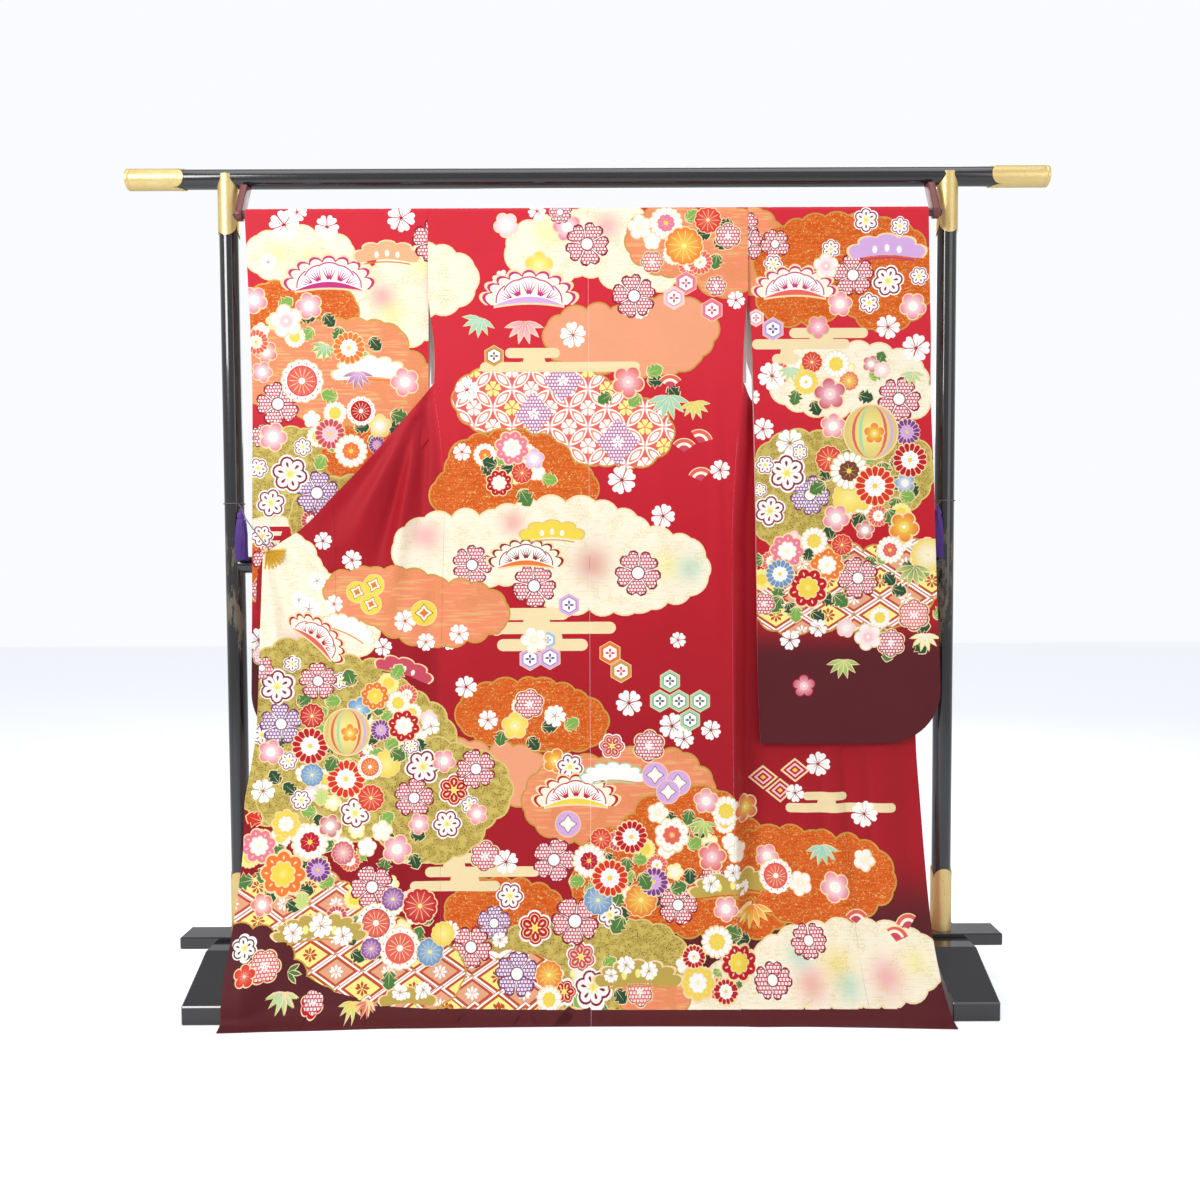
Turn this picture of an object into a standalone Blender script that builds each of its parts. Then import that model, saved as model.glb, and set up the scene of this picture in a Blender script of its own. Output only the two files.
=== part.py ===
"""A long-sleeved kimono hung on a lacquered display stand, with its back to the viewer.

Metres, +Z up, the floor at z = 0. The kimono's back faces -Y, and x = 0 is its back seam.
Every cloth piece is a closed wall on a surface worked out from the tables below. The left
front is drawn out before its sleeve and the right front behind its sleeve, as on display.
"""

import math

import bmesh
import bpy
import numpy as np
from mathutils import Vector

# Cloth

WALL = 0.002
COLLAR_WALL = 0.003
SEAM_GAP = 0.0003
LAYER_GAP = 0.0006
TOP_Z = 1.5586
HEM_Z = 0.0025
ARMHOLE_X = 0.313
NECK_X = 0.09
SLIT_TOP_Z = 1.386
SLIT_Z = 1.215
UPPER_END_Z = SLIT_Z + 0.003
COLLAR_W = 0.055
COLLAR_END_STARTS = (0.15, 0.02)
COLLAR_CLEAR = 0.0006
CUFF_Z = 1.32
SLEEVE_BOTTOM_Z = 0.498
SLEEVE_CORNER_R = 0.108

# The collar's free run: its squared end below the clip, as distances from the back seam

COLLAR_TAIL = ((0.6520, 0.835), (0.6555, 0.772))
COLLAR_TURN_START = 0.8
COLLAR_END_ACROSS = (-0.55, -0.83)
COLLAR_TUCK = 0.004
COLLAR_END_SLANT = 0.006
COLLAR_LIFT = 0.0005
UPPER_END_INSET = 0.012

# The overlap panel begins at this share of a drawn-out front, which is about this wide

OVERLAP_SHARE = 0.62
FRONT_W = 0.35
FRONT_CROWDING = 1.5

# The rod under the shoulder fold, and the fold's radius on it

ROD_R = 0.008
ROD_Y = -0.05
ROD_HALF = 0.695
ROD_SLACK = 0.0005
FOLD_R = ROD_R + ROD_SLACK + WALL
ROD_Z = TOP_Z - FOLD_R
FAR_Y = ROD_Y + FOLD_R

# Stand

POLE_R = 0.0191
POST_X = 0.7223
BAR_Z = 1.6343
BAR_HALF = 0.9238
MID_BAR_R = 0.017
MID_BAR_Z = 0.861
FIT = 0.0003
METAL = 0.0016
CAP_LENGTH = 0.118
TOP_FITTING_Z = (1.519, 1.640)
BOTTOM_FITTING_TOP = 0.2325
FOOT_HALF_W = 0.0447
FOOT_HALF_D = 0.2129
FOOT_FLAT_D = 0.0834
FOOT_TOP_Z = 0.0948
FOOT_TOE_Z = 0.0358
PLATE_HALF_W = 0.1169
PLATE_HALF_D = 0.0326
PLATE_Z = (0.0779, 0.1025)
EDGE = 0.002
ARM_X = (0.6765, 0.6905)
ARM_W = 0.025
LOOP_Z = 0.985
CORD_R = 0.0011
TASSEL_X = 0.700
TASSEL_Y = -0.027
TASSEL_TOP = 0.9745
TASSEL_LENGTH = 0.105
TASSEL_SIDES = 12
TASSEL_SPREAD = 1.22
STRAND_INSET = 0.00022
CLIP_R = 0.034
CLIP_NOTCH = 0.955
CLIP_T = 0.003
CLIP_PLEATS = 9
CLIP_PIVOT = (0.614, 0.860)
CLIP_ANGLES = (58, 158)
CORD_TIE_SHARE = 0.55

# Outline of a tassel's head: (radius, height)

TASSEL_HEAD = (
    (0.0010, 0.0),
    (0.0018, -0.004),
    (0.0060, -0.008),
    (0.0044, -0.0125),
    (0.0076, -0.018),
    (0.0046, -0.0181),
    (0.0014, -0.0182),
)
STRAND_RINGS = 2

# Where each cord passes its sleeve's outer edge, before the left one and behind the right

CORD_PAST_SLEEVE = ((0.677, -0.060, 0.948), (0.682, -0.030, 0.963))

# How far forward the hung cloth lies at each height: (height, y of the printed face)

BACK_DRAPE = (
    (HEM_Z, -0.227),
    (0.006, -0.208),
    (0.012, -0.196),
    (0.04, -0.176),
    (0.10, -0.158),
    (0.25, -0.130),
    (0.50, -0.100),
    (0.75, -0.086),
    (1.00, -0.075),
    (1.20, -0.070),
    (1.40, -0.066),
    (ROD_Z, ROD_Y - FOLD_R),
)

# The right front hangs behind its sleeve and swings forward below it: (height, y)

BEHIND_DRAPE = (
    (HEM_Z, -0.227),
    (0.006, -0.208),
    (0.012, -0.196),
    (0.04, -0.174),
    (0.10, -0.143),
    (0.25, -0.084),
    (0.38, -0.049),
    (0.50, -0.0375),
    (1.30, -0.0365),
)

# Side edge of the back: (height, left, right), both as distances from the back seam

SIDE_EDGE = (
    (HEM_Z, 0.288, 0.283),
    (0.20, 0.291, 0.281),
    (0.40, 0.294, 0.280),
    (0.70, 0.291, 0.280),
    (0.90, 0.286, 0.280),
    (0.98, 0.284, 0.283),
    (1.06, 0.288, 0.288),
    (1.13, 0.294, 0.294),
    (1.20, 0.303, 0.302),
    (1.26, 0.301, 0.3035),
    (1.30, 0.303, 0.305),
    (1.345, 0.309, 0.3085),
    (SLIT_TOP_Z, 0.3128, 0.3128),
)

# Sleeve edges: (height, left inner, left outer, right inner, right outer)

SLEEVE_EDGES = (
    (SLEEVE_BOTTOM_Z, 0.330, 0.680, 0.341, 0.703),
    (0.62, 0.327, 0.677, 0.336, 0.701),
    (0.785, 0.322, 0.673, 0.333, 0.693),
    (1.03, 0.319, 0.668, 0.329, 0.684),
    (1.18, 0.316, 0.665, 0.325, 0.677),
    (1.33, 0.314, 0.664, 0.319, 0.673),
    (SLIT_TOP_Z, 0.3132, 0.666, 0.3132, 0.671),
    (ROD_Z, 0.3132, 0.671, 0.3132, 0.667),
)

# Upper edge of each drawn-out front, from the slit to its clip: (x, height)

LEFT_TOP_EDGE = (
    (-0.368, 1.135),
    (-0.447, 1.047),
    (-0.506, 0.988),
    (-0.564, 0.931),
    (-0.612, 0.900),
    (-0.640, 0.880),
)
RIGHT_TOP_EDGE = (
    (0.368, 1.125),
    (0.447, 1.035),
    (0.506, 0.975),
    (0.564, 0.925),
    (0.612, 0.895),
    (0.645, 0.878),
)

# Free edge of each front from its clip to the hem: (height, distance from the back seam)

LEFT_FREE_EDGE = (
    (HEM_Z, 0.689),
    (0.083, 0.692),
    (0.177, 0.686),
    (0.247, 0.679),
    (0.32, 0.674),
    (0.39, 0.674),
    (0.466, 0.662),
    (0.542, 0.651),
    (0.694, 0.645),
    (0.880, 0.640),
)
RIGHT_FREE_EDGE = (
    (HEM_Z, 0.676),
    (0.06, 0.668),
    (0.145, 0.663),
    (0.33, 0.664),
    (0.496, 0.657),
    (0.70, 0.650),
    (0.878, 0.645),
)

# Largest folds of the drawn-out fronts, as ridges towards the viewer:
# (start x, start z, end x, end z, half width at start, half width at end, height)

LEFT_FOLDS = (
    (-0.316, 1.165, -0.480, 0.900, 0.011, 0.034, 0.009),
    (-0.306, 1.140, -0.372, 0.800, 0.009, 0.030, 0.007),
    (-0.632, 0.870, -0.590, 0.560, 0.009, 0.030, 0.007),
    (-0.634, 0.860, -0.655, 0.420, 0.008, 0.020, 0.004),
    (-0.560, 0.330, -0.600, 0.040, 0.030, 0.045, 0.006),
)
RIGHT_FOLDS = (
    (0.480, 0.560, 0.497, 0.110, 0.020, 0.024, 0.008),
    (0.585, 0.560, 0.600, 0.050, 0.024, 0.030, 0.007),
    (0.360, 0.500, 0.372, 0.120, 0.022, 0.026, 0.005),
)

# How much further forward the left corner hangs over the toe of the foot: (height, y)

OVER_FOOT = (
    (HEM_Z, 0.001),
    (0.012, 0.011),
    (0.03, 0.023),
    (0.05, 0.026),
    (0.08, 0.019),
    (0.16, 0.004),
    (0.30, 0.0),
)
OVER_FOOT_X = 0.60
OVER_FOOT_FADE = 0.06
HEM_FLARE = 0.020
HEM_FLARE_REACH = 0.40
HALF_SPREAD = 0.69
FRONT_LIFT = 0.004
LIFT_REACH = 0.06
LIFT_FADE_Z = 0.3
FOLD_FADE = 0.03
FOLD_FULLNESS = 0.7
RIGHT_FOLD_TOP_Z = 0.56
RIGHT_FOLD_FADE = 0.08
SLEEVE_CLEAR = 0.003
SLEEVE_FLAT_Z = 0.62
SLEEVE_FULLNESS = 0.8
SEWN_FADE = 0.12
ARMHOLE_FADE = (0.01, 0.04)
BEHIND_REACH = 0.034
LEVEL_START = 0.001

COLOURS = {
    "silk": (0.60, 0.02, 0.04, 0.6, 0.0),
    "lacquer": (0.01, 0.01, 0.012, 0.15, 0.0),
    "gold": (0.80, 0.58, 0.25, 0.3, 1.0),
    "arm": (0.16, 0.03, 0.03, 0.35, 0.0),
    "tassel": (0.07, 0.02, 0.28, 0.8, 0.0),
    "cord": (0.10, 0.07, 0.14, 0.8, 0.0),
}


def clear_scene():
    for ob in list(bpy.data.objects):
        bpy.data.objects.remove(ob, do_unlink=True)


def material(name):
    """A Principled material with this entry's colour, roughness and metallic value."""
    mat = bpy.data.materials.get(name)
    if mat:
        return mat
    red, green, blue, roughness, metallic = COLOURS[name]
    mat = bpy.data.materials.new(name)
    mat.use_nodes = True
    shader = mat.node_tree.nodes["Principled BSDF"]
    shader.inputs["Base Color"].default_value = (red, green, blue, 1)
    shader.inputs["Roughness"].default_value = roughness
    shader.inputs["Metallic"].default_value = metallic
    return mat


def ramp(value):
    """0 to 1 with level ends."""
    value = min(max(value, 0.0), 1.0)
    return value * value * (3 - 2 * value)


def through(table, at, column=1):
    """A smooth curve through a table's rows, which rise in their first column."""
    xs = [row[0] for row in table]
    ys = [row[column] for row in table]
    if at <= xs[0]:
        return ys[0]
    if at >= xs[-1]:
        return ys[-1]
    steps = [b - a for a, b in zip(xs, xs[1:])]
    rises = [(b - a) / h for a, b, h in zip(ys, ys[1:], steps)]
    slopes = [rises[0]]
    for (h0, h1), (r0, r1) in zip(zip(steps, steps[1:]), zip(rises, rises[1:])):
        same = r0 * r1 > 0
        slopes.append((h0 + h1) / (h1 / r0 + h0 / r1) if same else 0.0)
    slopes.append(rises[-1])
    k = max(i for i, x in enumerate(xs[:-1]) if x <= at)
    t = (at - xs[k]) / steps[k]
    a = (1 + 2 * t) * (1 - t) ** 2 * ys[k] + t * t * (3 - 2 * t) * ys[k + 1]
    b = t * (1 - t) ** 2 * slopes[k] - t * t * (1 - t) * slopes[k + 1]
    return a + b * steps[k]


def along(points, share):
    """The point this share of the way along a chain of (x, z) points."""
    runs = [math.dist(a, b) for a, b in zip(points, points[1:])]
    starts = [sum(runs[:i]) for i in range(len(points))]
    rows = [(s, *p) for s, p in zip(starts, points)]
    at = share * starts[-1]
    return np.array([through(rows, at, 1), through(rows, at, 2)])


def ridges(folds, x, z):
    """Sum of soft ridges, each fading in from its start and out at its end."""
    total = 0.0
    for x0, z0, x1, z1, w0, w1, height in folds:
        dx, dz = x1 - x0, z1 - z0
        share = ((x - x0) * dx + (z - z0) * dz) / (dx * dx + dz * dz)
        if share <= 0 or share >= 1:
            continue
        off = abs((x - x0) * dz - (z - z0) * dx) / math.hypot(dx, dz)
        width = w0 + (w1 - w0) * share
        swell = math.sin(math.pi * share) ** FOLD_FULLNESS
        total += height * swell * math.exp(-((off / width) ** 2))
    return total


def side_x(side, z):
    return through(SIDE_EDGE, z, 1 if side < 0 else 2)


def hem_flare(x, z):
    """The hem's corners come further forward, and the left one clears the stand's foot."""
    low = 1 - min(z / HEM_FLARE_REACH, 1)
    over_foot = through(OVER_FOOT, z) * ramp((-x - OVER_FOOT_X) / OVER_FOOT_FADE)
    return -HEM_FLARE * (x / HALF_SPREAD) ** 2 * low * low - over_foot


def back_y(x, z):
    return through(BACK_DRAPE, z) + hem_flare(x, z)


def plain_left_y(x, z):
    """Printed face of the left front before its sleeve, without its folds."""
    beyond = max(-x - side_x(-1, z) - LEVEL_START, 0)
    return back_y(x, z) - FRONT_LIFT * ramp(beyond / LIFT_REACH) * ramp(z / LIFT_FADE_Z)


def left_y(x, z):
    beyond = max(-x - side_x(-1, z) - LEVEL_START, 0)
    return plain_left_y(x, z) - ridges(LEFT_FOLDS, x, z) * ramp(beyond / FOLD_FADE)


def plain_right_y(x, z):
    """Printed face of the right front, which turns in behind its sleeve."""
    beyond = max(x - side_x(1, z) - LEVEL_START, 0)
    room = through(SLEEVE_EDGES, z, 3) - side_x(1, z) - SLEEVE_CLEAR
    share = ramp(beyond / min(BEHIND_REACH, room))
    far = through(BEHIND_DRAPE, z) + hem_flare(x, z)
    return back_y(x, z) * (1 - share) + far * share


def right_y(x, z):
    beyond = max(x - side_x(1, z) - LEVEL_START, 0)
    low = ramp((RIGHT_FOLD_TOP_Z - z) / RIGHT_FOLD_FADE) * ramp(beyond / FOLD_FADE)
    return plain_right_y(x, z) - low * ridges(RIGHT_FOLDS, x, z)


def height_field(xz, surface, facing, wall):
    """Outer and inner points of a wall whose printed face is y = surface(x, z)."""
    step = 0.0004
    outer = np.zeros(xz.shape[:2] + (3,))
    inner = np.zeros_like(outer)
    for i, row in enumerate(xz):
        for j, (x, z) in enumerate(row):
            across = (surface(x + step, z) - surface(x - step, z)) / (2 * step)
            up = max(z + step, HEM_Z + step)
            down = max(z - step, HEM_Z)
            rise = (surface(x, up) - surface(x, down)) / (up - down)
            normal = facing * np.array([-across, 1, -rise])
            normal /= np.linalg.norm(normal)
            outer[i, j] = (x, surface(x, z), z)
            inner[i, j] = outer[i, j] - normal * wall
    return outer, inner


def fold_rows(x_ends, columns, facing, turns=5, wall=WALL):
    """Rows of the quarter turn over the rod, from its top to its near or far side."""
    outer, inner = [], []
    start = SEAM_GAP / 2 / FOLD_R
    for angle in np.linspace(start, math.pi / 2, turns)[:-1]:
        y, z = facing * math.sin(angle), math.cos(angle)
        xs = np.linspace(x_ends[0], x_ends[1], columns)
        outer.append([(x, ROD_Y + FOLD_R * y, ROD_Z + FOLD_R * z) for x in xs])
        r = FOLD_R - wall
        inner.append([(x, ROD_Y + r * y, ROD_Z + r * z) for x in xs])
    return np.array(outer), np.array(inner)


def closed_wall(name, outer, inner, kind="silk"):
    """One closed mesh from two grids of points with the same rows and columns."""
    rows, columns = outer.shape[:2]
    bm = bmesh.new()
    faces = [[[bm.verts.new(p) for p in row] for row in grid] for grid in (outer, inner)]
    for i in range(rows - 1):
        for j in range(columns - 1):
            for side in faces:
                bm.faces.new((side[i][j], side[i + 1][j], side[i + 1][j + 1], side[i][j + 1]))
    ring = [(0, j) for j in range(columns)] + [(i, columns - 1) for i in range(1, rows)]
    ring += [(rows - 1, j) for j in range(columns - 2, -1, -1)]
    ring += [(i, 0) for i in range(rows - 2, 0, -1)]
    for (i, j), (k, l) in zip(ring, ring[1:] + ring[:1]):
        bm.faces.new((faces[0][i][j], faces[0][k][l], faces[1][k][l], faces[1][i][j]))
    bmesh.ops.recalc_face_normals(bm, faces=bm.faces)
    return finish(name, bm, kind)


def finish(name, bm, kind, sharp=40):
    mesh = bpy.data.meshes.new(name)
    bm.to_mesh(mesh)
    bm.free()
    mesh.shade_smooth()
    mesh.set_sharp_from_angle(angle=math.radians(sharp))
    mesh.materials.append(material(kind))
    ob = bpy.data.objects.new(name, mesh)
    bpy.context.scene.collection.objects.link(ob)
    return ob


def stacked(first, second):
    return np.concatenate([first[0], second[0]]), np.concatenate([first[1], second[1]])


# Rows of the back and the fronts, which share their points along the side seams

SEAM_HEIGHTS = (SLIT_Z, 1.18, 1.14, 1.08, 1.01, 0.93, 0.84, 0.74, 0.63, 0.52, 0.41, 0.31)
SEAM_HEIGHTS += (0.22, 0.15, 0.10, 0.06, 0.035, 0.02, 0.011, 0.006, HEM_Z)


def back(side, columns=5):
    """Half of the back, from the top of the shoulder fold down to the hem."""
    name = "back_left" if side < 0 else "back_right"
    heights = (ROD_Z, 1.47, SLIT_TOP_Z, 1.30) + SEAM_HEIGHTS
    middle = side * SEAM_GAP / 2
    edge = side * (ARMHOLE_X - SEAM_GAP / 2)
    over = fold_rows((middle, edge), columns, -1)
    xz = []
    for z in heights:
        end = edge if z >= SLIT_TOP_Z else side * side_x(side, z)
        xz.append([(x, z) for x in np.linspace(middle, end, columns)])
    hung = height_field(np.array(xz), back_y, -1, WALL)
    return closed_wall(name, *stacked(over, hung))


def top_edge(side):
    """A drawn-out front's upper edge as (x, z) points, from the side seam to its clip."""
    start = (side * (side_x(side, SLIT_Z) + SEAM_GAP), SLIT_Z)
    return (start,) + (LEFT_TOP_EDGE if side < 0 else RIGHT_TOP_EDGE)


def front_grid(side, shares):
    """(x, z) points of a drawn-out front, filled in from its four edges."""
    drops = [(SLIT_Z - z) / (SLIT_Z - HEM_Z) for z in SEAM_HEIGHTS]
    top = top_edge(side)
    free = LEFT_FREE_EDGE if side < 0 else RIGHT_FREE_EDGE
    tip_z = top[-1][1]
    hem = [side * (side_x(side, HEM_Z) + SEAM_GAP), side * free[0][1]]

    def seam_edge(w):
        z = SLIT_Z + (HEM_Z - SLIT_Z) * w
        return np.array([side * (side_x(side, z) + SEAM_GAP), z])

    def free_edge(w):
        z = tip_z + (HEM_Z - tip_z) * w
        return np.array([side * through(free, z), z])

    grid = []
    for w in drops:
        row = []
        for u in shares:
            low = np.array([hem[0] + (hem[1] - hem[0]) * u, HEM_Z])
            high = along(top, u)
            sides = (1 - u) * seam_edge(w) + u * free_edge(w)
            ends = (1 - w) * high + w * low
            ties = (1 - u) * ((1 - w) * seam_edge(0) + w * seam_edge(1))
            ties = ties + u * ((1 - w) * free_edge(0) + w * free_edge(1))
            row.append(sides + ends - ties)
        grid.append(row)
    return np.array(grid)


def front(side):
    """The front length and its narrow overlap panel, parted at their seam."""
    word = "left" if side < 0 else "right"
    surface = left_y if side < 0 else right_y
    gap = SEAM_GAP / 2 / FRONT_W
    pieces = (
        (f"front_{word}", (OVERLAP_SHARE - gap) * np.linspace(0, 1, 12) ** FRONT_CROWDING),
        (f"overlap_{word}", np.linspace(OVERLAP_SHARE + gap, 1, 6)),
    )
    for name, shares in pieces:
        grid = front_grid(side, shares)
        closed_wall(name, *height_field(grid, surface, -1, WALL))


def collar_line(side, z):
    """Where the upper front ends and the collar begins, on the far side of the rod."""
    share = (ROD_Z - z) / (ROD_Z - UPPER_END_Z)
    return side * (NECK_X + (side_x(side, SLIT_Z) - UPPER_END_INSET - NECK_X) * share)


def upper_front(side, columns=5):
    """The front from the shoulder fold down to the slit, hanging behind the rod."""
    name = "upper_front_left" if side < 0 else "upper_front_right"
    edge = side * (ARMHOLE_X - SEAM_GAP / 2)
    over = fold_rows((side * NECK_X, edge), columns, 1)
    xz = []
    for z in (ROD_Z, 1.49, 1.44, SLIT_TOP_Z, 1.33, 1.27, UPPER_END_Z):
        xz.append([(x, z) for x in np.linspace(collar_line(side, z), edge, columns)])
    hung = height_field(np.array(xz), lambda x, z: FAR_Y, 1, WALL)
    return closed_wall(name, *stacked(over, hung))


def collar_neck(columns=5):
    """The collar behind the neck, folded over the rod to the far side."""
    ends = NECK_X - SEAM_GAP
    over = fold_rows((-ends, ends), columns, 1)
    xz = []
    mitre = COLLAR_W * math.sin(collar_slope())
    for drop in (0, 0.5, 1):
        z = ROD_Z - drop * mitre
        half = ends - drop * (COLLAR_W * math.cos(collar_slope()))
        xz.append([(x, z) for x in np.linspace(-half, half, columns)])
    xz.append([(x, ROD_Z - COLLAR_W) for x in np.linspace(-half, half, columns)])
    hung = height_field(np.array(xz), lambda x, z: FAR_Y, 1, WALL)
    return closed_wall("collar_neck", *stacked(over, hung))


def collar_slope():
    """Angle of the collar's cross direction below the level."""
    run = collar_line(1, UPPER_END_Z) - NECK_X
    return math.atan2(run, ROD_Z - UPPER_END_Z)


def upper_collar(side, stations=7):
    """The collar from the side of the neck down to the slit, beside the upper front."""
    slope = collar_slope()
    inward = np.array([-side * math.cos(slope), -math.sin(slope)])
    xz = []
    for z in np.linspace(ROD_Z - 0.0005, UPPER_END_Z, stations):
        start = np.array([collar_line(side, z), z]) + inward * SEAM_GAP
        xz.append([start + inward * COLLAR_W * share for share in (0, 0.5, 1)])
    name = "collar_upper_left" if side < 0 else "collar_upper_right"
    surface = lambda x, z: FAR_Y + COLLAR_LIFT
    return closed_wall(name, *height_field(np.array(xz), surface, 1, COLLAR_WALL))


def collar_end(side, stations=12):
    """The collar from the slit to its squared end, folded behind the front's upper edge."""
    tail = [(side * x, z) for x, z in COLLAR_TAIL]
    across = np.array([side * COLLAR_END_ACROSS[0], COLLAR_END_ACROSS[1]])
    chain = top_edge(side) + (tail[0],)
    surface = plain_left_y if side < 0 else lambda x, z: through(BEHIND_DRAPE, z)
    hidden = WALL + COLLAR_CLEAR
    begin = COLLAR_END_STARTS[0] if side < 0 else COLLAR_END_STARTS[1]
    xz = []
    for share in np.linspace(begin, 1, stations):
        at = along(chain, share)
        run = along(chain, min(share + 0.01, 1)) - along(chain, share - 0.01)
        run /= np.linalg.norm(run)
        below = np.array([-side * abs(run[1]), -abs(run[0])])
        turn = ramp((share - COLLAR_TURN_START) / (1 - COLLAR_TURN_START))
        below = below * (1 - turn) + across * turn
        inset = below * COLLAR_TUCK * (1 - turn)
        xz.append([at + inset + below * COLLAR_W * k for k in (0, 0.5, 1)])
    end_step = np.array([-side * COLLAR_W / 2, -COLLAR_END_SLANT])
    xz.append([np.array(tail[1]) + end_step * k for k in (0, 0.5, 1)])
    name = "collar_end_left" if side < 0 else "collar_end_right"
    field = lambda x, z: surface(x, z) + hidden
    return closed_wall(name, *height_field(np.array(xz), field, -1, WALL))


def sleeve_half(side, x, z):
    """Half the sleeve's outer thickness: round the rod at the top, closed at its seams."""
    flat = WALL + LAYER_GAP / 2
    down = ramp((z - SLEEVE_FLAT_Z) / (ROD_Z - SLEEVE_FLAT_Z)) ** SLEEVE_FULLNESS
    outer = through(SLEEVE_EDGES, z, 2 if side < 0 else 4)
    from_edge = ramp((outer - abs(x)) / SEWN_FADE)
    sewn = ramp((CUFF_Z - z) / SEWN_FADE)
    open_share = 1 - sewn * (1 - from_edge)
    return flat + (FOLD_R - flat) * down * open_share


def sleeve(side, columns=7):
    """A sleeve as its near and far layers, each with half of the fold over the rod."""
    inner_column, outer_column = (1, 2) if side < 0 else (3, 4)
    arc = [math.radians(a) for a in (0, 22, 45, 66, 80, 90)]
    centre_z = SLEEVE_BOTTOM_Z + SLEEVE_CORNER_R
    levels = [(z, 0.0) for z in (ROD_Z, 1.47, SLIT_TOP_Z, 1.33, 1.27, 1.22, 1.08, 0.93, 0.77)]
    for a in arc:
        z = centre_z - SLEEVE_CORNER_R * math.sin(a)
        levels.append((z, SLEEVE_CORNER_R * (1 - math.cos(a))))
    word = "left" if side < 0 else "right"
    for name, facing in ((f"sleeve_back_{word}", -1), (f"sleeve_front_{word}", 1)):
        xz = []
        for z, cut in levels:
            inner = through(SLEEVE_EDGES, z, inner_column)
            if facing > 0:
                at_armhole = ramp((z - SLIT_Z - ARMHOLE_FADE[0]) / ARMHOLE_FADE[1])
                inner += (SLEEVE_EDGES[-1][inner_column] - inner) * at_armhole
            outer = through(SLEEVE_EDGES, z, outer_column) - cut
            xz.append([(side * x, z) for x in np.linspace(inner, outer, columns)])
        xz = np.array(xz)
        ends = (xz[0][0][0], xz[0][-1][0])
        surface = lambda x, z, f=facing: ROD_Y + f * sleeve_half(side, x, z)
        over = fold_rows(ends, columns, facing)
        closed_wall(name, *stacked(over, height_field(xz, surface, facing, WALL)))


def prism(name, outline, ends, kind):
    """A (y, z) outline extruded along x, with a small bevel."""
    bm = bmesh.new()
    near = [bm.verts.new((ends[0], y, z)) for y, z in outline]
    face = bm.faces.new(near)
    moved = bmesh.ops.extrude_face_region(bm, geom=[face])["geom"]
    verts = [g for g in moved if isinstance(g, bmesh.types.BMVert)]
    bmesh.ops.translate(bm, verts=verts, vec=(ends[1] - ends[0], 0, 0))
    bmesh.ops.recalc_face_normals(bm, faces=bm.faces)
    ob = finish(name, bm, kind, 30)
    bevel = ob.modifiers.new("edges", "BEVEL")
    bevel.width = EDGE
    bevel.segments = 1
    bevel.limit_method = "ANGLE"
    return ob


def turned(name, profile, kind, axis="Z", place=(0, 0, 0), sides=20):
    """A closed ring of (radius, height) points, or a solid one that ends on the axis."""
    bm = bmesh.new()
    rings = []
    for radius, height in profile:
        if radius < 1e-6:
            rings.append([bm.verts.new((0, 0, height))])
            continue
        angles = [2 * math.pi * k / sides for k in range(sides)]
        circle = [(radius * math.cos(a), radius * math.sin(a), height) for a in angles]
        rings.append([bm.verts.new(p) for p in circle])
    pairs = list(zip(rings, rings[1:]))
    if len(rings[0]) > 1:
        pairs.append((rings[-1], rings[0]))
    for low, high in pairs:
        for k in range(sides):
            n = (k + 1) % sides
            below = [low[k % len(low)], low[n % len(low)]]
            above = [high[n % len(high)], high[k % len(high)]]
            corners = list(dict.fromkeys(below + above))
            if len(corners) > 2:
                bm.faces.new(corners)
    for v in bm.verts:
        x, y, z = v.co
        v.co = (z, y, -x) if axis == "X" else (x, y, z)
        v.co += Vector(place)
    bmesh.ops.recalc_face_normals(bm, faces=bm.faces)
    return finish(name, bm, kind, 35)


def cutter(name, radius, half, axis, place, sides=20):
    """A round bar used only to cut its neighbours."""
    ends = [(0, -half), (radius, -half), (radius, half), (0, half)]
    ob = turned(name, ends, "lacquer", axis, place, sides)
    ob.hide_render = True
    ob.display_type = "WIRE"
    return ob


def cut(ob, tool):
    modifier = ob.modifiers.new(tool.name, "BOOLEAN")
    modifier.operation = "DIFFERENCE"
    modifier.object = tool


def poles():
    """Posts, bars and rod, each coped round the one it meets."""
    bar_hole = cutter("bar_hole", POLE_R + FIT, BAR_HALF, "X", (0, 0, BAR_Z))
    rod_hole = cutter("rod_hole", ROD_R + FIT, BAR_HALF, "X", (0, ROD_Y, ROD_Z))
    bar_end = BAR_HALF - METAL - FIT
    turned("crossbar", round_bar(POLE_R, -bar_end, bar_end), "lacquer", "X", (0, 0, BAR_Z))
    turned("hanging_rod", round_bar(ROD_R, -ROD_HALF, ROD_HALF), "lacquer", "X", (0, ROD_Y, ROD_Z))
    middle = turned("middle_bar", round_bar(MID_BAR_R, -POST_X, POST_X), "lacquer", "X", (0, 0, MID_BAR_Z))
    for side, word in ((-1, "left"), (1, "right")):
        at = (side * POST_X, 0, 0)
        low = PLATE_Z[1] + FIT
        post = turned(f"post_{word}", round_bar(POLE_R, low, BAR_Z), "lacquer", "Z", at)
        cut(post, bar_hole)
        cut(middle, cutter(f"post_hole_{word}", POLE_R + FIT, BAR_Z, "Z", at))
        lower = sleeve_ring(low, BOTTOM_FITTING_TOP)
        turned(f"post_foot_fitting_{word}", lower, "gold", "Z", at)
        upper = turned(f"post_top_fitting_{word}", sleeve_ring(*TOP_FITTING_Z), "gold", "Z", at)
        cut(upper, bar_hole)
        end_cap(side, f"end_cap_{word}")
        arm(side, f"arm_{word}", bar_hole, rod_hole)


def round_bar(radius, low, high):
    return [(0, low), (radius, low), (radius, high), (0, high)]


def sleeve_ring(low, high):
    bore = POLE_R + FIT
    return [(bore, low), (bore + METAL, low), (bore + METAL, high), (bore, high)]


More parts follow.
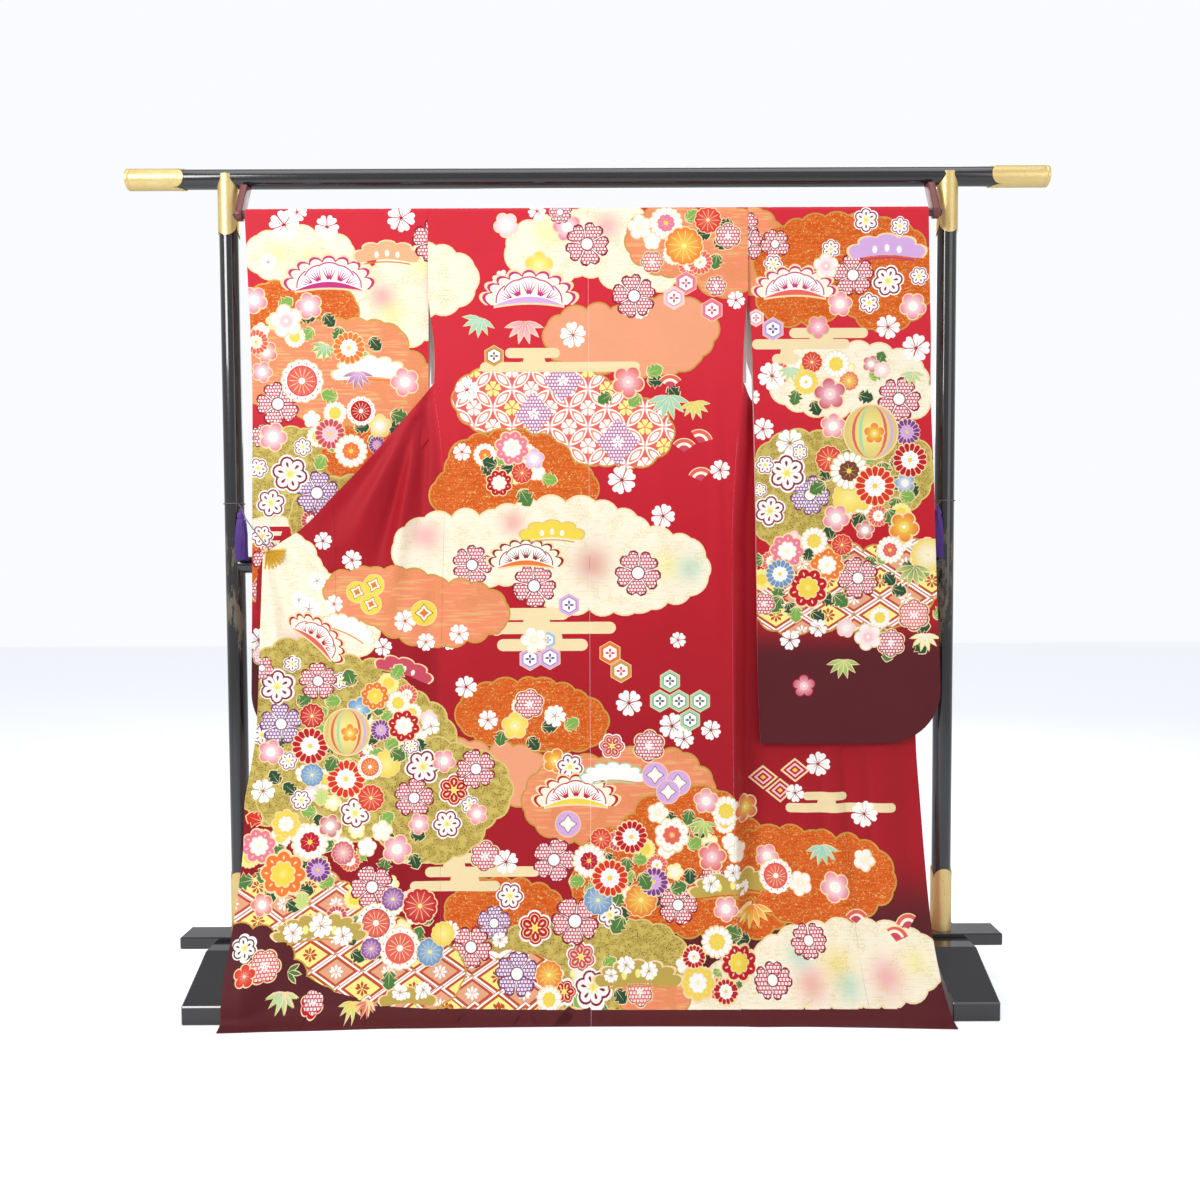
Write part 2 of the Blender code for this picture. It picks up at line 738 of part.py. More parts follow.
def end_cap(side, name):
    bore = POLE_R + FIT
    skin = bore + METAL
    cup = [(0, 0), (skin, 0), (skin, -CAP_LENGTH), (bore, -CAP_LENGTH), (bore, -METAL), (0, -METAL)]
    profile = [(r, side * h) for r, h in cup]
    turned(name, profile, "gold", "X", (side * BAR_HALF, 0, BAR_Z))


def arm(side, name, bar_hole, rod_hole):
    """The flat arm that reaches from under the crossbar to the hanging rod."""
    run = np.array([ROD_Y, ROD_Z - BAR_Z])
    run /= np.linalg.norm(run)
    across = np.array([-run[1], run[0]]) * ARM_W / 2
    low = np.array([ROD_Y, ROD_Z])
    high = np.array([0.0, BAR_Z])
    outline = [tuple(high + across), tuple(high - across)]
    for k in range(9):
        turn = math.pi * k / 8
        reach = math.sin(turn) * run * ARM_W / 2 - math.cos(turn) * across
        outline.append(tuple(low + reach))
    ob = prism(name, outline, [side * x for x in ARM_X], "arm")
    cut(ob, bar_hole)
    cut(ob, rod_hole)


def feet():
    notch_y = PLATE_HALF_D + FIT
    notch_z = PLATE_Z[0] - FIT
    half = [(FOOT_HALF_D, 0), (FOOT_HALF_D, FOOT_TOE_Z), (FOOT_FLAT_D, FOOT_TOP_Z)]
    half += [(notch_y, FOOT_TOP_Z), (notch_y, notch_z)]
    outline = half + [(-y, z) for y, z in reversed(half)]
    plate = [(-PLATE_HALF_D, PLATE_Z[0]), (PLATE_HALF_D, PLATE_Z[0])]
    plate += [(PLATE_HALF_D, PLATE_Z[1]), (-PLATE_HALF_D, PLATE_Z[1])]
    for side, word in ((-1, "left"), (1, "right")):
        x = side * POST_X
        prism(f"foot_{word}", outline, (x - FOOT_HALF_W, x + FOOT_HALF_W), "lacquer")
        prism(f"foot_plate_{word}", plate, (x - PLATE_HALF_W, x + PLATE_HALF_W), "lacquer")


def clip(side):
    """A small pleated fan that pinches the front's upper edge."""
    word = "left" if side < 0 else "right"
    surface = left_y if side < 0 else right_y
    px, pz = side * CLIP_PIVOT[0], CLIP_PIVOT[1]
    points = [(px, pz)]
    for k in range(CLIP_PLEATS * 2 + 1):
        share = k / (CLIP_PLEATS * 2)
        angle = math.radians(CLIP_ANGLES[0] + (CLIP_ANGLES[1] - CLIP_ANGLES[0]) * share)
        reach = CLIP_R * (CLIP_NOTCH if k % 2 == 0 else 1.0)
        points.append((px - side * math.cos(angle) * reach, pz + math.sin(angle) * reach))
    back_face = min(surface(x, z) for x, z in points) - FIT
    bm = bmesh.new()
    face = bm.faces.new([bm.verts.new((x, back_face, z)) for x, z in points])
    moved = bmesh.ops.extrude_face_region(bm, geom=[face])["geom"]
    verts = [g for g in moved if isinstance(g, bmesh.types.BMVert)]
    bmesh.ops.translate(bm, verts=verts, vec=(0, -CLIP_T, 0))
    bmesh.ops.recalc_face_normals(bm, faces=bm.faces)
    finish(f"clip_{word}", bm, "gold", 30)
    return back_face - CLIP_T / 2


def tassel(side):
    """A knotted head whose underside is drawn out into separate strands."""
    word = "left" if side < 0 else "right"
    bm = bmesh.new()
    rings = []
    for radius, height in TASSEL_HEAD:
        angles = [2 * math.pi * k / TASSEL_SIDES for k in range(TASSEL_SIDES)]
        circle = [(radius * math.cos(a), radius * math.sin(a), height) for a in angles]
        rings.append([bm.verts.new(p) for p in circle])
    roots = []
    for i, (low, high) in enumerate(zip(rings, rings[1:])):
        for k in range(TASSEL_SIDES):
            n = (k + 1) % TASSEL_SIDES
            face = bm.faces.new((low[k], low[n], high[n], high[k]))
            if i >= len(TASSEL_HEAD) - 1 - STRAND_RINGS:
                roots.append(face)
    bm.faces.new(rings[0])
    bm.faces.new(rings[-1])
    bmesh.ops.recalc_face_normals(bm, faces=bm.faces)
    bmesh.ops.inset_individual(bm, faces=roots, thickness=STRAND_INSET)
    strands = bmesh.ops.extrude_discrete_faces(bm, faces=roots)["faces"]
    drop = TASSEL_LENGTH + TASSEL_HEAD[-1][1]
    for k, face in enumerate(strands):
        for v in face.verts:
            spread = TASSEL_SPREAD + 0.05 * math.sin(2.4 * k)
            v.co.x *= spread
            v.co.y *= spread
            v.co.z -= drop * (1 + 0.03 * math.sin(1.7 * k))
    bmesh.ops.translate(bm, verts=bm.verts, vec=(side * TASSEL_X, TASSEL_Y, TASSEL_TOP))
    finish(f"tassel_{word}", bm, "tassel", 30)


def rounded_route(points, spacing):
    """Points along a smooth curve through the route's own points."""
    ends = [2 * np.array(points[0]) - points[1], 2 * np.array(points[-1]) - points[-2]]
    chain = [ends[0]] + [np.array(p) for p in points] + [ends[1]]
    route = []
    for a, b, c, d in zip(chain, chain[1:], chain[2:], chain[3:]):
        steps = max(2, round(math.dist(b, c) / spacing))
        for t in np.arange(steps) / steps:
            curve = 2 * b + (c - a) * t + (2 * a - 5 * b + 4 * c - d) * t * t
            route.append((curve + (3 * b - a - 3 * c + d) * t ** 3) / 2)
    return route + [np.array(points[-1])]


def cord(name, route):
    curve = bpy.data.curves.new(name, "CURVE")
    curve.dimensions = "3D"
    curve.bevel_depth = CORD_R
    curve.bevel_resolution = 2
    curve.use_fill_caps = True
    spline = curve.splines.new("POLY")
    spline.points.add(len(route) - 1)
    for point, place in zip(spline.points, route):
        point.co = (*place, 1)
    curve.materials.append(material("cord"))
    ob = bpy.data.objects.new(name, curve)
    bpy.context.scene.collection.objects.link(ob)
    return ob


def fastening(side):
    """Cord round the post, its tassel, and the run out to the clip."""
    word = "left" if side < 0 else "right"
    clip_y = clip(side)
    tassel(side)
    ring_r = POLE_R + CORD_R + FIT
    ring = [(ring_r - CORD_R, -CORD_R), (ring_r, -CORD_R * 1.5), (ring_r + CORD_R, -CORD_R)]
    ring += [(ring_r + CORD_R, CORD_R), (ring_r, CORD_R * 1.5), (ring_r - CORD_R, CORD_R)]
    turned(f"cord_ring_{word}", ring, "cord", "Z", (side * POST_X, 0, LOOP_Z))
    from_post = np.array([TASSEL_X - POST_X, TASSEL_Y])
    from_post /= np.linalg.norm(from_post)
    leave = from_post * (ring_r + CORD_R + 2 * FIT)
    above = TASSEL_TOP + CORD_R + 3 * FIT
    angle = math.radians(CLIP_ANGLES[0] + CORD_TIE_SHARE * (CLIP_ANGLES[1] - CLIP_ANGLES[0]))
    reach = CLIP_R + CORD_R + FIT
    tie = (CLIP_PIVOT[0] - math.cos(angle) * reach, CLIP_PIVOT[1] + math.sin(angle) * reach)
    past_sleeve = CORD_PAST_SLEEVE[0] if side < 0 else CORD_PAST_SLEEVE[1]
    points = [
        (side * (POST_X + leave[0]), leave[1], LOOP_Z - 0.001),
        (side * TASSEL_X, TASSEL_Y, above),
        (side * past_sleeve[0], past_sleeve[1], past_sleeve[2]),
        (side * tie[0], clip_y, tie[1]),
    ]
    cord(f"cord_{word}", rounded_route(points, 5 * CORD_R))


def centre_in_depth():
    """Moves everything so that y = 0 is midway between the part's front and its back."""
    bpy.context.view_layer.update()
    shown = [ob for ob in bpy.context.scene.objects if not ob.hide_render]
    depths = [(ob.matrix_world @ Vector(c)).y for ob in shown for c in ob.bound_box]
    for ob in bpy.context.scene.objects:
        ob.location.y -= (min(depths) + max(depths)) / 2


def main():
    clear_scene()
    feet()
    poles()
    for side in (-1, 1):
        back(side)
        upper_front(side)
        front(side)
        upper_collar(side)
        collar_end(side)
        sleeve(side)
        fastening(side)
    collar_neck()
    centre_in_depth()


main()
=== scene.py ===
# %% [markdown]
# # A long-sleeved kimono on its display stand
#
# The kimono hangs from a thin rod with its back to us, and its fronts are drawn out to the sides
# so that the whole hem shows. The imported model gives every piece its place and size. This lesson
# dresses it: printed silk, lacquer, gilt fittings, cords and tassels. We load the frame first. The
# dressed object may not grow past it.

# %% Load the frame
import math

import bmesh
import bpy
import numpy as np
from mathutils import Matrix, Vector, kdtree
from mathutils.geometry import delaunay_2d_cdt


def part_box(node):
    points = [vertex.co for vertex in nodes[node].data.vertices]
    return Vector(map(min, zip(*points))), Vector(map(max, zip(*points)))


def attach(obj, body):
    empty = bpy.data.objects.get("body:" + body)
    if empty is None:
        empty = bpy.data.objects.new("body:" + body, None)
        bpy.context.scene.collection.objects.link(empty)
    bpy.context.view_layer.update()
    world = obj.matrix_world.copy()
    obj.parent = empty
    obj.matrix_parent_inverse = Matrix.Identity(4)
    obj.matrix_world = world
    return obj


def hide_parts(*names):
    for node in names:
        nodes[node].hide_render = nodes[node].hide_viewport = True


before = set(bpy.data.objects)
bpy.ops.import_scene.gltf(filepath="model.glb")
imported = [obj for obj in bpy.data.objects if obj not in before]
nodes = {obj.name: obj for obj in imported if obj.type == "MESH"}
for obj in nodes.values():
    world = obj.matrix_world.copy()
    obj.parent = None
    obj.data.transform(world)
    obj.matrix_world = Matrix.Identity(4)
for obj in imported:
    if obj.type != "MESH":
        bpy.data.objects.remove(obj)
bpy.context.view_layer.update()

post_low, post_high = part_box("post_left")
DEPTH = (post_low[1] + post_high[1]) / 2
print("nodes:", len(nodes), "| depth of the post plane:", round(DEPTH, 4))

# %% [markdown]
# ## Camera, light and floor
#
# The camera stands about two metres in front of the cloth, a little above its middle, with a lens
# of about 31 mm, and looks down by about two degrees. Its place was worked out from the stand's
# straight bars. The light is a studio's: one wide panel above and in front, a weaker one on the
# other side, and a pale room all round. The view transform is the plain one, because the dyes are
# named by how they look on the cloth.

# %% Camera
IMAGE_PX = 1200
FOCAL_PX = 1050.4
CENTRE_PX = (600.0, 607.0)
EYE = Vector((0.0172, -2.1448 + DEPTH, 0.8613))
PITCH, YAW, ROLL = 0.0417, -0.0015, -0.0045

level_right = Vector((math.cos(YAW), math.sin(YAW), 0))
level_ahead = Vector((-math.sin(YAW), math.cos(YAW), 0))
AHEAD = level_ahead * math.cos(PITCH) - Vector((0, 0, math.sin(PITCH)))
level_up = Vector((0, 0, math.cos(PITCH))) + level_ahead * math.sin(PITCH)
RIGHT = level_right * math.cos(ROLL) + level_up * math.sin(ROLL)
UP = level_up * math.cos(ROLL) - level_right * math.sin(ROLL)

lens = bpy.data.cameras.new("camera")
lens.sensor_width = 36
lens.lens = FOCAL_PX / IMAGE_PX * lens.sensor_width
lens.shift_x = (IMAGE_PX / 2 - CENTRE_PX[0]) / IMAGE_PX
lens.shift_y = (CENTRE_PX[1] - IMAGE_PX / 2) / IMAGE_PX
camera = bpy.data.objects.new("camera", lens)
turn = Matrix((RIGHT, UP, -AHEAD)).transposed().to_4x4()
camera.matrix_world = Matrix.Translation(EYE) @ turn
bpy.context.scene.collection.objects.link(camera)
bpy.context.scene.camera = camera
print("lens:", round(lens.lens, 2), "mm")


# %% Lights, room and floor
def panel_light(name, place, aim, size, power, colour=(1, 1, 1)):
    """A soft area light at place that shines towards aim."""
    light = bpy.data.lights.new(name, "AREA")
    light.shape = "RECTANGLE"
    light.size, light.size_y = size
    light.energy = power
    light.color = colour
    lamp = bpy.data.objects.new(name, light)
    to_aim = Vector(aim) - Vector(place)
    lamp.matrix_world = Matrix.Translation(place) @ to_aim.to_track_quat("-Z", "Y").to_matrix().to_4x4()
    bpy.context.scene.collection.objects.link(lamp)


panel_light("key", (-2.5, -2.9, 2.6), (0, 0, 0.9), (1.6, 1.5), 84)
panel_light("fill", (2.6, -2.6, 1.7), (0, 0, 0.8), (2.0, 2.0), 16)
panel_light("top", (0, -0.6, 3.4), (0, 0, 0.6), (3.0, 1.6), 22)
panel_light("behind", (0.6, 3.0, 2.4), (0, 0, 0.9), (2.4, 2.0), 32)

world = bpy.data.worlds.new("room")
world.use_nodes = True
room = world.node_tree
seen = room.nodes.new("ShaderNodeLightPath")
strength = room.nodes.new("ShaderNodeMapRange")
strength.inputs["To Min"].default_value = 0.49
strength.inputs["To Max"].default_value = 1.0
room.links.new(seen.outputs["Is Camera Ray"], strength.inputs["Value"])
room.links.new(strength.outputs["Result"], room.nodes["Background"].inputs["Strength"])
room.nodes["Background"].inputs["Color"].default_value = (0.96, 0.97, 1.0, 1)
bpy.context.scene.world = world
bpy.context.scene.view_settings.view_transform = "Standard"


def node(tree, kind, place=(0, 0), **values):
    """A shader node with some of its inputs set by name."""
    made = tree.nodes.new(kind)
    made.location = place
    for key, value in values.items():
        key = key.replace("_", " ")
        made.inputs[key].default_value = value
    return made


def new_material(name, colour, roughness, metallic=0.0):
    """A material with its Principled shader ready to be fed."""
    mat = bpy.data.materials.new(name)
    mat.use_nodes = True
    shader = mat.node_tree.nodes["Principled BSDF"]
    shader.inputs["Base Color"].default_value = (*colour, 1)
    shader.inputs["Roughness"].default_value = roughness
    shader.inputs["Metallic"].default_value = metallic
    return mat, mat.node_tree, shader


bm = bmesh.new()
bmesh.ops.create_grid(bm, x_segments=1, y_segments=1, size=9)
floor_mesh = bpy.data.meshes.new("floor")
bm.to_mesh(floor_mesh)
bm.free()
floor = bpy.data.objects.new("floor", floor_mesh)
bpy.context.scene.collection.objects.link(floor)
pale, tree, shader = new_material("pale floor", (0.86, 0.88, 0.91), 0.6)
shader.inputs["Emission Color"].default_value = (0.93, 0.96, 1.0, 1)
rays = tree.nodes.new("ShaderNodeLightPath")
glow = tree.nodes.new("ShaderNodeMapRange")
glow.inputs["To Max"].default_value = 0.5
tree.links.new(rays.outputs["Is Camera Ray"], glow.inputs["Value"])
tree.links.new(glow.outputs["Result"], shader.inputs["Emission Strength"])
floor.data.materials.append(pale)

# %% [markdown]
# ## The hung shape of the cloth
#
# Cloth that only hangs can be described well by one number at each place: how far forward it lies.
# So each panel is a height field, y as a function of x and z, built from a few smooth curves: the
# drape of the back, the line of each side seam and each sleeve, and the drawn-out fronts. The same
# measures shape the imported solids, so the panels lie exactly on them. Above the rod the cloth
# turns over it in a small arc, and there "height" means the length along that arc.

# %% Measures of the cloth, in metres
ROD_Y, FOLD_R = -0.05, 0.0105
ROD_Z = 1.5481
SEAM_GAP = 0.0003
HEM_Z = 0.0025
WALL = 0.002
LAYER_GAP = 0.0006
ARMHOLE_X = 0.313
NECK_X = 0.09
SLIT_TOP_Z, SLIT_Z = 1.386, 1.215
UPPER_END_Z = SLIT_Z + 0.003
SLEEVE_BOTTOM_Z, SLEEVE_CORNER_R = 0.498, 0.108
OVERLAP_SHARE = 0.62
FOLD_TOP = ROD_Z + FOLD_R * math.pi / 2
FAR_Y = ROD_Y + FOLD_R

# (height, y of the printed face)
BACK_DRAPE = (
    (HEM_Z, -0.227), (0.006, -0.208), (0.012, -0.196), (0.04, -0.176), (0.10, -0.158), (0.25, -0.130),
    (0.50, -0.100), (0.75, -0.086), (1.00, -0.075), (1.20, -0.070), (1.40, -0.066), (ROD_Z, ROD_Y - FOLD_R),
)
BEHIND_DRAPE = (
    (HEM_Z, -0.227), (0.006, -0.208), (0.012, -0.196), (0.04, -0.174), (0.10, -0.143), (0.25, -0.084),
    (0.38, -0.049), (0.50, -0.0375), (1.30, -0.0365),
)
# (height, left, right), as distances from the back seam
SIDE_EDGE = (
    (HEM_Z, 0.288, 0.283), (0.20, 0.291, 0.281), (0.40, 0.294, 0.280), (0.70, 0.291, 0.280),
    (0.90, 0.286, 0.280), (0.98, 0.284, 0.283), (1.06, 0.288, 0.288), (1.13, 0.294, 0.294),
    (1.20, 0.303, 0.302), (1.26, 0.301, 0.3035), (1.30, 0.303, 0.305), (1.345, 0.309, 0.3085),
    (SLIT_TOP_Z, 0.3128, 0.3128),
)
# (height, left inner, left outer, right inner, right outer)
SLEEVE_EDGES = (
    (SLEEVE_BOTTOM_Z, 0.330, 0.680, 0.341, 0.703), (0.62, 0.327, 0.677, 0.336, 0.701),
    (0.785, 0.322, 0.673, 0.333, 0.693), (1.03, 0.319, 0.668, 0.329, 0.684),
    (1.18, 0.316, 0.665, 0.325, 0.677), (1.33, 0.314, 0.664, 0.319, 0.673),
    (SLIT_TOP_Z, 0.3132, 0.666, 0.3132, 0.671), (ROD_Z, 0.3132, 0.671, 0.3132, 0.667),
)
# (x, height) from the side seam to the clip
TOP_EDGES = {
    -1: ((-0.368, 1.135), (-0.447, 1.047), (-0.506, 0.988), (-0.564, 0.931), (-0.612, 0.900),
         (-0.640, 0.880)),
    1: ((0.368, 1.125), (0.447, 1.035), (0.506, 0.975), (0.564, 0.925), (0.612, 0.895), (0.645, 0.878)),
}
# (height, distance from the back seam) from the hem to the clip
FREE_EDGES = {
    -1: (
        (HEM_Z, 0.689), (0.083, 0.692), (0.177, 0.686), (0.247, 0.679), (0.32, 0.674), (0.39, 0.674),
        (0.466, 0.662), (0.542, 0.651), (0.694, 0.645), (0.880, 0.640),
    ),
    1: ((HEM_Z, 0.676), (0.06, 0.668), (0.145, 0.663), (0.33, 0.664), (0.496, 0.657), (0.70, 0.650),
        (0.878, 0.645)),
}
# How much further forward the left corner lies over the toe of the foot: (height, y)
OVER_FOOT = (
    (HEM_Z, 0.001), (0.012, 0.011), (0.03, 0.023), (0.05, 0.026), (0.08, 0.019), (0.16, 0.004), (0.30, 0.0),
)
# Folds: (start x, start z, end x, end z, half width at start and at end, height of the ridge)
LEFT_FOLDS = (
    (-0.322, 1.180, -0.480, 0.880, 0.011, 0.030, 0.018), (-0.338, 1.140, -0.392, 0.760, 0.009, 0.022, 0.014),
    (-0.632, 0.870, -0.590, 0.520, 0.009, 0.030, 0.011), (-0.634, 0.860, -0.655, 0.420, 0.008, 0.020, 0.006),
    (-0.330, 1.165, -0.560, 0.930, 0.008, 0.022, 0.008),
    (-0.560, 0.330, -0.600, 0.040, 0.030, 0.045, 0.006),
)
RIGHT_FOLDS = (
    (0.480, 0.560, 0.497, 0.110, 0.020, 0.024, 0.008), (0.585, 0.560, 0.600, 0.050, 0.024, 0.030, 0.007),
    (0.360, 0.500, 0.372, 0.120, 0.022, 0.026, 0.005),
)
print("rows of measures:", len(BACK_DRAPE) + len(SIDE_EDGE) + len(SLEEVE_EDGES))


# %% Smooth curves and soft folds
def curve(table, at, column=1):
    """A smooth curve through a table's rows, read at many places at once."""
    xs = np.array([row[0] for row in table])
    ys = np.array([row[column] for row in table])
    step = np.diff(xs)
    rise = np.diff(ys) / step
    same = rise[:-1] * rise[1:] > 0
    safe = [np.where(same, r, 1.0) for r in (rise[:-1], rise[1:])]
    middle = (step[:-1] + step[1:]) / (step[1:] / safe[0] + step[:-1] / safe[1])
    slope = np.concatenate([rise[:1], np.where(same, middle, 0), rise[-1:]])
    at = np.clip(np.asarray(at, float), xs[0], xs[-1])
    k = np.clip(np.searchsorted(xs, at, side="right") - 1, 0, len(step) - 1)
    t = (at - xs[k]) / step[k]
    value = (1 + 2 * t) * (1 - t) ** 2 * ys[k] + t * t * (3 - 2 * t) * ys[k + 1]
    return value + (t * (1 - t) ** 2 * slope[k] - t * t * (1 - t) * slope[k + 1]) * step[k]


def ramp(value):
    """0 to 1 with level ends."""
    value = np.clip(value, 0.0, 1.0)
    return value * value * (3 - 2 * value)


def signed_area(outline):
    """Area inside a closed outline; negative where it runs clockwise."""
    flat = np.array(outline)
    after = np.roll(flat, -1, 0)
    return np.sum(flat[:, 0] * after[:, 1] - after[:, 0] * flat[:, 1]) / 2


def ridges(folds, x, z, fullness=0.7):
    """Sum of soft ridges, each fading in from its start and out at its end."""
    total = np.zeros(np.broadcast(x, z).shape)
    for x0, z0, x1, z1, w0, w1, height in folds:
        dx, dz = x1 - x0, z1 - z0
        share = ((x - x0) * dx + (z - z0) * dz) / (dx * dx + dz * dz)
        inside = np.clip(share, 1e-6, 1 - 1e-6)
        off = ((x - x0) * dz - (z - z0) * dx) / math.hypot(dx, dz)
        width = w0 + (w1 - w0) * inside
        swell = np.sin(math.pi * inside) ** fullness * ((share > 0) & (share < 1))
        total = total + height * swell * np.exp(-((off / width) ** 2))
    return total


def side_x(side, z):
    """Distance of a side seam from the back seam."""
    return curve(SIDE_EDGE, z, 1 if side < 0 else 2)


print("drape at half height:", round(float(curve(BACK_DRAPE, 0.8)), 4))

# %% [markdown]
# ### Creases
#
# No hung garment is flat. The drawn-out fronts carry long folds that fan out from the slit and
# from the clips, and the back and the sleeves carry faint pulls and the sharp lines of folding.
# A crease is added as a soft ridge or trough with its own line, width and depth, because evenly
# spaced ones would look like corrugated card. Low, slow waves do the rest.

# %% Creases, in the same columns as the folds
LEFT_CREASES = (
    (-0.312, 1.190, -0.440, 0.930, 0.006, 0.020, -0.0055), (-0.317, 1.195, -0.334, 0.880, 0.008, 0.013,
        -0.0085),
    (-0.330, 1.175, -0.540, 0.965, 0.007, 0.016, 0.003), (-0.334, 1.150, -0.425, 0.850, 0.007, 0.016, -0.007),
    (-0.330, 1.130, -0.430, 0.820, 0.006, 0.018, -0.003), (-0.560, 0.955, -0.470, 0.830, 0.014, 0.020, 0.003),
    (-0.625, 0.868, -0.560, 0.640, 0.006, 0.018, -0.0035), (-0.620, 0.872, -0.520, 0.700, 0.006, 0.018,
        0.0055),
    (-0.615, 0.880, -0.450, 0.760, 0.006, 0.020, -0.003), (-0.636, 0.860, -0.622, 0.560, 0.005, 0.010,
        -0.003),
    (-0.610, 0.885, -0.500, 0.850, 0.006, 0.012, 0.0025), (-0.400, 0.640, -0.410, 0.120, 0.020, 0.030,
        0.0025),
    (-0.480, 0.520, -0.500, 0.060, 0.016, 0.028, -0.003), (-0.350, 0.500, -0.355, 0.040, 0.014, 0.020,
        -0.002),
    (-0.640, 0.420, -0.655, 0.060, 0.014, 0.018, -0.003), (-0.300, 0.900, -0.330, 0.500, 0.012, 0.022,
        -0.002),
)
RIGHT_CREASES = (
    (0.462, 0.520, 0.478, 0.060, 0.005, 0.008, -0.0035), (0.505, 0.540, 0.530, 0.140, 0.010, 0.016, -0.003),
    (0.440, 0.500, 0.420, 0.080, 0.012, 0.018, 0.003), (0.556, 0.520, 0.565, 0.090, 0.006, 0.010, -0.003),
    (0.630, 0.500, 0.640, 0.060, 0.010, 0.014, -0.002), (0.330, 0.470, 0.335, 0.050, 0.010, 0.014, -0.002),
    (0.520, 0.150, 0.560, 0.020, 0.016, 0.020, 0.003), (0.392, 0.480, 0.398, 0.300, 0.006, 0.008, -0.0025),
)
BACK_CREASES = (
    (0.245, 1.260, 0.262, 0.700, 0.010, 0.020, 0.0026), (0.268, 1.120, 0.270, 0.640, 0.006, 0.010, -0.0022),
    (-0.255, 1.200, -0.240, 0.600, 0.012, 0.022, 0.0018), (0.150, 1.400, 0.140, 0.500, 0.020, 0.030, 0.0012),
    (-0.130, 1.350, -0.150, 0.400, 0.018, 0.030, -0.0012), (0.200, 0.500, 0.215, 0.030, 0.018, 0.026, 0.0022),
    (-0.060, 0.420, -0.070, 0.040, 0.016, 0.024, -0.0016), (0.080, 0.450, 0.070, 0.030, 0.018, 0.026, 0.0018),
    (-0.200, 0.380, -0.215, 0.040, 0.020, 0.024, 0.0020), (-0.300, 1.236, 0.285, 1.250, 0.0022, 0.0022,
        0.0006),
    (-0.280, 1.205, 0.300, 1.213, 0.0022, 0.0022, -0.0005), (0.285, 1.050, 0.270, 0.860, 0.005, 0.006,
        0.0018),
    (-0.310, 1.480, 0.310, 1.476, 0.002, 0.002, -0.0003), (-0.295, 0.640, 0.280, 0.648, 0.0022, 0.0022,
        0.0003),
)
SLEEVE_CREASES = (
    (0.430, 1.540, 0.420, 0.900, 0.022, 0.030, 0.0016), (0.560, 1.480, 0.575, 0.760, 0.020, 0.034, -0.0016),
    (0.380, 1.100, 0.372, 0.560, 0.016, 0.022, -0.0012), (0.620, 1.300, 0.640, 0.640, 0.016, 0.020, 0.0014),
    (0.330, 1.250, 0.660, 1.246, 0.0022, 0.0022, 0.0004), (0.335, 0.930, 0.670, 0.934, 0.0022, 0.0022,
        -0.0004),
    (0.500, 0.900, 0.505, 0.520, 0.018, 0.024, 0.0014), (0.455, 1.250, 0.470, 0.950, 0.014, 0.020, -0.0009),
)


def waves(x, z, seed, size=0.0007):
    """Low, slow unevenness; each panel has its own."""
    total = 0
    for k in range(5):
        a, b = 9 + 7 * k + 1.7 * seed, 5 + 4 * k - 0.9 * seed
        total = total + np.sin(a * x + b * z + seed * (k + 1) * 1.3) / (k + 1)
    return size * total


print("creases:", len(LEFT_CREASES) + len(RIGHT_CREASES) + len(BACK_CREASES) + len(SLEEVE_CREASES))


# %% The drape of each panel, y as a function of x and z
def hem_flare(x, z):
    """The hem comes forward at its ends, and at the left it lies over the foot."""
    low = 1 - np.minimum(z / 0.40, 1)
    return -0.020 * (x / 0.69) ** 2 * low * low - curve(OVER_FOOT, z) * ramp((-x - 0.60) / 0.06)


def near_rod(z):
    """Creases fade out at the rod and at the floor."""
    return ramp((ROD_Z - z) / 0.05) * ramp((z - HEM_Z) / 0.02)


def plain_back_y(x, z):
    """The back without its creases."""
    return curve(BACK_DRAPE, z) + hem_flare(x, z)


def back_y(x, z):
    """The back, with a narrow dip along its seam."""
    at_seam = np.exp(-((x / 0.0022) ** 2))
    inside = ramp((side_x(1, z) - np.abs(x)) / 0.02)
    creases = ridges(BACK_CREASES, x, z) + waves(x, z, 1.0)
    return plain_back_y(x, z) - creases * near_rod(z) * inside + 0.0005 * at_seam


def plain_left_y(x, z):
    """The left front carries on the line of the back, a little further forward."""
    beyond = np.maximum(-x - side_x(-1, z) - 0.001, 0)
    return plain_back_y(x, z) - 0.004 * ramp(beyond / 0.06) * ramp(z / 0.3)


def left_y(x, z):
    beyond = np.maximum(-x - side_x(-1, z) - 0.001, 0)
    creases = ridges(LEFT_FOLDS, x, z) + ridges(LEFT_CREASES, x, z) * near_rod(z) + waves(x, z, 2.3)
    return plain_left_y(x, z) - creases * ramp(beyond / 0.014)


def plain_right_y(x, z):
    """The right front turns back at the side seam and hangs behind the sleeve."""
    beyond = np.maximum(x - side_x(1, z) - 0.001, 0)
    room = curve(SLEEVE_EDGES, z, 3) - side_x(1, z) - 0.003
    share = ramp(beyond / np.minimum(0.034, room))
    return plain_back_y(x, z) * (1 - share) + (curve(BEHIND_DRAPE, z) + hem_flare(x, z)) * share


def right_y(x, z):
    beyond = np.maximum(x - side_x(1, z) - 0.001, 0)
    low = ramp((0.56 - z) / 0.08) * ramp(beyond / 0.03)
    creases = ridges(RIGHT_FOLDS, x, z) + ridges(RIGHT_CREASES, x, z) * near_rod(z) + waves(x, z, 3.1)
    return plain_right_y(x, z) - low * creases


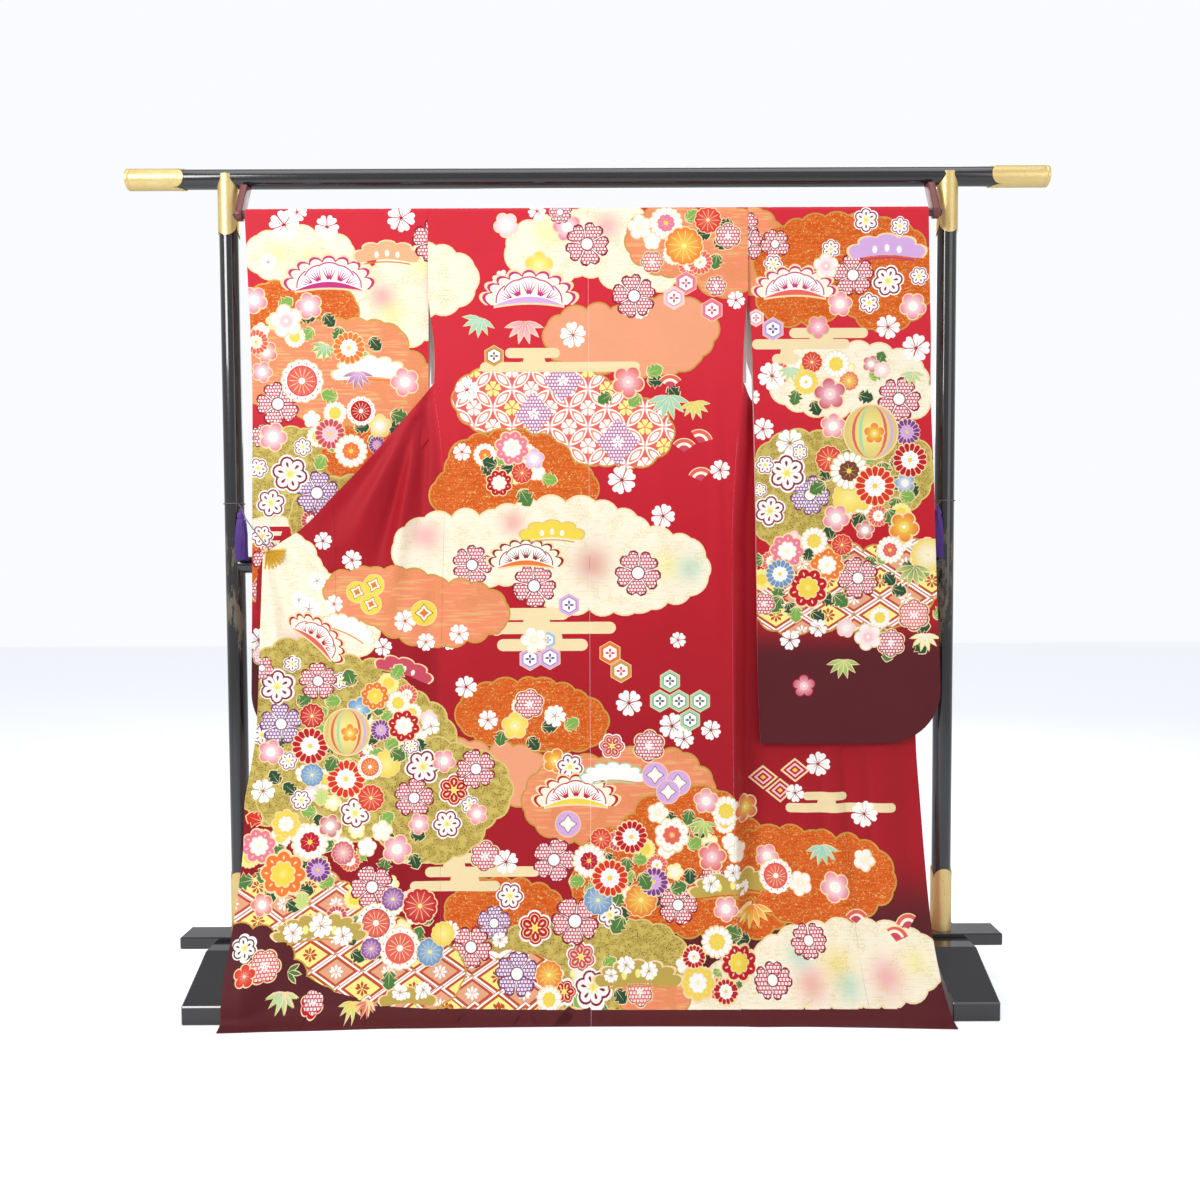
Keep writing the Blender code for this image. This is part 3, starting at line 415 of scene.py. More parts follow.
def sleeve_y(side, facing):
    """The near (-1) or far (+1) layer of a sleeve: round the rod at the top, closed at its seams."""
    flat = WALL + LAYER_GAP / 2

    def surface(x, z):
        down = ramp((z - 0.62) / (ROD_Z - 0.62)) ** 0.8
        outer = curve(SLEEVE_EDGES, z, 2 if side < 0 else 4)
        from_edge = ramp((outer - np.abs(x)) / 0.12)
        sewn = ramp((1.32 - z) / 0.12)
        half = flat + (FOLD_R - flat) * down * (1 - sewn * (1 - from_edge))
        creases = ridges(SLEEVE_CREASES, np.abs(x), z) + waves(x, z, 4.0 + side)
        inner = curve(SLEEVE_EDGES, z, 1 if side < 0 else 3)
        inside = ramp((outer - np.abs(x)) / 0.03) * ramp((np.abs(x) - inner) / 0.03)
        return ROD_Y + facing * (half + np.maximum(creases, -0.0002) * near_rod(z) * inside)

    return surface


def draped(surface, facing):
    """A function that gives the points and the outward directions of a panel's printed face."""
    step = 0.0005

    def place(x, v):
        turn = np.maximum(v - ROD_Z, 0) / FOLD_R
        over = v > ROD_Z
        z = np.minimum(v, ROD_Z)
        up, down = np.minimum(z + step, ROD_Z), np.maximum(z - step, HEM_Z)
        across = (surface(x + step, z) - surface(x - step, z)) / (2 * step)
        rise = (surface(x, up) - surface(x, down)) / (up - down)
        y = np.where(over, ROD_Y + facing * FOLD_R * np.cos(turn), surface(x, z))
        points = np.stack([x, y + DEPTH, np.where(over, ROD_Z + FOLD_R * np.sin(turn), z)], -1)
        hung = facing * np.stack([-across, np.ones_like(x), -rise], -1)
        hung /= np.linalg.norm(hung, axis=-1, keepdims=True)
        folded = np.stack([0 * x, facing * np.cos(turn), np.sin(turn)], -1)
        return points, np.where(over[:, None], folded, hung)

    return place


print("sleeve half thickness at the cuff:", round(float(ROD_Y - sleeve_y(1, -1)(0.5, 1.3)), 4))

# %% [markdown]
# ## Drawing the print
#
# The silk is dyed by hand in flat areas with fine outlines and soft shading, so the print is made
# the same way: as closed outlines with a colour at the heart and another at the rim, laid one over
# another. A planar triangulation then cuts the cloth along all the outlines at once, and each
# small face takes the dye of the topmost shape over it. Nothing is projected from a picture, the
# edges stay sharp at any distance, and fine fills such as tie-dyed dots are left to the material.
#
# A motif's place is given as it is seen from the camera, in steps of a twelve-hundredth of the
# view, because that is how it was judged; a ray from the camera finds where it lies on the cloth.

# %% Dyes, as they look on the cloth
DYES = {
    "white": "fffdf8", "cream": "fdf5dc", "straw": "f4dfae", "lemon": "fbf08e", "yellow": "f6d84f",
    "gold": "cfa049", "paleline": "f8ddaa", "olive": "c2a850", "sand": "e0c878", "brown": "7d4526",
    "red": "c01c2b", "scarlet": "dc3826", "wine": "8c1f2e", "maroon": "5a2026",
    "rose": "cf4f62", "pink": "ee7f98", "blush": "fbccd6", "coral": "e8665a", "salmon": "f28f69",
    "peach": "f9b486", "orange": "d4550f", "tangerine": "ef7d33", "magenta": "c8347f",
    "lilac": "d9aee0", "mauve": "9a5aa0", "purple": "7f3f92", "violet": "5b3a90", "plum": "7a3c63",
    "mint": "a9d8ad", "leaf": "84b452", "green": "4f7f41", "pine": "2c5238", "lime": "c9df83",
    "aqua": "9cd8c9", "sky": "a9c9df", "blue": "6a98c4", "brightred": "d42a3a", "deepred": "a81a26",
    "shell": "fbeee6", "ivory": "fdf4dc", "orchid": "b8609c", "brick": "c4502f", "tan": "e8a985",
    "apricot": "f3a47c",
}


def dye(name):
    """A dye's colour as the renderer wants it."""
    parts = np.array([int(DYES[name][k : k + 2], 16) / 255 for k in (0, 2, 4)])
    return np.where(parts <= 0.04045, parts / 12.92, ((parts + 0.055) / 1.055) ** 2.4)


# What fills a shape; the silk's material draws all but the plain one
PLAIN, KANOKO, FLECKED, SPECKLED, LEAFED, LINED, GILT = range(7)
# View steps between rays, a first guess of the cloth's depth, and rounds that correct it
CELL, FIRST_GUESS, ROUNDS = 8, -0.08, 4
print("dyes:", len(DYES))


# %% A drawing: shapes laid one over another on one surface
class Drawing:
    """Outlines in view steps, put on the cloth by a ray from the camera."""

    def __init__(self, surface, ground):
        self.surface = surface
        self.ground = ground
        self.shapes = []
        self.glows = []
        px, py = np.meshgrid(*[np.arange(0, IMAGE_PX + CELL, CELL)] * 2)
        across, above = (px - CENTRE_PX[0]) / FOCAL_PX, (CENTRE_PX[1] - py) / FOCAL_PX
        ray = across[..., None] * np.array(RIGHT) + above[..., None] * np.array(UP) + np.array(AHEAD)
        y = np.full(px.shape, DEPTH + FIRST_GUESS)
        for _ in range(ROUNDS):
            reach = (y - EYE.y) / ray[..., 1]
            x, z = EYE.x + reach * ray[..., 0], EYE.z + reach * ray[..., 2]
            y = surface(x, np.clip(z, HEM_Z, ROD_Z)) + DEPTH
        self.found = np.stack([x, z, reach / FOCAL_PX], -1)

    def on_cloth(self, px, py):
        """x and z on the cloth under a view place, and the size of one view step there."""
        column, row = round(px / CELL), round(py / CELL)
        x, z, step = self.found[row, column]
        return x + (px - column * CELL) * step, z - (py - row * CELL) * step, step

    def add(self, points, heart, rim=None, fill=PLAIN, at=None, within=None):
        """A closed outline; the dye goes from heart at its centre to rim at its edge."""
        points = np.asarray(points, float)
        centre = points.mean(0) if at is None else np.array(at, float)
        x, z, step = self.on_cloth(*centre)
        flat = (points - centre) * (step, -step) + (x, z)
        if signed_area(flat) < 0:
            flat = flat[::-1]
        reach = np.linalg.norm(flat - (x, z), axis=1).max()
        colours = dye(heart), dye(rim or heart)
        self.shapes.append((flat, colours, np.array((x, z)), reach, fill, within))
        return len(self.shapes) - 1

    def glow(self, px, py, r, name):
        """A soft breath of colour in the pale clouds."""
        x, z, step = self.on_cloth(px, py)
        self.glows.append((np.array((x, z)), r * step, dye(name)))


def disc(x, y, r, count=24, squash=1.0, turn=0.0):
    """Points of a circle, or of an oval that is squashed and turned."""
    a = 2 * math.pi * np.arange(count) / count
    u, v = r * np.cos(a), r * squash * np.sin(a)
    c, s = math.cos(math.radians(turn)), math.sin(math.radians(turn))
    return np.stack([x + u * c - v * s, y + u * s + v * c], 1)


HEART = ((0.10, 0.02), (0.30, 0.13), (0.55, 0.27), (0.76, 0.33), (0.92, 0.28), (1.00, 0.14), (0.88, 0.0))
ROUND = ((0.12, 0.03), (0.28, 0.18), (0.48, 0.31), (0.68, 0.35), (0.86, 0.27), (0.97, 0.13), (1.00, 0.0))
SPOON = ((0.42, 0.03), (0.60, 0.10), (0.80, 0.145), (0.93, 0.12), (1.00, 0.0))
DROP = ((0.34, 0.0), (0.46, 0.035), (0.58, 0.05), (0.66, 0.03), (0.68, 0.0))


def petals(x, y, r, count, profile, turn=0.0, wide=1.0, start=0.0):
    """Outlines of a ring of petals with one half profile: (share of r outward, share across)."""
    half = np.array(profile)
    out = np.concatenate([half[:, 0], half[-2::-1, 0]])
    across = np.concatenate([half[:, 1], -half[-2::-1, 1]])
    if half[0, 1] == 0:
        out, across = out[:-1], across[:-1]
    out = start + out * (1 - start)
    rings = []
    for k in range(count):
        a = 2 * math.pi * k / count + math.radians(turn - 90)
        c, s = math.cos(a), math.sin(a)
        u, v = out * r, across * r * wide
        rings.append(np.stack([x + u * c - v * s, y + u * s + v * c], 1))
    return rings


def lobed(x, y, r, count, depth=0.16, turn=0.0, points=9):
    """A scalloped outline with round lobes and sharp notches."""
    a = 2 * math.pi * np.arange(count * points) / (count * points)
    bulge = np.abs(np.sin(count * a / 2)) ** 0.75
    radius = r * (1 - depth + depth * bulge)
    b = a + math.radians(turn - 90) + math.pi / count
    return np.stack([x + radius * np.cos(b), y + radius * np.sin(b)], 1)


print("petal profiles:", 4)

# %% [markdown]
# ### Flowers
#
# The flowers are the old ones of festive dress: cherry, plum and chrysanthemum. Each is a few rings
# of petals over a backing that shows as its outline, so every flower is a short function with its
# dyes as arguments. Drawn shapes beat a texture here because a petal's edge must stay crisp.


# %% Flowers
def cherry(d, x, y, r, turn=0, colour="white", line="wine"):
    """Five notched petals, parted by the ground, with a fine line at the heart."""
    for petal in petals(x, y, r, 5, HEART, turn, 1.32):
        d.add(petal, colour)
    for stamen in petals(x, y, r * 0.5, 5, ((0.0, 0.05), (0.8, 0.03), (1.0, 0.0)), turn):
        d.add(stamen, line)


def blossom(d, x, y, r, turn=0, rim="pink", heart="white", edge="paleline", count=5, centre="white"):
    """A soft shaded blossom with a fine pale outline."""
    if edge != "none":
        d.add(lobed(x, y, r, count, 0.2, turn), edge)
    for petal in petals(x, y, r * 0.93, count, ROUND, turn, 5.6 / count):
        d.add(petal, heart, rim, at=(x, y))
    d.add(disc(x, y, r * 0.34, 16), heart)
    for stamen in petals(x, y, r * 0.55, count * 2, ((0.2, 0.03), (1.0, 0.0)), turn + 18):
        d.add(stamen, "paleline")
    d.add(disc(x, y, r * 0.11, 10), centre)


def plum(d, x, y, r, turn=0, line="wine", count=6):
    """A white plum blossom with a dark outline, a drop in each petal and a yellow heart."""
    d.add(lobed(x, y, r * 1.1, count, 0.2, turn), "white")
    for petal in petals(x, y, r, count, ROUND, turn, 6.8 / count):
        d.add(petal, line)
    for petal in petals(x, y, r * 0.89, count, ROUND, turn, 5.9 / count, 0.04):
        d.add(petal, "white" if line != "red" and line != "rose" else "paleline")
    if line in ("red", "rose"):
        for petal in petals(x, y, r * 0.83, count, ROUND, turn, 5.4 / count, 0.06):
            d.add(petal, line)
    for drop in petals(x, y, r, count, DROP, turn, 1.5):
        d.add(drop, "straw" if line in ("red", "rose") else line)
    for ray in petals(x, y, r * 0.42, count, ((0.0, 0.12), (0.8, 0.1), (1.0, 0.0)), turn + 180 / count):
        d.add(ray, "lemon")
    d.add(disc(x, y, r * 0.2, 12), "yellow", "lemon")


def kanoko(d, x, y, r, turn=0, colour="rose", line="wine", count=5):
    """A blossom of tie-dyed dots with a clear outline and a round white heart."""
    d.add(lobed(x, y, r * 0.94, count, 0.3, turn), "white")
    for petal in petals(x, y, r, count, HEART, turn, 7.0 / count):
        d.add(petal, line)
    for petal in petals(x, y, r * 0.925, count, HEART, turn, 6.5 / count, 0.06):
        d.add(petal, colour, fill=KANOKO)
    d.add(disc(x, y, r * 0.31, 20), line)
    d.add(disc(x, y, r * 0.26, 20), "white")


def rosette(d, x, y, r, turn=0, colour="rose", line="wine", count=6):
    """A smaller, rounder blossom of tie-dyed dots with a pale outline."""
    d.add(lobed(x, y, r, count, 0.18, turn), "paleline")
    d.add(lobed(x, y, r * 0.92, count, 0.18, turn), line)
    d.add(lobed(x, y, r * 0.86, count, 0.18, turn), colour, fill=KANOKO)
    for ray in petals(x, y, r * 0.3, count, ((0.1, 0.1), (0.7, 0.2), (1.0, 0.0)), turn):
        d.add(ray, "white")


def mum(d, x, y, r, turn=0, outer="red", inner="white", edge="paleline", heart="yellow", count=16):
    """A chrysanthemum: a wheel of spoon petals round a smaller wheel."""
    d.add(lobed(x, y, r, count, 0.1, turn, 5), edge)
    for petal in petals(x, y, r * 0.95, count, SPOON, turn, 16 / count):
        d.add(petal, outer)
    d.add(lobed(x, y, r * 0.52, count // 2, 0.14, turn, 6), inner)
    for ray in petals(x, y, r * 0.5, count // 2, ((0.3, 0.012), (1.0, 0.012)), turn):
        d.add(ray, outer)
    d.add(disc(x, y, r * 0.13, 12), heart)


def daisy(d, x, y, r, turn=0, rim="scarlet", heart="coral", edge="paleline", ray="paleline", centre="lemon",
          count=12):
    """A round chrysanthemum with shaded petals parted by fine rays."""
    d.add(lobed(x, y, r, count, 0.08, turn, 5), edge)
    d.add(lobed(x, y, r * 0.94, count, 0.09, turn, 5), heart, rim)
    for line in petals(x, y, r * 0.86, count, ((0.16, 0.008), (0.8, 0.022), (1.0, 0.0)), turn):
        d.add(line, ray)
    d.add(disc(x, y, r * 0.13, 12), centre)


def ringed(d, x, y, r, turn=0, rim="white", dots="brown", heart="red", edge="paleline", count=14):
    """A chrysanthemum inside a dotted ring."""
    d.add(lobed(x, y, r, count, 0.07, turn, 5), edge)
    d.add(lobed(x, y, r * 0.95, count, 0.07, turn, 5), rim)
    for dot in petals(x, y, r * 0.9, count, ((0.82, 0.0), (0.9, 0.035), (0.98, 0.0)), turn):
        d.add(dot, dots)
    d.add(disc(x, y, r * 0.70, 26), dots)
    d.add(lobed(x, y, r * 0.68, count, 0.08, turn, 5), heart)
    for line in petals(x, y, r * 0.62, count, ((0.2, 0.012), (0.8, 0.03), (1.0, 0.0)), turn):
        d.add(line, "paleline")
    d.add(disc(x, y, r * 0.15, 12), "white")


def dahlia(d, x, y, r, turn=0, outer="red", inner="white", edge="paleline", heart="lemon", count=8):
    """A full flower: broad outlined petals over a second, narrower ring."""
    d.add(lobed(x, y, r, count, 0.16, turn), edge)
    for petal in petals(x, y, r * 0.93, count, ROUND, turn, 7.2 / count, 0.1):
        d.add(petal, outer, outer)
    for petal in petals(x, y, r * 0.93, count, ((0.62, 0.0), (0.74, 0.05), (0.86, 0.0)), turn):
        d.add(petal, edge)
    d.add(lobed(x, y, r * 0.56, count, 0.2, turn + 22), edge)
    d.add(lobed(x, y, r * 0.5, count, 0.2, turn + 22), inner)
    d.add(disc(x, y, r * 0.2, 14), heart, inner)


def leaf(d, x, y, r, turn=0, colour="green", edge="paleline"):
    """A lobed chrysanthemum leaf with veins."""
    r = r * 1.25
    half = ((0.0, 0.0), (0.05, 0.16), (0.22, 0.38), (0.36, 0.24), (0.46, 0.5), (0.62, 0.26), (0.72, 0.36),
            (0.88, 0.2))
    outline = [(r * u, r * v) for u, v in half] + [(r, 0)] + [(r * u, -r * v) for u, v in half[:0:-1]]
    c, s = math.cos(math.radians(turn)), math.sin(math.radians(turn))
    points = np.array([(x + u * c - v * s, y + u * s + v * c) for u, v in outline])
    d.add(points, edge)
    middle = points.mean(0)
    d.add(middle + (points - middle) * 0.88, colour, colour)
    for a in (0, 32, -32):
        k, m = math.cos(math.radians(turn + a)), math.sin(math.radians(turn + a))
        tip, side = r * (0.8 if a == 0 else 0.55), r * 0.02
        d.add([(x - side * m, y + side * k), (x + tip * k, y + tip * m), (x + side * m, y - side * k)], edge)


def sprig(d, x, y, r, turn=0, colour="green"):
    """Three small pointed leaves."""
    for a in (-42, 0, 42):
        points = petals(x, y, r, 1, ((0.05, 0.02), (0.4, 0.2), (0.75, 0.16), (1.0, 0.0)), turn + a)[0]
        d.add(points, "paleline")
        inner = petals(x, y, r * 0.93, 1, ((0.08, 0.01), (0.4, 0.15), (0.75, 0.11), (1.0, 0.0)), turn + a)[0]
        d.add(inner, colour)


print("flowers:", 9)

# %% [markdown]
# ### Pine, bamboo, mist, clouds and other set figures
#
# The rest of the drawing comes from the same stock: pine drawn as a scalloped hill, bamboo leaves
# that hang like a hand, bands of mist with round ends, tortoise-shell hexagons, little fans,
# diamonds and linked rings. The clouds gather them. A cloud is a row of round lobes, drawn first a
# little larger in its outline's dye and then again in its own, so only the outer rim shows.


# %% Set figures
def bent(points, x, y, turn):
    """Points turned by some degrees and moved to a place."""
    c, s = math.cos(math.radians(turn)), math.sin(math.radians(turn))
    return np.array([(x + u * c - v * s, y + u * s + v * c) for u, v in points])


def hill(w, h, lobes, sag=0.22, grow=1.0):
    """A pine's outline: scalloped above and hollow below, centred on its base line."""
    points = []
    for k in range(lobes):
        for t in np.linspace(0, 1, 7)[: 6 if k < lobes - 1 else 7]:
            a = math.pi * (1 - (k + t) / lobes)
            out = 1 + 0.16 * math.sin(math.pi * t) ** 0.7
            points.append((w * math.cos(a) * out * grow, -h * math.sin(a) ** 0.8 * out * grow))
    for t in np.linspace(0, 1, 9)[1:-1]:
        points.append((w * grow * (1 - 2 * t), -h * sag * math.sin(math.pi * t) + h * 0.06 * grow))
    return points


def pine(d, x, y, w, turn=0, colour="peach", lobes=5, edge="paleline", h=0.62, base="tangerine",
         ovals="white"):
    """A plain pine hill with a few pale buds along its foot."""
    d.add(bent(hill(w, w * h, lobes, grow=1.07), x, y, turn), edge)
    d.add(bent(hill(w, w * h, lobes), x, y, turn), colour)
    for k in (-1, 0, 1):
        bud = disc(k * w * 0.36, -w * (0.30 - 0.05 * k * k), w * 0.075, 10, 1.5)
        d.add(bent(bud, x, y, turn), ovals)
    foot = [(w * u, -w * 0.16 * math.cos(1.35 * u) + w * 0.13) for u in np.linspace(-0.8, 0.8, 9)]
    foot += [(u, v + w * 0.045) for u, v in reversed(foot)]
    d.add(bent(foot, x, y, turn), base)


def pinefan(d, x, y, w, turn=0, tips="magenta", band="rose", edge="paleline", h=0.74, lobes=9):
    """A pine hill with sprays of needles over a coloured band."""
    for share, name in ((1.07, edge), (1.0, tips), (0.93, "cream")):
        d.add(bent(hill(w, w * h, lobes, grow=share), x, y, turn), name)
    sprays = []
    for a in (-64, 64, -32, 32, 0):
        out = np.array((math.sin(math.radians(a)), -math.cos(math.radians(a))))
        root, reach = out * (w * 0.42, w * h * 0.30), w * (0.50 if a == 0 else 0.46)
        sprays.append((a, root, reach))
        around = np.radians(a) + np.linspace(-0.62, 0.62, 9)
        for share, name in ((0.96, tips), (0.89, "white")):
            sector = [root + reach * share * np.array((math.sin(t), -math.cos(t))) for t in around]
            d.add(bent([root] + sector, x, y, turn), name)
    for a, root, reach in sprays:
        for b in (-30, -15, 0, 15, 30):
            k, m = math.sin(math.radians(a + b)), -math.cos(math.radians(a + b))
            thick = w * 0.021
            foot, tip = root + w * 0.05 * np.array((k, m)), root + reach * 0.84 * np.array((k, m))
            needle = [foot - thick * np.array((m, -k)), tip, foot + thick * np.array((m, -k))]
            d.add(bent(needle, x, y, turn), tips)
    upper = [(w * u, -w * 0.30 * math.cos(1.45 * u) + w * 0.07) for u in np.linspace(-0.86, 0.86, 11)]
    lower = [(w * u, -w * 0.13 * math.cos(1.45 * u) + w * 0.07) for u in np.linspace(0.86, -0.86, 11)]
    d.add(bent(upper + lower, x, y, turn), "white")
    d.add(bent([(u * 0.95, v + w * 0.025) for u, v in upper] + lower, x, y, turn), band)
    below = [(u, v + w * 0.05) for u, v in reversed(lower)]
    d.add(bent(below + lower, x, y, turn), edge)


def bamboo(d, x, y, w, turn=0, colour="green", rim="paleline", tip="lime", edge="paleline"):
    """Six leaves that hang from one point."""
    for k, a in enumerate((-74, -44, -14, 14, 44, 74)):
        length = w * (0.95 - 0.12 * abs(k - 2.5) / 2.5)
        half = ((0.0, 0.04), (0.25, 0.13), (0.55, 0.15), (0.8, 0.08), (1.0, 0.0))
        out = petals(x, y, length, 1, half, turn + 180 + a)[0]
        d.add(out, edge)
        inner = petals(x, y, length * 0.95, 1, half, turn + 180 + a, 0.72)[0]
        d.add(inner, colour, tip, at=(x, y))
        vein = petals(x, y, length * 0.8, 1, ((0.1, 0.008), (1.0, 0.0)), turn + 180 + a)[0]
        d.add(vein, rim)


def mist(d, bars, colour="straw"):
    """Level bands with round ends: (left, right, height, half thickness) each."""
    for left, right, y, half in bars:
        a = np.linspace(-math.pi / 2, math.pi / 2, 7)
        right_end = [(right - half + half * math.cos(t), y + half * math.sin(t)) for t in a]
        left_end = [(left + half - half * math.cos(t), y - half * math.sin(t)) for t in a]
        between = [(u, y + half) for u in np.arange(right - 30, left + 20, -30)]
        back = [(u, y - half) for u in np.arange(left + 30, right - 20, 30)]
        d.add(right_end + between + left_end + back, colour)
    for (l0, r0, y0, _), (l1, r1, y1, _) in zip(bars, bars[1:]):
        start, end = max(l0, l1), min(r0, r1)
        if y1 - y0 < 20 and start < end:
            a, b = start + 0.36 * (end - start), start + 0.70 * (end - start)
            d.add([(a, y0), (b, y0), (b + 3, y1), (a - 3, y1)], colour)


def hexagon(d, x, y, r, turn=0, rim="lilac", line="violet", inside="white"):
    """A tortoise-shell hexagon with a four-petalled cross."""
    for share, name in ((1.0, "paleline"), (0.94, rim), (0.70, line), (0.64, inside)):
        d.add(disc(x, y, r * share, 6, turn=90), name)
    for petal in petals(x, y, r * 0.42, 4, ((0.1, 0.05), (0.6, 0.25), (1.0, 0.0)), 0):
        d.add(petal, line)


def fan(d, x, y, r, turn=0, *colours):
    """A small open fan in bands."""
    colours = colours or ("coral", "cream", "rose")
    for share, name in ((1.0, "paleline"), (0.93, colours[0]), (0.68, colours[1]), (0.48, colours[2])):
        arc = [(r * share * math.sin(a), -r * share * math.cos(a)) for a in np.linspace(-0.95, 0.95, 13)]
        d.add(bent(arc + [(0, 0)], x, y + r * 0.5, turn), name)


def rhomb(x, y, w, h):
    """The four corners of an upright diamond."""
    return np.array([(x + w, y), (x, y + h), (x - w, y), (x, y - h)], float)


def diamond(d, x, y, w, h, dyes=("paleline", "red", "blush", "red", "yellow")):
    for k, name in enumerate(dyes):
        s = 1 - 0.2 * k
        d.add(rhomb(x, y, w * s, h * s), name)


def coin(d, x, y, r, turn=0, colour="yellow", line="brown", inside="tangerine"):
    """A ring with a hollow-sided star inside."""
    d.add(disc(x, y, r, 28), "paleline")
    d.add(disc(x, y, r * 0.94, 28), colour)
    for share, name in ((0.72, line), (0.64, "cream"), (0.36, inside)):
        star = []
        for k in range(4):
            for t in (0.0, 0.25, 0.5, 0.75):
                a = math.pi / 2 * (k + t) + math.radians(turn)
                s = share * (1 - 0.42 * math.sin(math.pi * t))
                star.append((x + r * s * math.cos(a), y + r * s * math.sin(a)))
        d.add(star, name)


def lobes_of(x, y, w, h, seed, size=15.0):
    """Circles that ring an oval: a cloud's lobes."""
    rng = np.random.default_rng(seed)
    around = math.pi * (3 * (w + h) - math.sqrt((3 * w + h) * (w + 3 * h)))
    count = max(6, round(around / (size * 1.45)))
    found = []
    for k in range(count):
        a = 2 * math.pi * (k + rng.uniform(-0.16, 0.16)) / count
        r = size * rng.uniform(0.85, 1.2)
        found.append((x + (w - r * 0.8) * math.cos(a), y + (h - r * 0.8) * math.sin(a), r))
    return found


def cloud(d, parts, colour="orange", edge="gold", fill=FLECKED, size=15.0, seed=1, line=1.6):
    """One cloud from a few ovals (x, y, half width, half height); gives the ids of its own shapes."""
    lobes = [lobe for k, (x, y, w, h) in enumerate(parts) for lobe in lobes_of(x, y, w, h, seed + k, size)]
    for x, y, r in lobes:
        d.add(disc(x, y, r + line, 22), edge, fill=GILT if edge == "gold" else PLAIN)
    own = set()
    for x, y, w, h in parts:
        wide, high = w - size * 0.55, max(h - size * 0.55, 2)
        own.add(d.add(disc(x, y, wide, 40, high / wide), colour, fill=fill))
    for x, y, r in lobes:
        own.add(d.add(disc(x, y, r, 22), colour, fill=fill))
    return own


def lattice(d, own, box, w=26, h=17):
    """Diamonds parted by striped bars, only inside one cloud."""
    x0, y0, x1, y1 = box
    for i in range(int((x1 - x0) / w) + 2):
        for j in range(int((y1 - y0) / h) + 2):
            x, y = x0 + i * w, y0 + j * h
            if (i + j) % 2:
                continue
            kind = ("lemon", "brick") if j % 2 else ("tan", "white")
            for s, name in ((1.0, "brick"), (0.96, "white"), (0.83, "brick"), (0.67, kind[0])):
                d.add(rhomb(x, y, w * s, h * s), name, within=own)
            for petal in petals(x, y, h * 0.44, 8, ((0.15, 0.03), (0.7, 0.2), (1.0, 0.0)), 0):
                d.add(petal, kind[1], within=own)
            d.add(disc(x + w, y, 2.6, 8), "gold", within=own)
            d.add(disc(x, y + h, 2.6, 8), "gold", within=own)


def rings(d, own, box, r=19.0, squares=()):
    """Linked rings: every point lies in two petals of four, only inside one cloud."""
    x0, y0, x1, y1 = box
    lens = ((0.0, 0.0), (0.12, 0.09), (0.3, 0.17), (0.5, 0.205), (0.7, 0.17), (0.88, 0.09), (1.0, 0.0))
    for i in range(int((x1 - x0) / r) + 2):
        for j in range(int((y1 - y0) / r) + 2):
            if (i + j) % 2:
                continue
            x, y = x0 + i * r, y0 + j * r
            for petal in petals(x, y, r * math.sqrt(2), 4, lens, 45):
                middle = petal.mean(0)
                for share, name in ((0.97, "white"), (0.72, "salmon"), (0.5, "white")):
                    d.add(middle + (petal - middle) * share, name, within=own)
            d.add(disc(x + r, y, r * 0.42, 14), "salmon" if (i + 2 * j) % 3 else "coral", within=own)
            for dot in petals(x + r, y, r * 0.42, 5, HEART, 0, 1.2):
                d.add(dot, "white" if (i + 2 * j) % 3 else "lemon", within=own)
    for x, y, s in squares:
        d.add(rhomb(x, y, s, s * 1.08), "orchid", fill=KANOKO, within=own)
        for petal in petals(x, y, s * 0.28, 5, HEART, 0):
            d.add(petal, "white", within=own)


def ball(d, x, y, r, turn=0):
    """A thread ball: bands that curve with the ball, and a blossom on its front."""
    d.add(disc(x, y, r, 32), "paleline")
    d.add(disc(x, y, r * 0.95, 32), "lemon", "sand")
    for k, name in ((-0.72, "coral"), (-0.46, "mint"), (0.5, "coral"), (0.74, "lilac")):
        side = [(r * k * math.cos(t) * 0.95, r * 0.93 * math.sin(t)) for t in np.linspace(-1.4, 1.4, 11)]
        inner = [(u + r * 0.11 * math.cos(t), v) for (u, v), t in zip(side, np.linspace(-1.4, 1.4, 11))]
        d.add(bent(side + inner[::-1], x, y, turn), name)
    blossom(d, x + r * 0.12, y + r * 0.05, r * 0.4, 0, "tangerine", "yellow")


print("figures ready")

# %% [markdown]
# ## From a drawing to a panel of cloth
#
# A panel starts as its outline in the flat. The triangulation takes that outline, every shape over
# it and a net of loose points that carries the drape, and returns triangles that never cross a
# line. Each triangle knows the shapes that hold it, so it takes the topmost dye. The flat points
# are then lifted onto the hung surface, a plain lining is laid behind on the same rim, and a narrow
# strip closes the two, so the cloth has a real edge. The directions of the surface are set from the
# formula itself, because thin triangles at the outlines would otherwise show as dents.


# %% Panels of printed cloth
def net(low, high, step, crowded=()):
    """Loose points inside a box, with extra rows where the cloth bends sharply."""
    xs = np.arange(low[0] + step / 2, high[0], step)
    zs = np.arange(low[1] + step / 2, high[1], step)
    zs = np.unique(np.concatenate([zs, [z for z in crowded if low[1] < z < high[1]]]))
    grid = np.stack(np.meshgrid(xs, zs), -1)
    grid[1::2, :, 0] += step / 4
    return grid.reshape(-1, 2)


BAKE_SPREAD, BAKE_MARGIN = 2.04, 0.005
HEM_ROWS = (0.004, 0.006, 0.0085, 0.012, 0.017, 0.024, 0.032, 0.042)
ROD_ROWS = tuple(ROD_Z + FOLD_R * a for a in (-2, -1, -0.4, 0.0, 0.25, 0.5, 0.75, 1.0, 1.25))


def far_from(points, others, least):
    """The points that keep a distance from all the others."""
    tree = kdtree.KDTree(len(others))
    for k, p in enumerate(others):
        tree.insert((*p, 0), k)
    tree.balance()
    return np.array([p for p in points if tree.find((*p, 0))[2] > least])


def parted(outline, longest):
    """The outline with more points along its long edges, so that they follow the folds."""
    rows = []
    for a, b in zip(outline, np.roll(outline, -1, 0)):
        count = math.ceil(math.dist(a, b) / longest)
        rows += [a + (b - a) * k / count for k in range(count)]
    return np.array(rows)


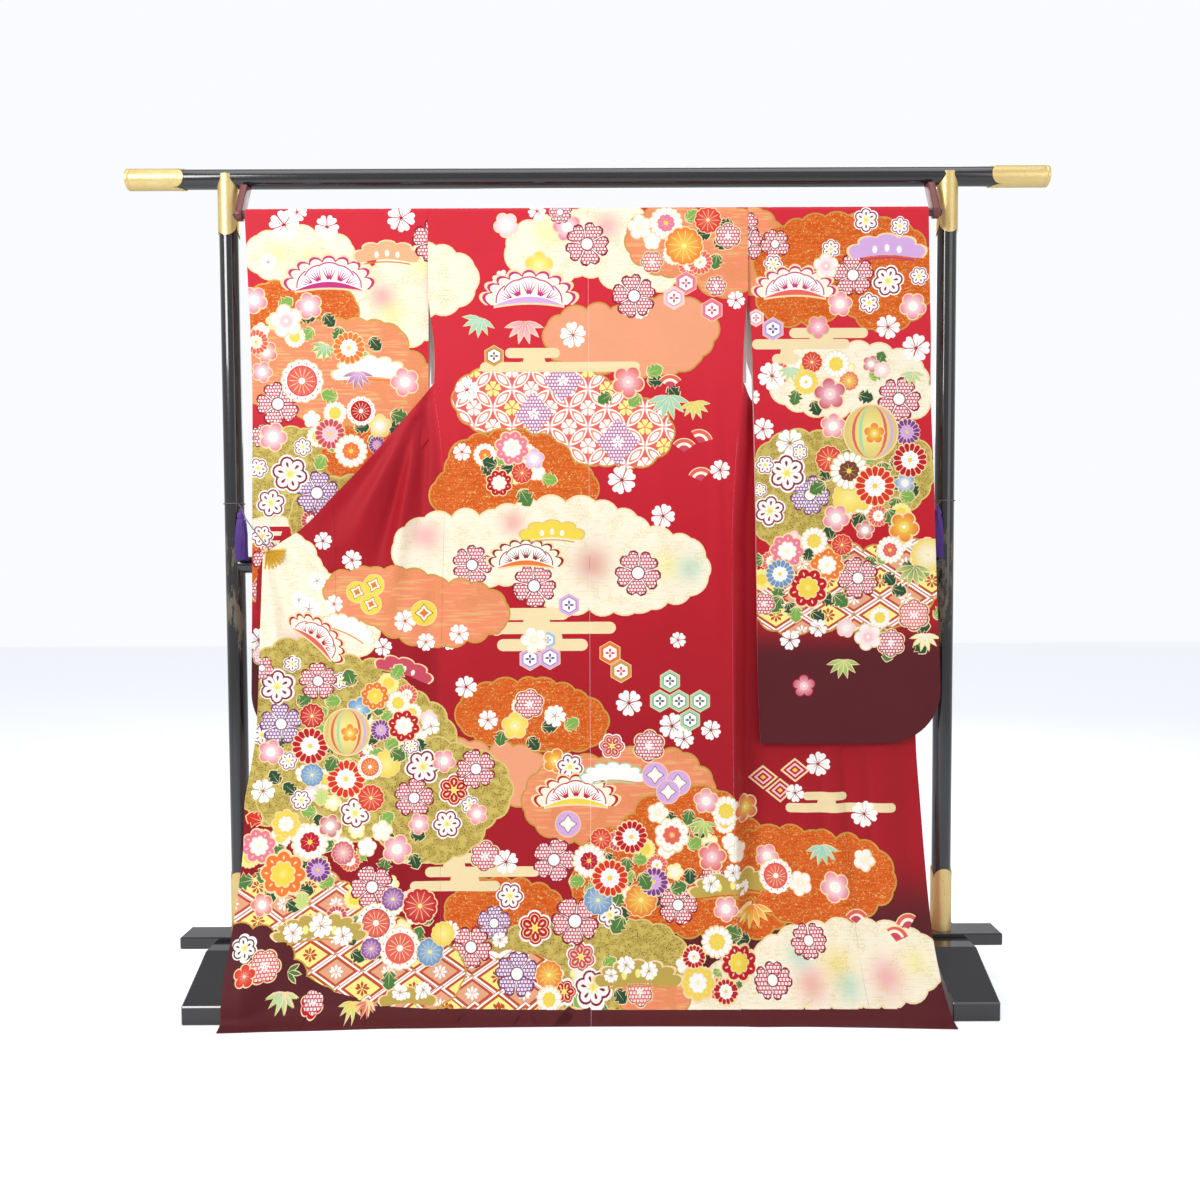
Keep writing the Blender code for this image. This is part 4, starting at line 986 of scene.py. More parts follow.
def split(polygons, loose):
    """Triangles of the first polygon, each with the ids of the polygons round it."""
    corners = [Vector(p) for polygon in polygons for p in polygon]
    starts = np.cumsum([0] + [len(p) for p in polygons])
    loops = [list(range(a, b)) for a, b in zip(starts, starts[1:])]
    corners += [Vector(p) for p in loose]
    points, _, triangles, _, _, holders = delaunay_2d_cdt(corners, [], loops, 1, 1e-6)
    kept = [k for k, ids in enumerate(holders) if 0 in ids]
    triangles = np.array([triangles[k] for k in kept])
    used, renumbered = np.unique(triangles, return_inverse=True)
    points = np.array([tuple(p) for p in points])[used]
    return points, renumbered.reshape(-1, 3), [holders[k] for k in kept]


def rim_of(triangles):
    """The edges that belong to one triangle only, chained head to tail."""
    edges = {}
    for a, b, c in triangles.tolist():
        for edge in ((a, b), (b, c), (c, a)):
            edges[edge] = True
    after = {a: b for a, b in edges if (b, a) not in edges}
    chain = [next(iter(after))]
    while after[chain[-1]] != chain[0]:
        chain.append(after[chain[-1]])
    return np.array(chain)


def dyed(drawing, points, triangles, holders):
    """Colour of each corner and fill of each triangle, from the topmost shape."""
    top = np.zeros(len(triangles), int)
    keep = {}
    for i, shape in enumerate(drawing.near, 1):
        keep[i] = None if shape[5] is None else {drawing.index.get(j) for j in shape[5]}
    for k, ids in enumerate(holders):
        for i in sorted(ids, reverse=True):
            if i == 0 or keep[i] is None or not keep[i].isdisjoint(ids):
                top[k] = i
                break
    colours = np.zeros((len(triangles), 3, 3))
    fills = np.zeros(len(triangles))
    for i in np.unique(top):
        mine = top == i
        at = points[triangles[mine]]
        if i == 0:
            colours[mine] = drawing.ground(at[..., 0], at[..., 1])
            continue
        _, (heart, rim), centre, reach, fill, _ = drawing.near[i - 1]
        share = np.clip(np.linalg.norm(at - centre, axis=-1) / reach, 0, 1)[..., None]
        colours[mine] = heart * (1 - share) + rim * share
        if fill == LEAFED:
            for place, r, tint in drawing.glows:
                near = 0.62 * np.exp(-((np.linalg.norm(at - place, axis=-1) / r) ** 2))[..., None]
                colours[mine] = colours[mine] * (1 - near) + tint * near
        fills[mine] = fill
    return colours, fills


def panel(name, outline, drawing, place, step, facing, wall, lining, crowded=HEM_ROWS + ROD_ROWS):
    """A closed shell: printed face, lining and rim; it stands for the CAD node of that name."""
    outline = np.array(outline)
    low, high = outline.min(0), outline.max(0)
    drawing.near, drawing.index = [], {}
    for k, shape in enumerate(drawing.shapes):
        if np.all(shape[0].max(0) > low) and np.all(shape[0].min(0) < high):
            drawing.near.append(shape)
            drawing.index[k] = len(drawing.near)
    net_points = far_from(net(low, high, step, crowded), outline, step * 0.3)
    drawn = [parted(s[0], FOLD_EDGE) if step < SILK_STEP else s[0] for s in drawing.near]
    flat, faces, holders = split([outline] + drawn, net_points)
    colours, fills = dyed(drawing, flat, faces, holders)
    rim = rim_of(faces)
    coarse = far_from(net(low, high, step * 0.85, crowded), flat[rim], step * 0.4)
    back_flat, back_faces, _ = split([flat[rim]], coarse)
    back_rim = rim_of(back_faces)
    start = np.argmin(np.linalg.norm(back_flat[back_rim] - flat[rim[0]], axis=1))
    back_rim = np.roll(back_rim, -start)
    outer, outer_normals = place(flat[:, 0], flat[:, 1])
    inner, inner_normals = place(back_flat[:, 0], back_flat[:, 1])
    inner = inner - inner_normals * wall
    count = len(outer)
    a, b = rim, np.roll(rim, -1)
    c, e = back_rim + count, np.roll(back_rim, -1) + count
    joined = np.concatenate([np.stack([a, e, b], 1), np.stack([a, c, e], 1)])
    all_faces = np.concatenate([faces, back_faces[:, ::-1] + count, joined]).astype(int)
    if facing > 0:
        all_faces = all_faces[:, ::-1]
        colours = colours[:, ::-1]
    mesh = bpy.data.meshes.new(name + "_cloth")
    mesh.from_pydata(np.concatenate([outer, inner]).tolist(), [], all_faces.tolist())
    size = len(all_faces)
    rim_start = len(faces) + len(back_faces)
    dye_values = np.ones((size, 3, 4), np.float32)
    dye_values[: len(faces), :, :3] = colours
    under = np.concatenate([flat, back_flat])
    at = under[all_faces[len(faces) :]]
    dye_values[len(faces) :, :, :3] = lining(at[..., 0], at[..., 1])
    edge = under[all_faces[rim_start:]].reshape(-1, 2)
    dye_values[rim_start:, :, :3] = drawing.ground(edge[:, 0], edge[:, 1]).reshape(-1, 3, 3)
    layer = mesh.color_attributes.new("dye", "FLOAT_COLOR", "CORNER")
    layer.data.foreach_set("color", dye_values.ravel())
    fill_values = np.zeros(size, np.float32)
    fill_values[: len(faces)] = fills
    mesh.attributes.new("fill", "FLOAT", "FACE").data.foreach_set("value", fill_values)
    mesh.uv_layers.new(name="flat").data.foreach_set("uv", under[all_faces].astype(np.float32).ravel())
    baked = (under - low) / (max(high - low) * BAKE_SPREAD) + BAKE_MARGIN
    baked[count:, 0] += 0.5
    mesh.uv_layers.new(name="OFBake").data.foreach_set("uv", baked[all_faces].astype(np.float32).ravel())
    slots = np.zeros(size, np.int32)
    slots[len(faces) :] = 1
    mesh.polygons.foreach_set("material_index", slots)
    normals = np.concatenate([outer_normals, -inner_normals])[all_faces]
    ends = np.concatenate([outer, inner])[all_faces[rim_start:]]
    across = np.cross(ends[:, 1] - ends[:, 0], ends[:, 2] - ends[:, 0])
    across /= np.maximum(np.linalg.norm(across, axis=1, keepdims=True), 1e-12)
    normals[rim_start:] = across[:, None, :]
    mesh.shade_smooth()
    mesh.normals_split_custom_set(normals.reshape(-1, 3).tolist())
    piece = bpy.data.objects.new(name + "_cloth", mesh)
    bpy.context.scene.collection.objects.link(piece)
    print(name, "shapes", len(drawing.near), "faces", len(faces), "+", size - len(faces))
    return piece


print("panel builder ready")

# %% [markdown]
# ## The silk
#
# The material keeps the drawn dyes and adds what is too fine to draw: the crepe of the weave, the
# tie-dyed dots, gold flecks, sprinkled specks, squares of leaf and combed lines. Each of these is a
# small node group that turns the flat position of the cloth, in metres, into a mask. The fill
# number of a face picks the mask. Gold is metal, so the same masks also drive the metal value.


# %% Node helpers
def join(tree, *pairs):
    """Links (output, input) pairs."""
    for source, target in pairs:
        tree.links.new(source, target)


def group(name, *titles, **numbers):
    """A node group that turns a vector and some numbers into masks with these titles."""
    made = bpy.data.node_groups.new(name, "ShaderNodeTree")
    made.interface.new_socket("Vector", in_out="INPUT", socket_type="NodeSocketVector")
    for title, value in numbers.items():
        socket = made.interface.new_socket(title, in_out="INPUT", socket_type="NodeSocketFloat")
        socket.default_value = value
    for title in titles:
        made.interface.new_socket(title, in_out="OUTPUT", socket_type="NodeSocketFloat")
    return made, made.nodes.new("NodeGroupInput").outputs, made.nodes.new("NodeGroupOutput").inputs


def maths(tree, operation, a, b=0.0, c=0.0, clamp=False):
    """A Math node; sockets are linked and numbers are set."""
    made = tree.nodes.new("ShaderNodeMath")
    made.operation = operation
    made.use_clamp = clamp
    for slot, value in zip(made.inputs, (a, b, c)):
        if isinstance(value, (int, float)):
            slot.default_value = value
        else:
            tree.links.new(value, slot)
    return made.outputs[0]


def between(tree, value, low, high):
    """0 below low, 1 above high, smooth in between."""
    made = tree.nodes.new("ShaderNodeMapRange")
    made.interpolation_type = "SMOOTHSTEP"
    made.inputs["From Min"].default_value = low
    made.inputs["From Max"].default_value = high
    tree.links.new(value, made.inputs["Value"])
    return made.outputs["Result"]


def mixed(tree, factor, a, b):
    """A colour mix; a and b are sockets or colours."""
    made = tree.nodes.new("ShaderNodeMix")
    made.data_type = "RGBA"
    for slot, value in ((made.inputs[0], factor), (made.inputs[6], a), (made.inputs[7], b)):
        if isinstance(value, (int, float)):
            slot.default_value = value
        elif isinstance(value, (tuple, list, np.ndarray)):
            slot.default_value = (*value[:3], 1)
        else:
            tree.links.new(value, slot)
    return made.outputs[2]


def noise(tree, vector, scale, detail=2.0, rough=0.5, stretch=None, distortion=0.0):
    if stretch:
        mapping = tree.nodes.new("ShaderNodeMapping")
        mapping.inputs["Scale"].default_value = stretch
        tree.links.new(vector, mapping.inputs["Vector"])
        vector = mapping.outputs["Vector"]
    made = node(tree, "ShaderNodeTexNoise", Scale=scale, Detail=detail, Roughness=rough,
                Distortion=distortion)
    tree.links.new(vector, made.inputs["Vector"])
    return made.outputs["Fac"]


def placed(tree, made, vector):
    """A node group used at this place."""
    used = tree.nodes.new("ShaderNodeGroup")
    used.node_tree = made
    tree.links.new(vector, used.inputs["Vector"])
    return used


def times(tree, a, b):
    return maths(tree, "MULTIPLY", a, b)


def raised(tree, shader, height, strength, distance):
    """Fine relief; visible shapes are built."""
    bump = node(tree, "ShaderNodeBump", Strength=strength, Distance=distance)
    join(tree, (height, bump.inputs["Height"]), (bump.outputs["Normal"], shader.inputs["Normal"]))


print("node helpers ready")

# %% Fine patterns as node groups
weave, enter, leave = group("crepe weave", "Height", "Tone")
crimp = noise(weave, enter["Vector"], 900, 2, 0.6, (1, 2.2, 1))
slub = noise(weave, enter["Vector"], 160, 3, 0.6, (0.35, 2.5, 1))
cloudy = noise(weave, enter["Vector"], 9, 2)
join(weave, (maths(weave, "MULTIPLY_ADD", slub, 0.5, crimp), leave["Height"]))
tone = maths(weave, "MULTIPLY_ADD", slub, 0.5, times(weave, cloudy, 0.5))
join(weave, (tone, leave["Tone"]))

dots, enter, leave = group("tie-dyed dots", "Dot", "Pip", Pitch=0.0066)
apart = dots.nodes.new("ShaderNodeSeparateXYZ")
join(dots, (enter["Vector"], apart.inputs[0]))
row = maths(dots, "DIVIDE", apart.outputs["Y"], enter["Pitch"])
shift = times(dots, maths(dots, "FLOOR", row), 0.5)
column = maths(dots, "ADD", maths(dots, "DIVIDE", apart.outputs["X"], enter["Pitch"]), shift)
off_x = maths(dots, "ABSOLUTE", maths(dots, "SUBTRACT", maths(dots, "FRACT", column), 0.5))
off_y = maths(dots, "ABSOLUTE", maths(dots, "SUBTRACT", maths(dots, "FRACT", row), 0.5))
far = maths(dots, "MAXIMUM", off_x, off_y)
join(dots, (between(dots, times(dots, far, -1.0), -0.37, -0.29), leave["Dot"]))
join(dots, (between(dots, times(dots, far, -1.0), -0.13, -0.07), leave["Pip"]))

flecks, enter, leave = group("gold flecks", "Gold", "Shade")
curl = noise(flecks, enter["Vector"], 205, 1.5, 0.5, (1, 1.5, 1), 1.4)
grains = noise(flecks, enter["Vector"], 520, 1, 0.5)
comb = noise(flecks, enter["Vector"], 60, 2, 0.6, (0.5, 4.0, 1), 0.6)
gold_mask = maths(flecks, "MAXIMUM", between(flecks, curl, 0.60, 0.66), between(flecks, grains, 0.68, 0.74))
join(flecks, (gold_mask, leave["Gold"]), (between(flecks, comb, 0.42, 0.6), leave["Shade"]))

specks, enter, leave = group("sprinkled specks", "Dark", "Light")
grit = noise(specks, enter["Vector"], 340, 3, 0.72)
patch = noise(specks, enter["Vector"], 70, 3)
dark = times(specks, between(specks, grit, 0.53, 0.59), between(specks, patch, 0.36, 0.52))
join(specks, (dark, leave["Dark"]), (between(specks, patch, 0.62, 0.40), leave["Light"]))

leafing, enter, leave = group("squares of leaf", "Leaf", "Thread")
bricks = node(leafing, "ShaderNodeTexBrick", Scale=62.0, Mortar_Size=0.02, Bias=0.0, Brick_Width=0.5,
              Row_Height=0.5)
bricks.inputs["Color1"].default_value = (0, 0, 0, 1)
bricks.inputs["Color2"].default_value = (1, 1, 1, 1)
join(leafing, (enter["Vector"], bricks.inputs["Vector"]))
patchy = between(leafing, noise(leafing, enter["Vector"], 30, 2), 0.50, 0.62)
crumbs = between(leafing, noise(leafing, enter["Vector"], 300, 2, 0.6), 0.48, 0.58)
leaf_mask = times(leafing, patchy, crumbs)
threads = between(leafing, noise(leafing, enter["Vector"], 150, 2, 0.5, (0.25, 2.6, 1)), 0.58, 0.64)
join(leafing, (leaf_mask, leave["Leaf"]),
     (maths(leafing, "MAXIMUM", threads, times(leafing, bricks.outputs["Fac"], 0.6)), leave["Thread"]))

combed, enter, leave = group("combed lines", "Line", "Gold")
lines = between(combed, noise(combed, enter["Vector"], 70, 1.5, 0.5, (0.22, 4.2, 1), 0.4), 0.52, 0.60)
field = between(combed, noise(combed, enter["Vector"], 22, 1), 0.52, 0.60)
net_dots = between(combed, noise(combed, enter["Vector"], 420, 0.5), 0.52, 0.60)
join(combed, (times(combed, lines, maths(combed, "SUBTRACT", 1.0, field)), leave["Line"]))
join(combed, (times(combed, net_dots, field), leave["Gold"]))
print("node groups:", len(bpy.data.node_groups))

# %% Printed silk and lining silk
def silk_start(name, colour):
    """A silk material, the dye of its faces, their flat place and the weave there."""
    mat, tree, shader = new_material(name, dye(colour), 0.5)
    dyes_in = tree.nodes.new("ShaderNodeAttribute")
    dyes_in.attribute_name = "dye"
    flat_in = tree.nodes.new("ShaderNodeUVMap")
    flat_in.uv_map = "flat"
    flat = flat_in.outputs["UV"]
    return mat, tree, shader, dyes_in.outputs["Color"], flat, placed(tree, weave, flat).outputs


def silk_end(tree, shader, crepe, colour, tone, rough, bump):
    """The weave's light and dark, its gloss and its relief; tone and rough are (gain, start)."""
    shaded = tree.nodes.new("ShaderNodeHueSaturation")
    join(tree, (colour, shaded.inputs["Color"]), (shaded.outputs["Color"], shader.inputs["Base Color"]))
    join(tree, (maths(tree, "MULTIPLY_ADD", crepe["Tone"], *tone), shaded.inputs["Value"]))
    join(tree, (maths(tree, "MULTIPLY_ADD", crepe["Tone"], *rough), shader.inputs["Roughness"]))
    raised(tree, shader, crepe["Height"], *bump)


def when(fill, mask):
    """The mask, on faces with this fill only."""
    return times(tree, mask, maths(tree, "COMPARE", fill_in.outputs["Fac"], float(fill), 0.4))


silk, tree, shader, dyed_colour, flat_out, crepe = silk_start("printed silk", "red")
fill_in = tree.nodes.new("ShaderNodeAttribute")
fill_in.attribute_name = "fill"
tie, gold, sown, leafed, combing = (
    placed(tree, made, flat_out).outputs for made in (dots, flecks, specks, leafing, combed)
)
INK = (0.10, 0.055, 0.015)
colour = mixed(tree, when(KANOKO, tie["Dot"]), dyed_colour, dye("white"))
colour = mixed(tree, times(tree, when(KANOKO, tie["Pip"]), 0.8), colour, dyed_colour)
for fill, mask, cover, tint in (
    (FLECKED, gold["Shade"], 0.35, dye("tangerine")), (FLECKED, gold["Gold"], 0.85, dye("sand")),
    (SPECKLED, sown["Light"], 0.24, dye("lemon")), (SPECKLED, sown["Dark"], 0.85, INK),
    (LEAFED, leafed["Leaf"], 0.45, dye("sand")), (LEAFED, leafed["Thread"], 0.36, dye("sand")),
    (LINED, combing["Line"], 0.55, dye("sand")), (LINED, combing["Gold"], 0.7, dye("gold")),
):
    colour = mixed(tree, when(fill, times(tree, mask, cover)), colour, tint)
silk_end(tree, shader, crepe, colour, (0.22, 0.89), (0.25, 0.42), (0.35, 0.0004))
metal = maths(tree, "ADD", when(GILT, crepe["Tone"]), when(FLECKED, times(tree, gold["Gold"], 0.5)))
metal = maths(tree, "ADD", metal, when(LINED, times(tree, combing["Gold"], 0.5)), clamp=True)
join(tree, (times(tree, metal, 0.6), shader.inputs["Metallic"]))
shader.inputs["Sheen Weight"].default_value = 0.03
shader.inputs["Sheen Roughness"].default_value = 0.4
shader.inputs["Specular IOR Level"].default_value = 0.16

lining_silk, tree, shader, dyed_colour, _, crepe = silk_start("lining silk", "cream")
silk_end(tree, shader, crepe, dyed_colour, (0.12, 0.94), (0.2, 0.36), (0.2, 0.0003))
print("silk nodes:", len(silk.node_tree.nodes))

# %% [markdown]
# ## Outlines of the panels
#
# A kimono is cut in straight lengths, so its panels are simple: two for the back, two for the
# fronts with their narrow overlaps, two layers for each sleeve, the upper fronts behind the rod,
# and the collar. Each outline is walked round once, with a point every few millimetres.


# %% Outlines
def heights(low, high, step=0.007):
    """Rows from low to high, closer where the cloth bends."""
    rows = np.concatenate([np.arange(low, high, step), HEM_ROWS, ROD_ROWS, (low, high)])
    return np.unique(rows[(rows >= low) & (rows <= high)].round(6))


def loop(*runs):
    """Runs of points end to end, without doubles, anticlockwise."""
    points = [tuple(p) for run in runs for p in run]
    kept = [p for k, p in enumerate(points) if math.dist(p, points[k - 1]) > 2e-5]
    flat = np.array(kept)
    return flat[::-1] if signed_area(flat) < 0 else flat


def level(x0, x1, z, step=0.007):
    count = max(2, round(abs(x1 - x0) / step) + 1)
    return [(x, z) for x in np.linspace(x0, x1, count)]


TOP = FOLD_TOP - SEAM_GAP / 2
EDGE_X = ARMHOLE_X - SEAM_GAP / 2


def back_outline(side):
    rows = heights(HEM_Z, TOP)
    edge = [(side * (EDGE_X if z >= SLIT_TOP_Z else float(side_x(side, z))), z) for z in rows]
    middle = side * SEAM_GAP / 2
    down = [(middle, z) for z in rows[::-1]]
    return loop(edge, level(side * EDGE_X, middle, TOP), down, level(middle, edge[0][0], HEM_Z))


def along(points, share):
    """The points these shares of the way along a chain."""
    runs = [math.dist(a, b) for a, b in zip(points, points[1:])]
    rows = [(start, *p) for start, p in zip(np.cumsum([0] + runs), points)]
    at = np.asarray(share) * rows[-1][0]
    return np.stack([curve(rows, at, 1), curve(rows, at, 2)], -1)


def top_edge(side):
    """The upper edge of a drawn-out front, from the slit to the clip."""
    return ((side * (float(side_x(side, SLIT_Z)) + SEAM_GAP), SLIT_Z),) + TOP_EDGES[side]


def front_points(side, u, w):
    """(x, z) on a drawn-out front: u from the seam to the free edge, w from the top to the hem."""
    u, w = np.broadcast_arrays(np.asarray(u, float), np.asarray(w, float))
    top, free = top_edge(side), FREE_EDGES[side]
    tip = top[-1][1]

    def seam_edge(w):
        z = SLIT_Z + (HEM_Z - SLIT_Z) * w
        return np.stack([side * (side_x(side, z) + SEAM_GAP), z], -1)

    def free_edge(w):
        z = tip + (HEM_Z - tip) * w
        return np.stack([side * curve(free, z), z], -1)

    hem = seam_edge(np.float64(1))[0], free_edge(np.float64(1))[0]
    low = np.stack([hem[0] + (hem[1] - hem[0]) * u, np.full(u.shape, HEM_Z)], -1)
    ub, wb = u[..., None], w[..., None]
    sides = (1 - ub) * seam_edge(w) + ub * free_edge(w)
    ends = (1 - wb) * along(top, u) + wb * low
    ties = (1 - ub) * ((1 - wb) * seam_edge(np.float64(0)) + wb * seam_edge(np.float64(1)))
    return sides + ends - ties - ub * ((1 - wb) * free_edge(np.float64(0)) + wb * free_edge(np.float64(1)))


def front_outline(side, u0, u1):
    w = 1 - (heights(HEM_Z, SLIT_Z) - HEM_Z) / (SLIT_Z - HEM_Z)
    if u0 > 0:
        w = np.unique(np.concatenate([np.linspace(0, 0.9, 130), 1 - np.geomspace(0.0015, 0.1, 14),
                                      [0, 1]]))[::-1]
    across = np.linspace(u0, u1, 46)
    up = front_points(side, u0, w)
    down = front_points(side, u1, np.unique(np.concatenate([w, [0, 1]])))
    return loop(up, front_points(side, across, 0.0), down, front_points(side, across[::-1], 1.0))


def sleeve_outline(side, facing):
    inner_column, outer_column = (1, 2) if side < 0 else (3, 4)
    centre_z = SLEEVE_BOTTOM_Z + SLEEVE_CORNER_R
    arc = np.linspace(math.pi / 2, 0, 15)
    low = [(z, SLEEVE_CORNER_R * (1 - math.cos(a))) for a in arc
           for z in (centre_z - SLEEVE_CORNER_R * math.sin(a),)]
    outer = [(side * (float(curve(SLEEVE_EDGES, z, outer_column)) - cut), z) for z, cut in low]
    outer += [(side * float(curve(SLEEVE_EDGES, z, outer_column)), z) for z in heights(centre_z + 0.006, TOP)]
    inner = []
    for z in heights(SLEEVE_BOTTOM_Z, TOP)[::-1]:
        x = float(curve(SLEEVE_EDGES, z, inner_column))
        if facing > 0:
            x += (SLEEVE_EDGES[-1][inner_column] - x) * float(ramp((z - SLIT_Z - 0.01) / 0.04))
        inner.append((side * x, z))
    bottom = level(inner[-1][0], outer[0][0], SLEEVE_BOTTOM_Z)
    return loop(outer, level(outer[-1][0], inner[0][0], TOP), inner, bottom)


def collar_line(side, z):
    """The inner edge of an upper front, which slants from the neck to the slit."""
    share = (ROD_Z - z) / (ROD_Z - UPPER_END_Z)
    return side * (NECK_X + (float(side_x(side, SLIT_Z)) - 0.012 - NECK_X) * share)


def upper_outline(side):
    rows = heights(UPPER_END_Z, TOP)
    edge = [(side * EDGE_X, z) for z in rows]
    inner = [(side * NECK_X if z >= ROD_Z else collar_line(side, z), z) for z in rows[::-1]]
    low = level(inner[-1][0], edge[0][0], UPPER_END_Z)
    return loop(edge, level(edge[-1][0], side * NECK_X, TOP), inner, low)


print("outline points of half a back:", len(back_outline(-1)))

# %% [markdown]
# ## Grounds, linings and charts
#
# The red is not one red. It is brighter at the shoulders, deeper below, and falls to maroon at the
# foot of the sleeves and along the hem. The lining is cream, and turns to red where it shows at the
# hem. The print is charted below place by place: clouds first, then the pines and bamboo,
# then the flowers over them.


# %% Grounds and linings
def fade(z, rows):
    """A dye that changes with height: rows of (height, name), with linear steps."""
    levels = np.array([row[0] for row in rows])
    dyes = np.array([dye(row[1]) for row in rows])
    return np.stack([np.interp(z, levels, dyes[:, k]) for k in range(3)], -1)


def body_ground(x, z):
    """Red that deepens downwards, maroon at the hem, and a painted shade on the drawn-out front, which turns
    away from the light.
    """
    tones = fade(z, ((0.0, "deepred"), (0.5, "deepred"), (0.9, "red"), (1.3, "brightred")))
    sunk = np.maximum(ramp((0.30 - z) / 0.15) * ramp((x - 0.02) / 0.2), ramp((0.085 - z) / 0.03))[..., None]
    # painted shade: the drawn-out left front is darkened by 22 per cent because it turns away from the light
    painted_shade_on_drawn_out = ramp((-x - side_x(-1, z) - 0.002) / 0.01)[..., None]
    return (tones * (1 - sunk) + dye("maroon") * sunk) * (1 - 0.22 * painted_shade_on_drawn_out)


def sleeve_ground(x, z):
    tones = fade(z, ((0.5, "red"), (0.9, "red"), (1.3, "brightred")))
    sunk = ramp((0.78 - z) / 0.11)[..., None]
    return tones * (1 - sunk) + dye("maroon") * sunk


def inner_silk(x, z):
    return fade(z, ((0.0, "scarlet"), (0.10, "coral"), (0.30, "blush"), (0.55, "shell"), (1.5, "shell")))


def sleeve_lining(x, z):
    return fade(z, ((0.5, "blush"), (0.62, "shell"), (1.5, "shell")))


def body_y(x, z):
    """The whole printed front seen from the camera: the back panels and the drawn-out fronts."""
    inner = np.where(x < -side_x(-1, z), left_y(x, z), back_y(x, z))
    return np.where(x > side_x(1, z), right_y(x, z), inner)


body = Drawing(body_y, body_ground)
left_sleeve = Drawing(sleeve_y(-1, -1), sleeve_ground)
right_sleeve = Drawing(sleeve_y(1, -1), sleeve_ground)
print("drawings:", 3)


# %% Charting helper
UPRIGHT = (pine, pinefan, bamboo, fan, hexagon, coin, ball, leaf)


def draw(d, figure, *rows):
    """The same figure at many places: (x, y, size, turn if it matters, dyes)."""
    for row in rows:
        x, y, size, *rest = row
        turn = rest.pop(0) if rest and not isinstance(rest[0], str) else None
        if turn is None:
            turn = 0 if figure in UPRIGHT else (7 * x + 11 * y) % 72
        figure(d, x, y, size, turn, *rest)


def clouds(d, kind, *sets):
    """Clouds of one kind: each is (seed, lobe size, ovals ...)."""
    made = []
    for seed, size, *parts in sets:
        made.append(cloud(d, parts, seed=seed, size=size, **kind))
    return made


def foliage(d, *ovals):
    """Small leaves and buds strewn under a bunch of flowers: (x, y, half width, half height)."""
    for x, y, w, h in ovals:
        count = round(w * h / 112)
        for k in range(count):
            a, share = 2.4 * k + x, math.sqrt((k + 0.5) / count)
            u, v = x + w * share * math.cos(a), y + h * share * math.sin(a)
            if k % 5 == 2:
                blossom(d, u, v, 9, 31 * k, ("blush", "white", "lemon")[k % 3])
            elif k % 5 == 4:
                mum(d, u, v, 11, 19 * k, ("white", "coral", "lemon", "rose")[k % 4],
                    ("yellow", "white")[k % 2])
            else:
                leaf(d, u, v, 14, 137 * k % 360, ("pine", "leaf", "green", "pine")[k % 4])


ORANGE_CLOUD = {"colour": "orange", "edge": "gold", "fill": FLECKED}
OLIVE_CLOUD = {"colour": "olive", "edge": "sand", "fill": SPECKLED}
CREAM_CLOUD = {"colour": "ivory", "edge": "straw", "fill": LEAFED}
SALMON_CLOUD = {"colour": "salmon", "edge": "gold", "fill": LINED}
PEACH_CLOUD = {"colour": "apricot", "edge": "gold", "fill": PLAIN}
WOVEN_CLOUD = {"colour": "white", "edge": "gold", "fill": PLAIN}


def woven(d, seed, size, box, *ovals):
    """A white cloud filled with the diamond lattice."""
    own, = clouds(d, WOVEN_CLOUD, (seed, size, *ovals))
    lattice(d, own, box)


def glows(d, *spots):
    """Breaths of colour: (x, y, radius, dye)."""
    for spot in spots:
        d.glow(*spot)


print("kinds of cloud:", 6)

# %% Left sleeve
d = left_sleeve
clouds(d, CREAM_CLOUD, (3, 13, (300, 255, 52, 26), (335, 282, 40, 22)),
       (5, 14, (425, 285, 56, 38), (400, 318, 44, 26)))
clouds(d, ORANGE_CLOUD, (7, 13, (300, 312, 56, 32), (268, 335, 30, 26)))
clouds(d, SALMON_CLOUD, (9, 14, (300, 372, 62, 44), (375, 390, 62, 46), (345, 345, 60, 24)))
clouds(d, OLIVE_CLOUD, (11, 14, (292, 480, 52, 50), (275, 520, 34, 30)))
clouds(d, ORANGE_CLOUD, (13, 12, (372, 455, 48, 30)))
clouds(d, CREAM_CLOUD, (15, 12, (285, 535, 40, 16)))
mist(d, ((256, 306, 529, 2.4), (270, 322, 538, 2.4), (256, 300, 547, 2.4)), "red")
clouds(d, ORANGE_CLOUD, (17, 11, (262, 572, 20, 28)))
foliage(d, (300, 322, 46, 20), (345, 430, 42, 24), (350, 348, 36, 14))
clouds(d, OLIVE_CLOUD, (19, 14, (350, 520, 58, 42), (395, 500, 36, 30)))
woven(d, 20, 14, (280, 545, 430, 630), (345, 592, 62, 34), (392, 580, 36, 30))
foliage(d, (360, 535, 52, 44))
draw(d, kanoko, (392, 570, 20), (330, 508, 18, "mauve", "plum"))
draw(d, mum, (362, 503, 18, "red", "white"), (385, 528, 17, "white", "yellow"),
     (352, 545, 18, "coral", "cream"))
draw(d, dahlia, (328, 560, 18, "pink", "white"), (400, 495, 15, "tangerine", "yellow"))
draw(d, daisy, (378, 556, 13, "blue", "sky"), (318, 585, 12, "scarlet", "coral"))
draw(d, rosette, (372, 606, 14, "coral"), (340, 626, 12))
draw(d, bamboo, (352, 655, 20, 0, "lime", "sand", "leaf"))
draw(d, cherry, (390, 640, 9), (315, 640, 9), (400, 690, 8))
draw(d, cherry, (284, 225, 15), (327, 227, 12), (401, 218, 14), (297, 212, 10), (268, 262, 9), (259, 640, 12))
draw(d, pinefan, (329, 290, 40, 0, "magenta", "magenta"))
draw(d, pine, (387, 262, 29, 0, "peach"), (370, 380, 33, 0, "white", 7))
draw(d, kanoko, (434, 241, 22), (278, 404, 22), (317, 493, 22, "mauve", "plum"), (262, 436, 12),
     (270, 560, 18))
draw(d, blossom, (460, 227, 13, "blush"), (254, 300, 14), (286, 321, 17, "white", "blush"), (309, 306, 14),
     (405, 382, 15))
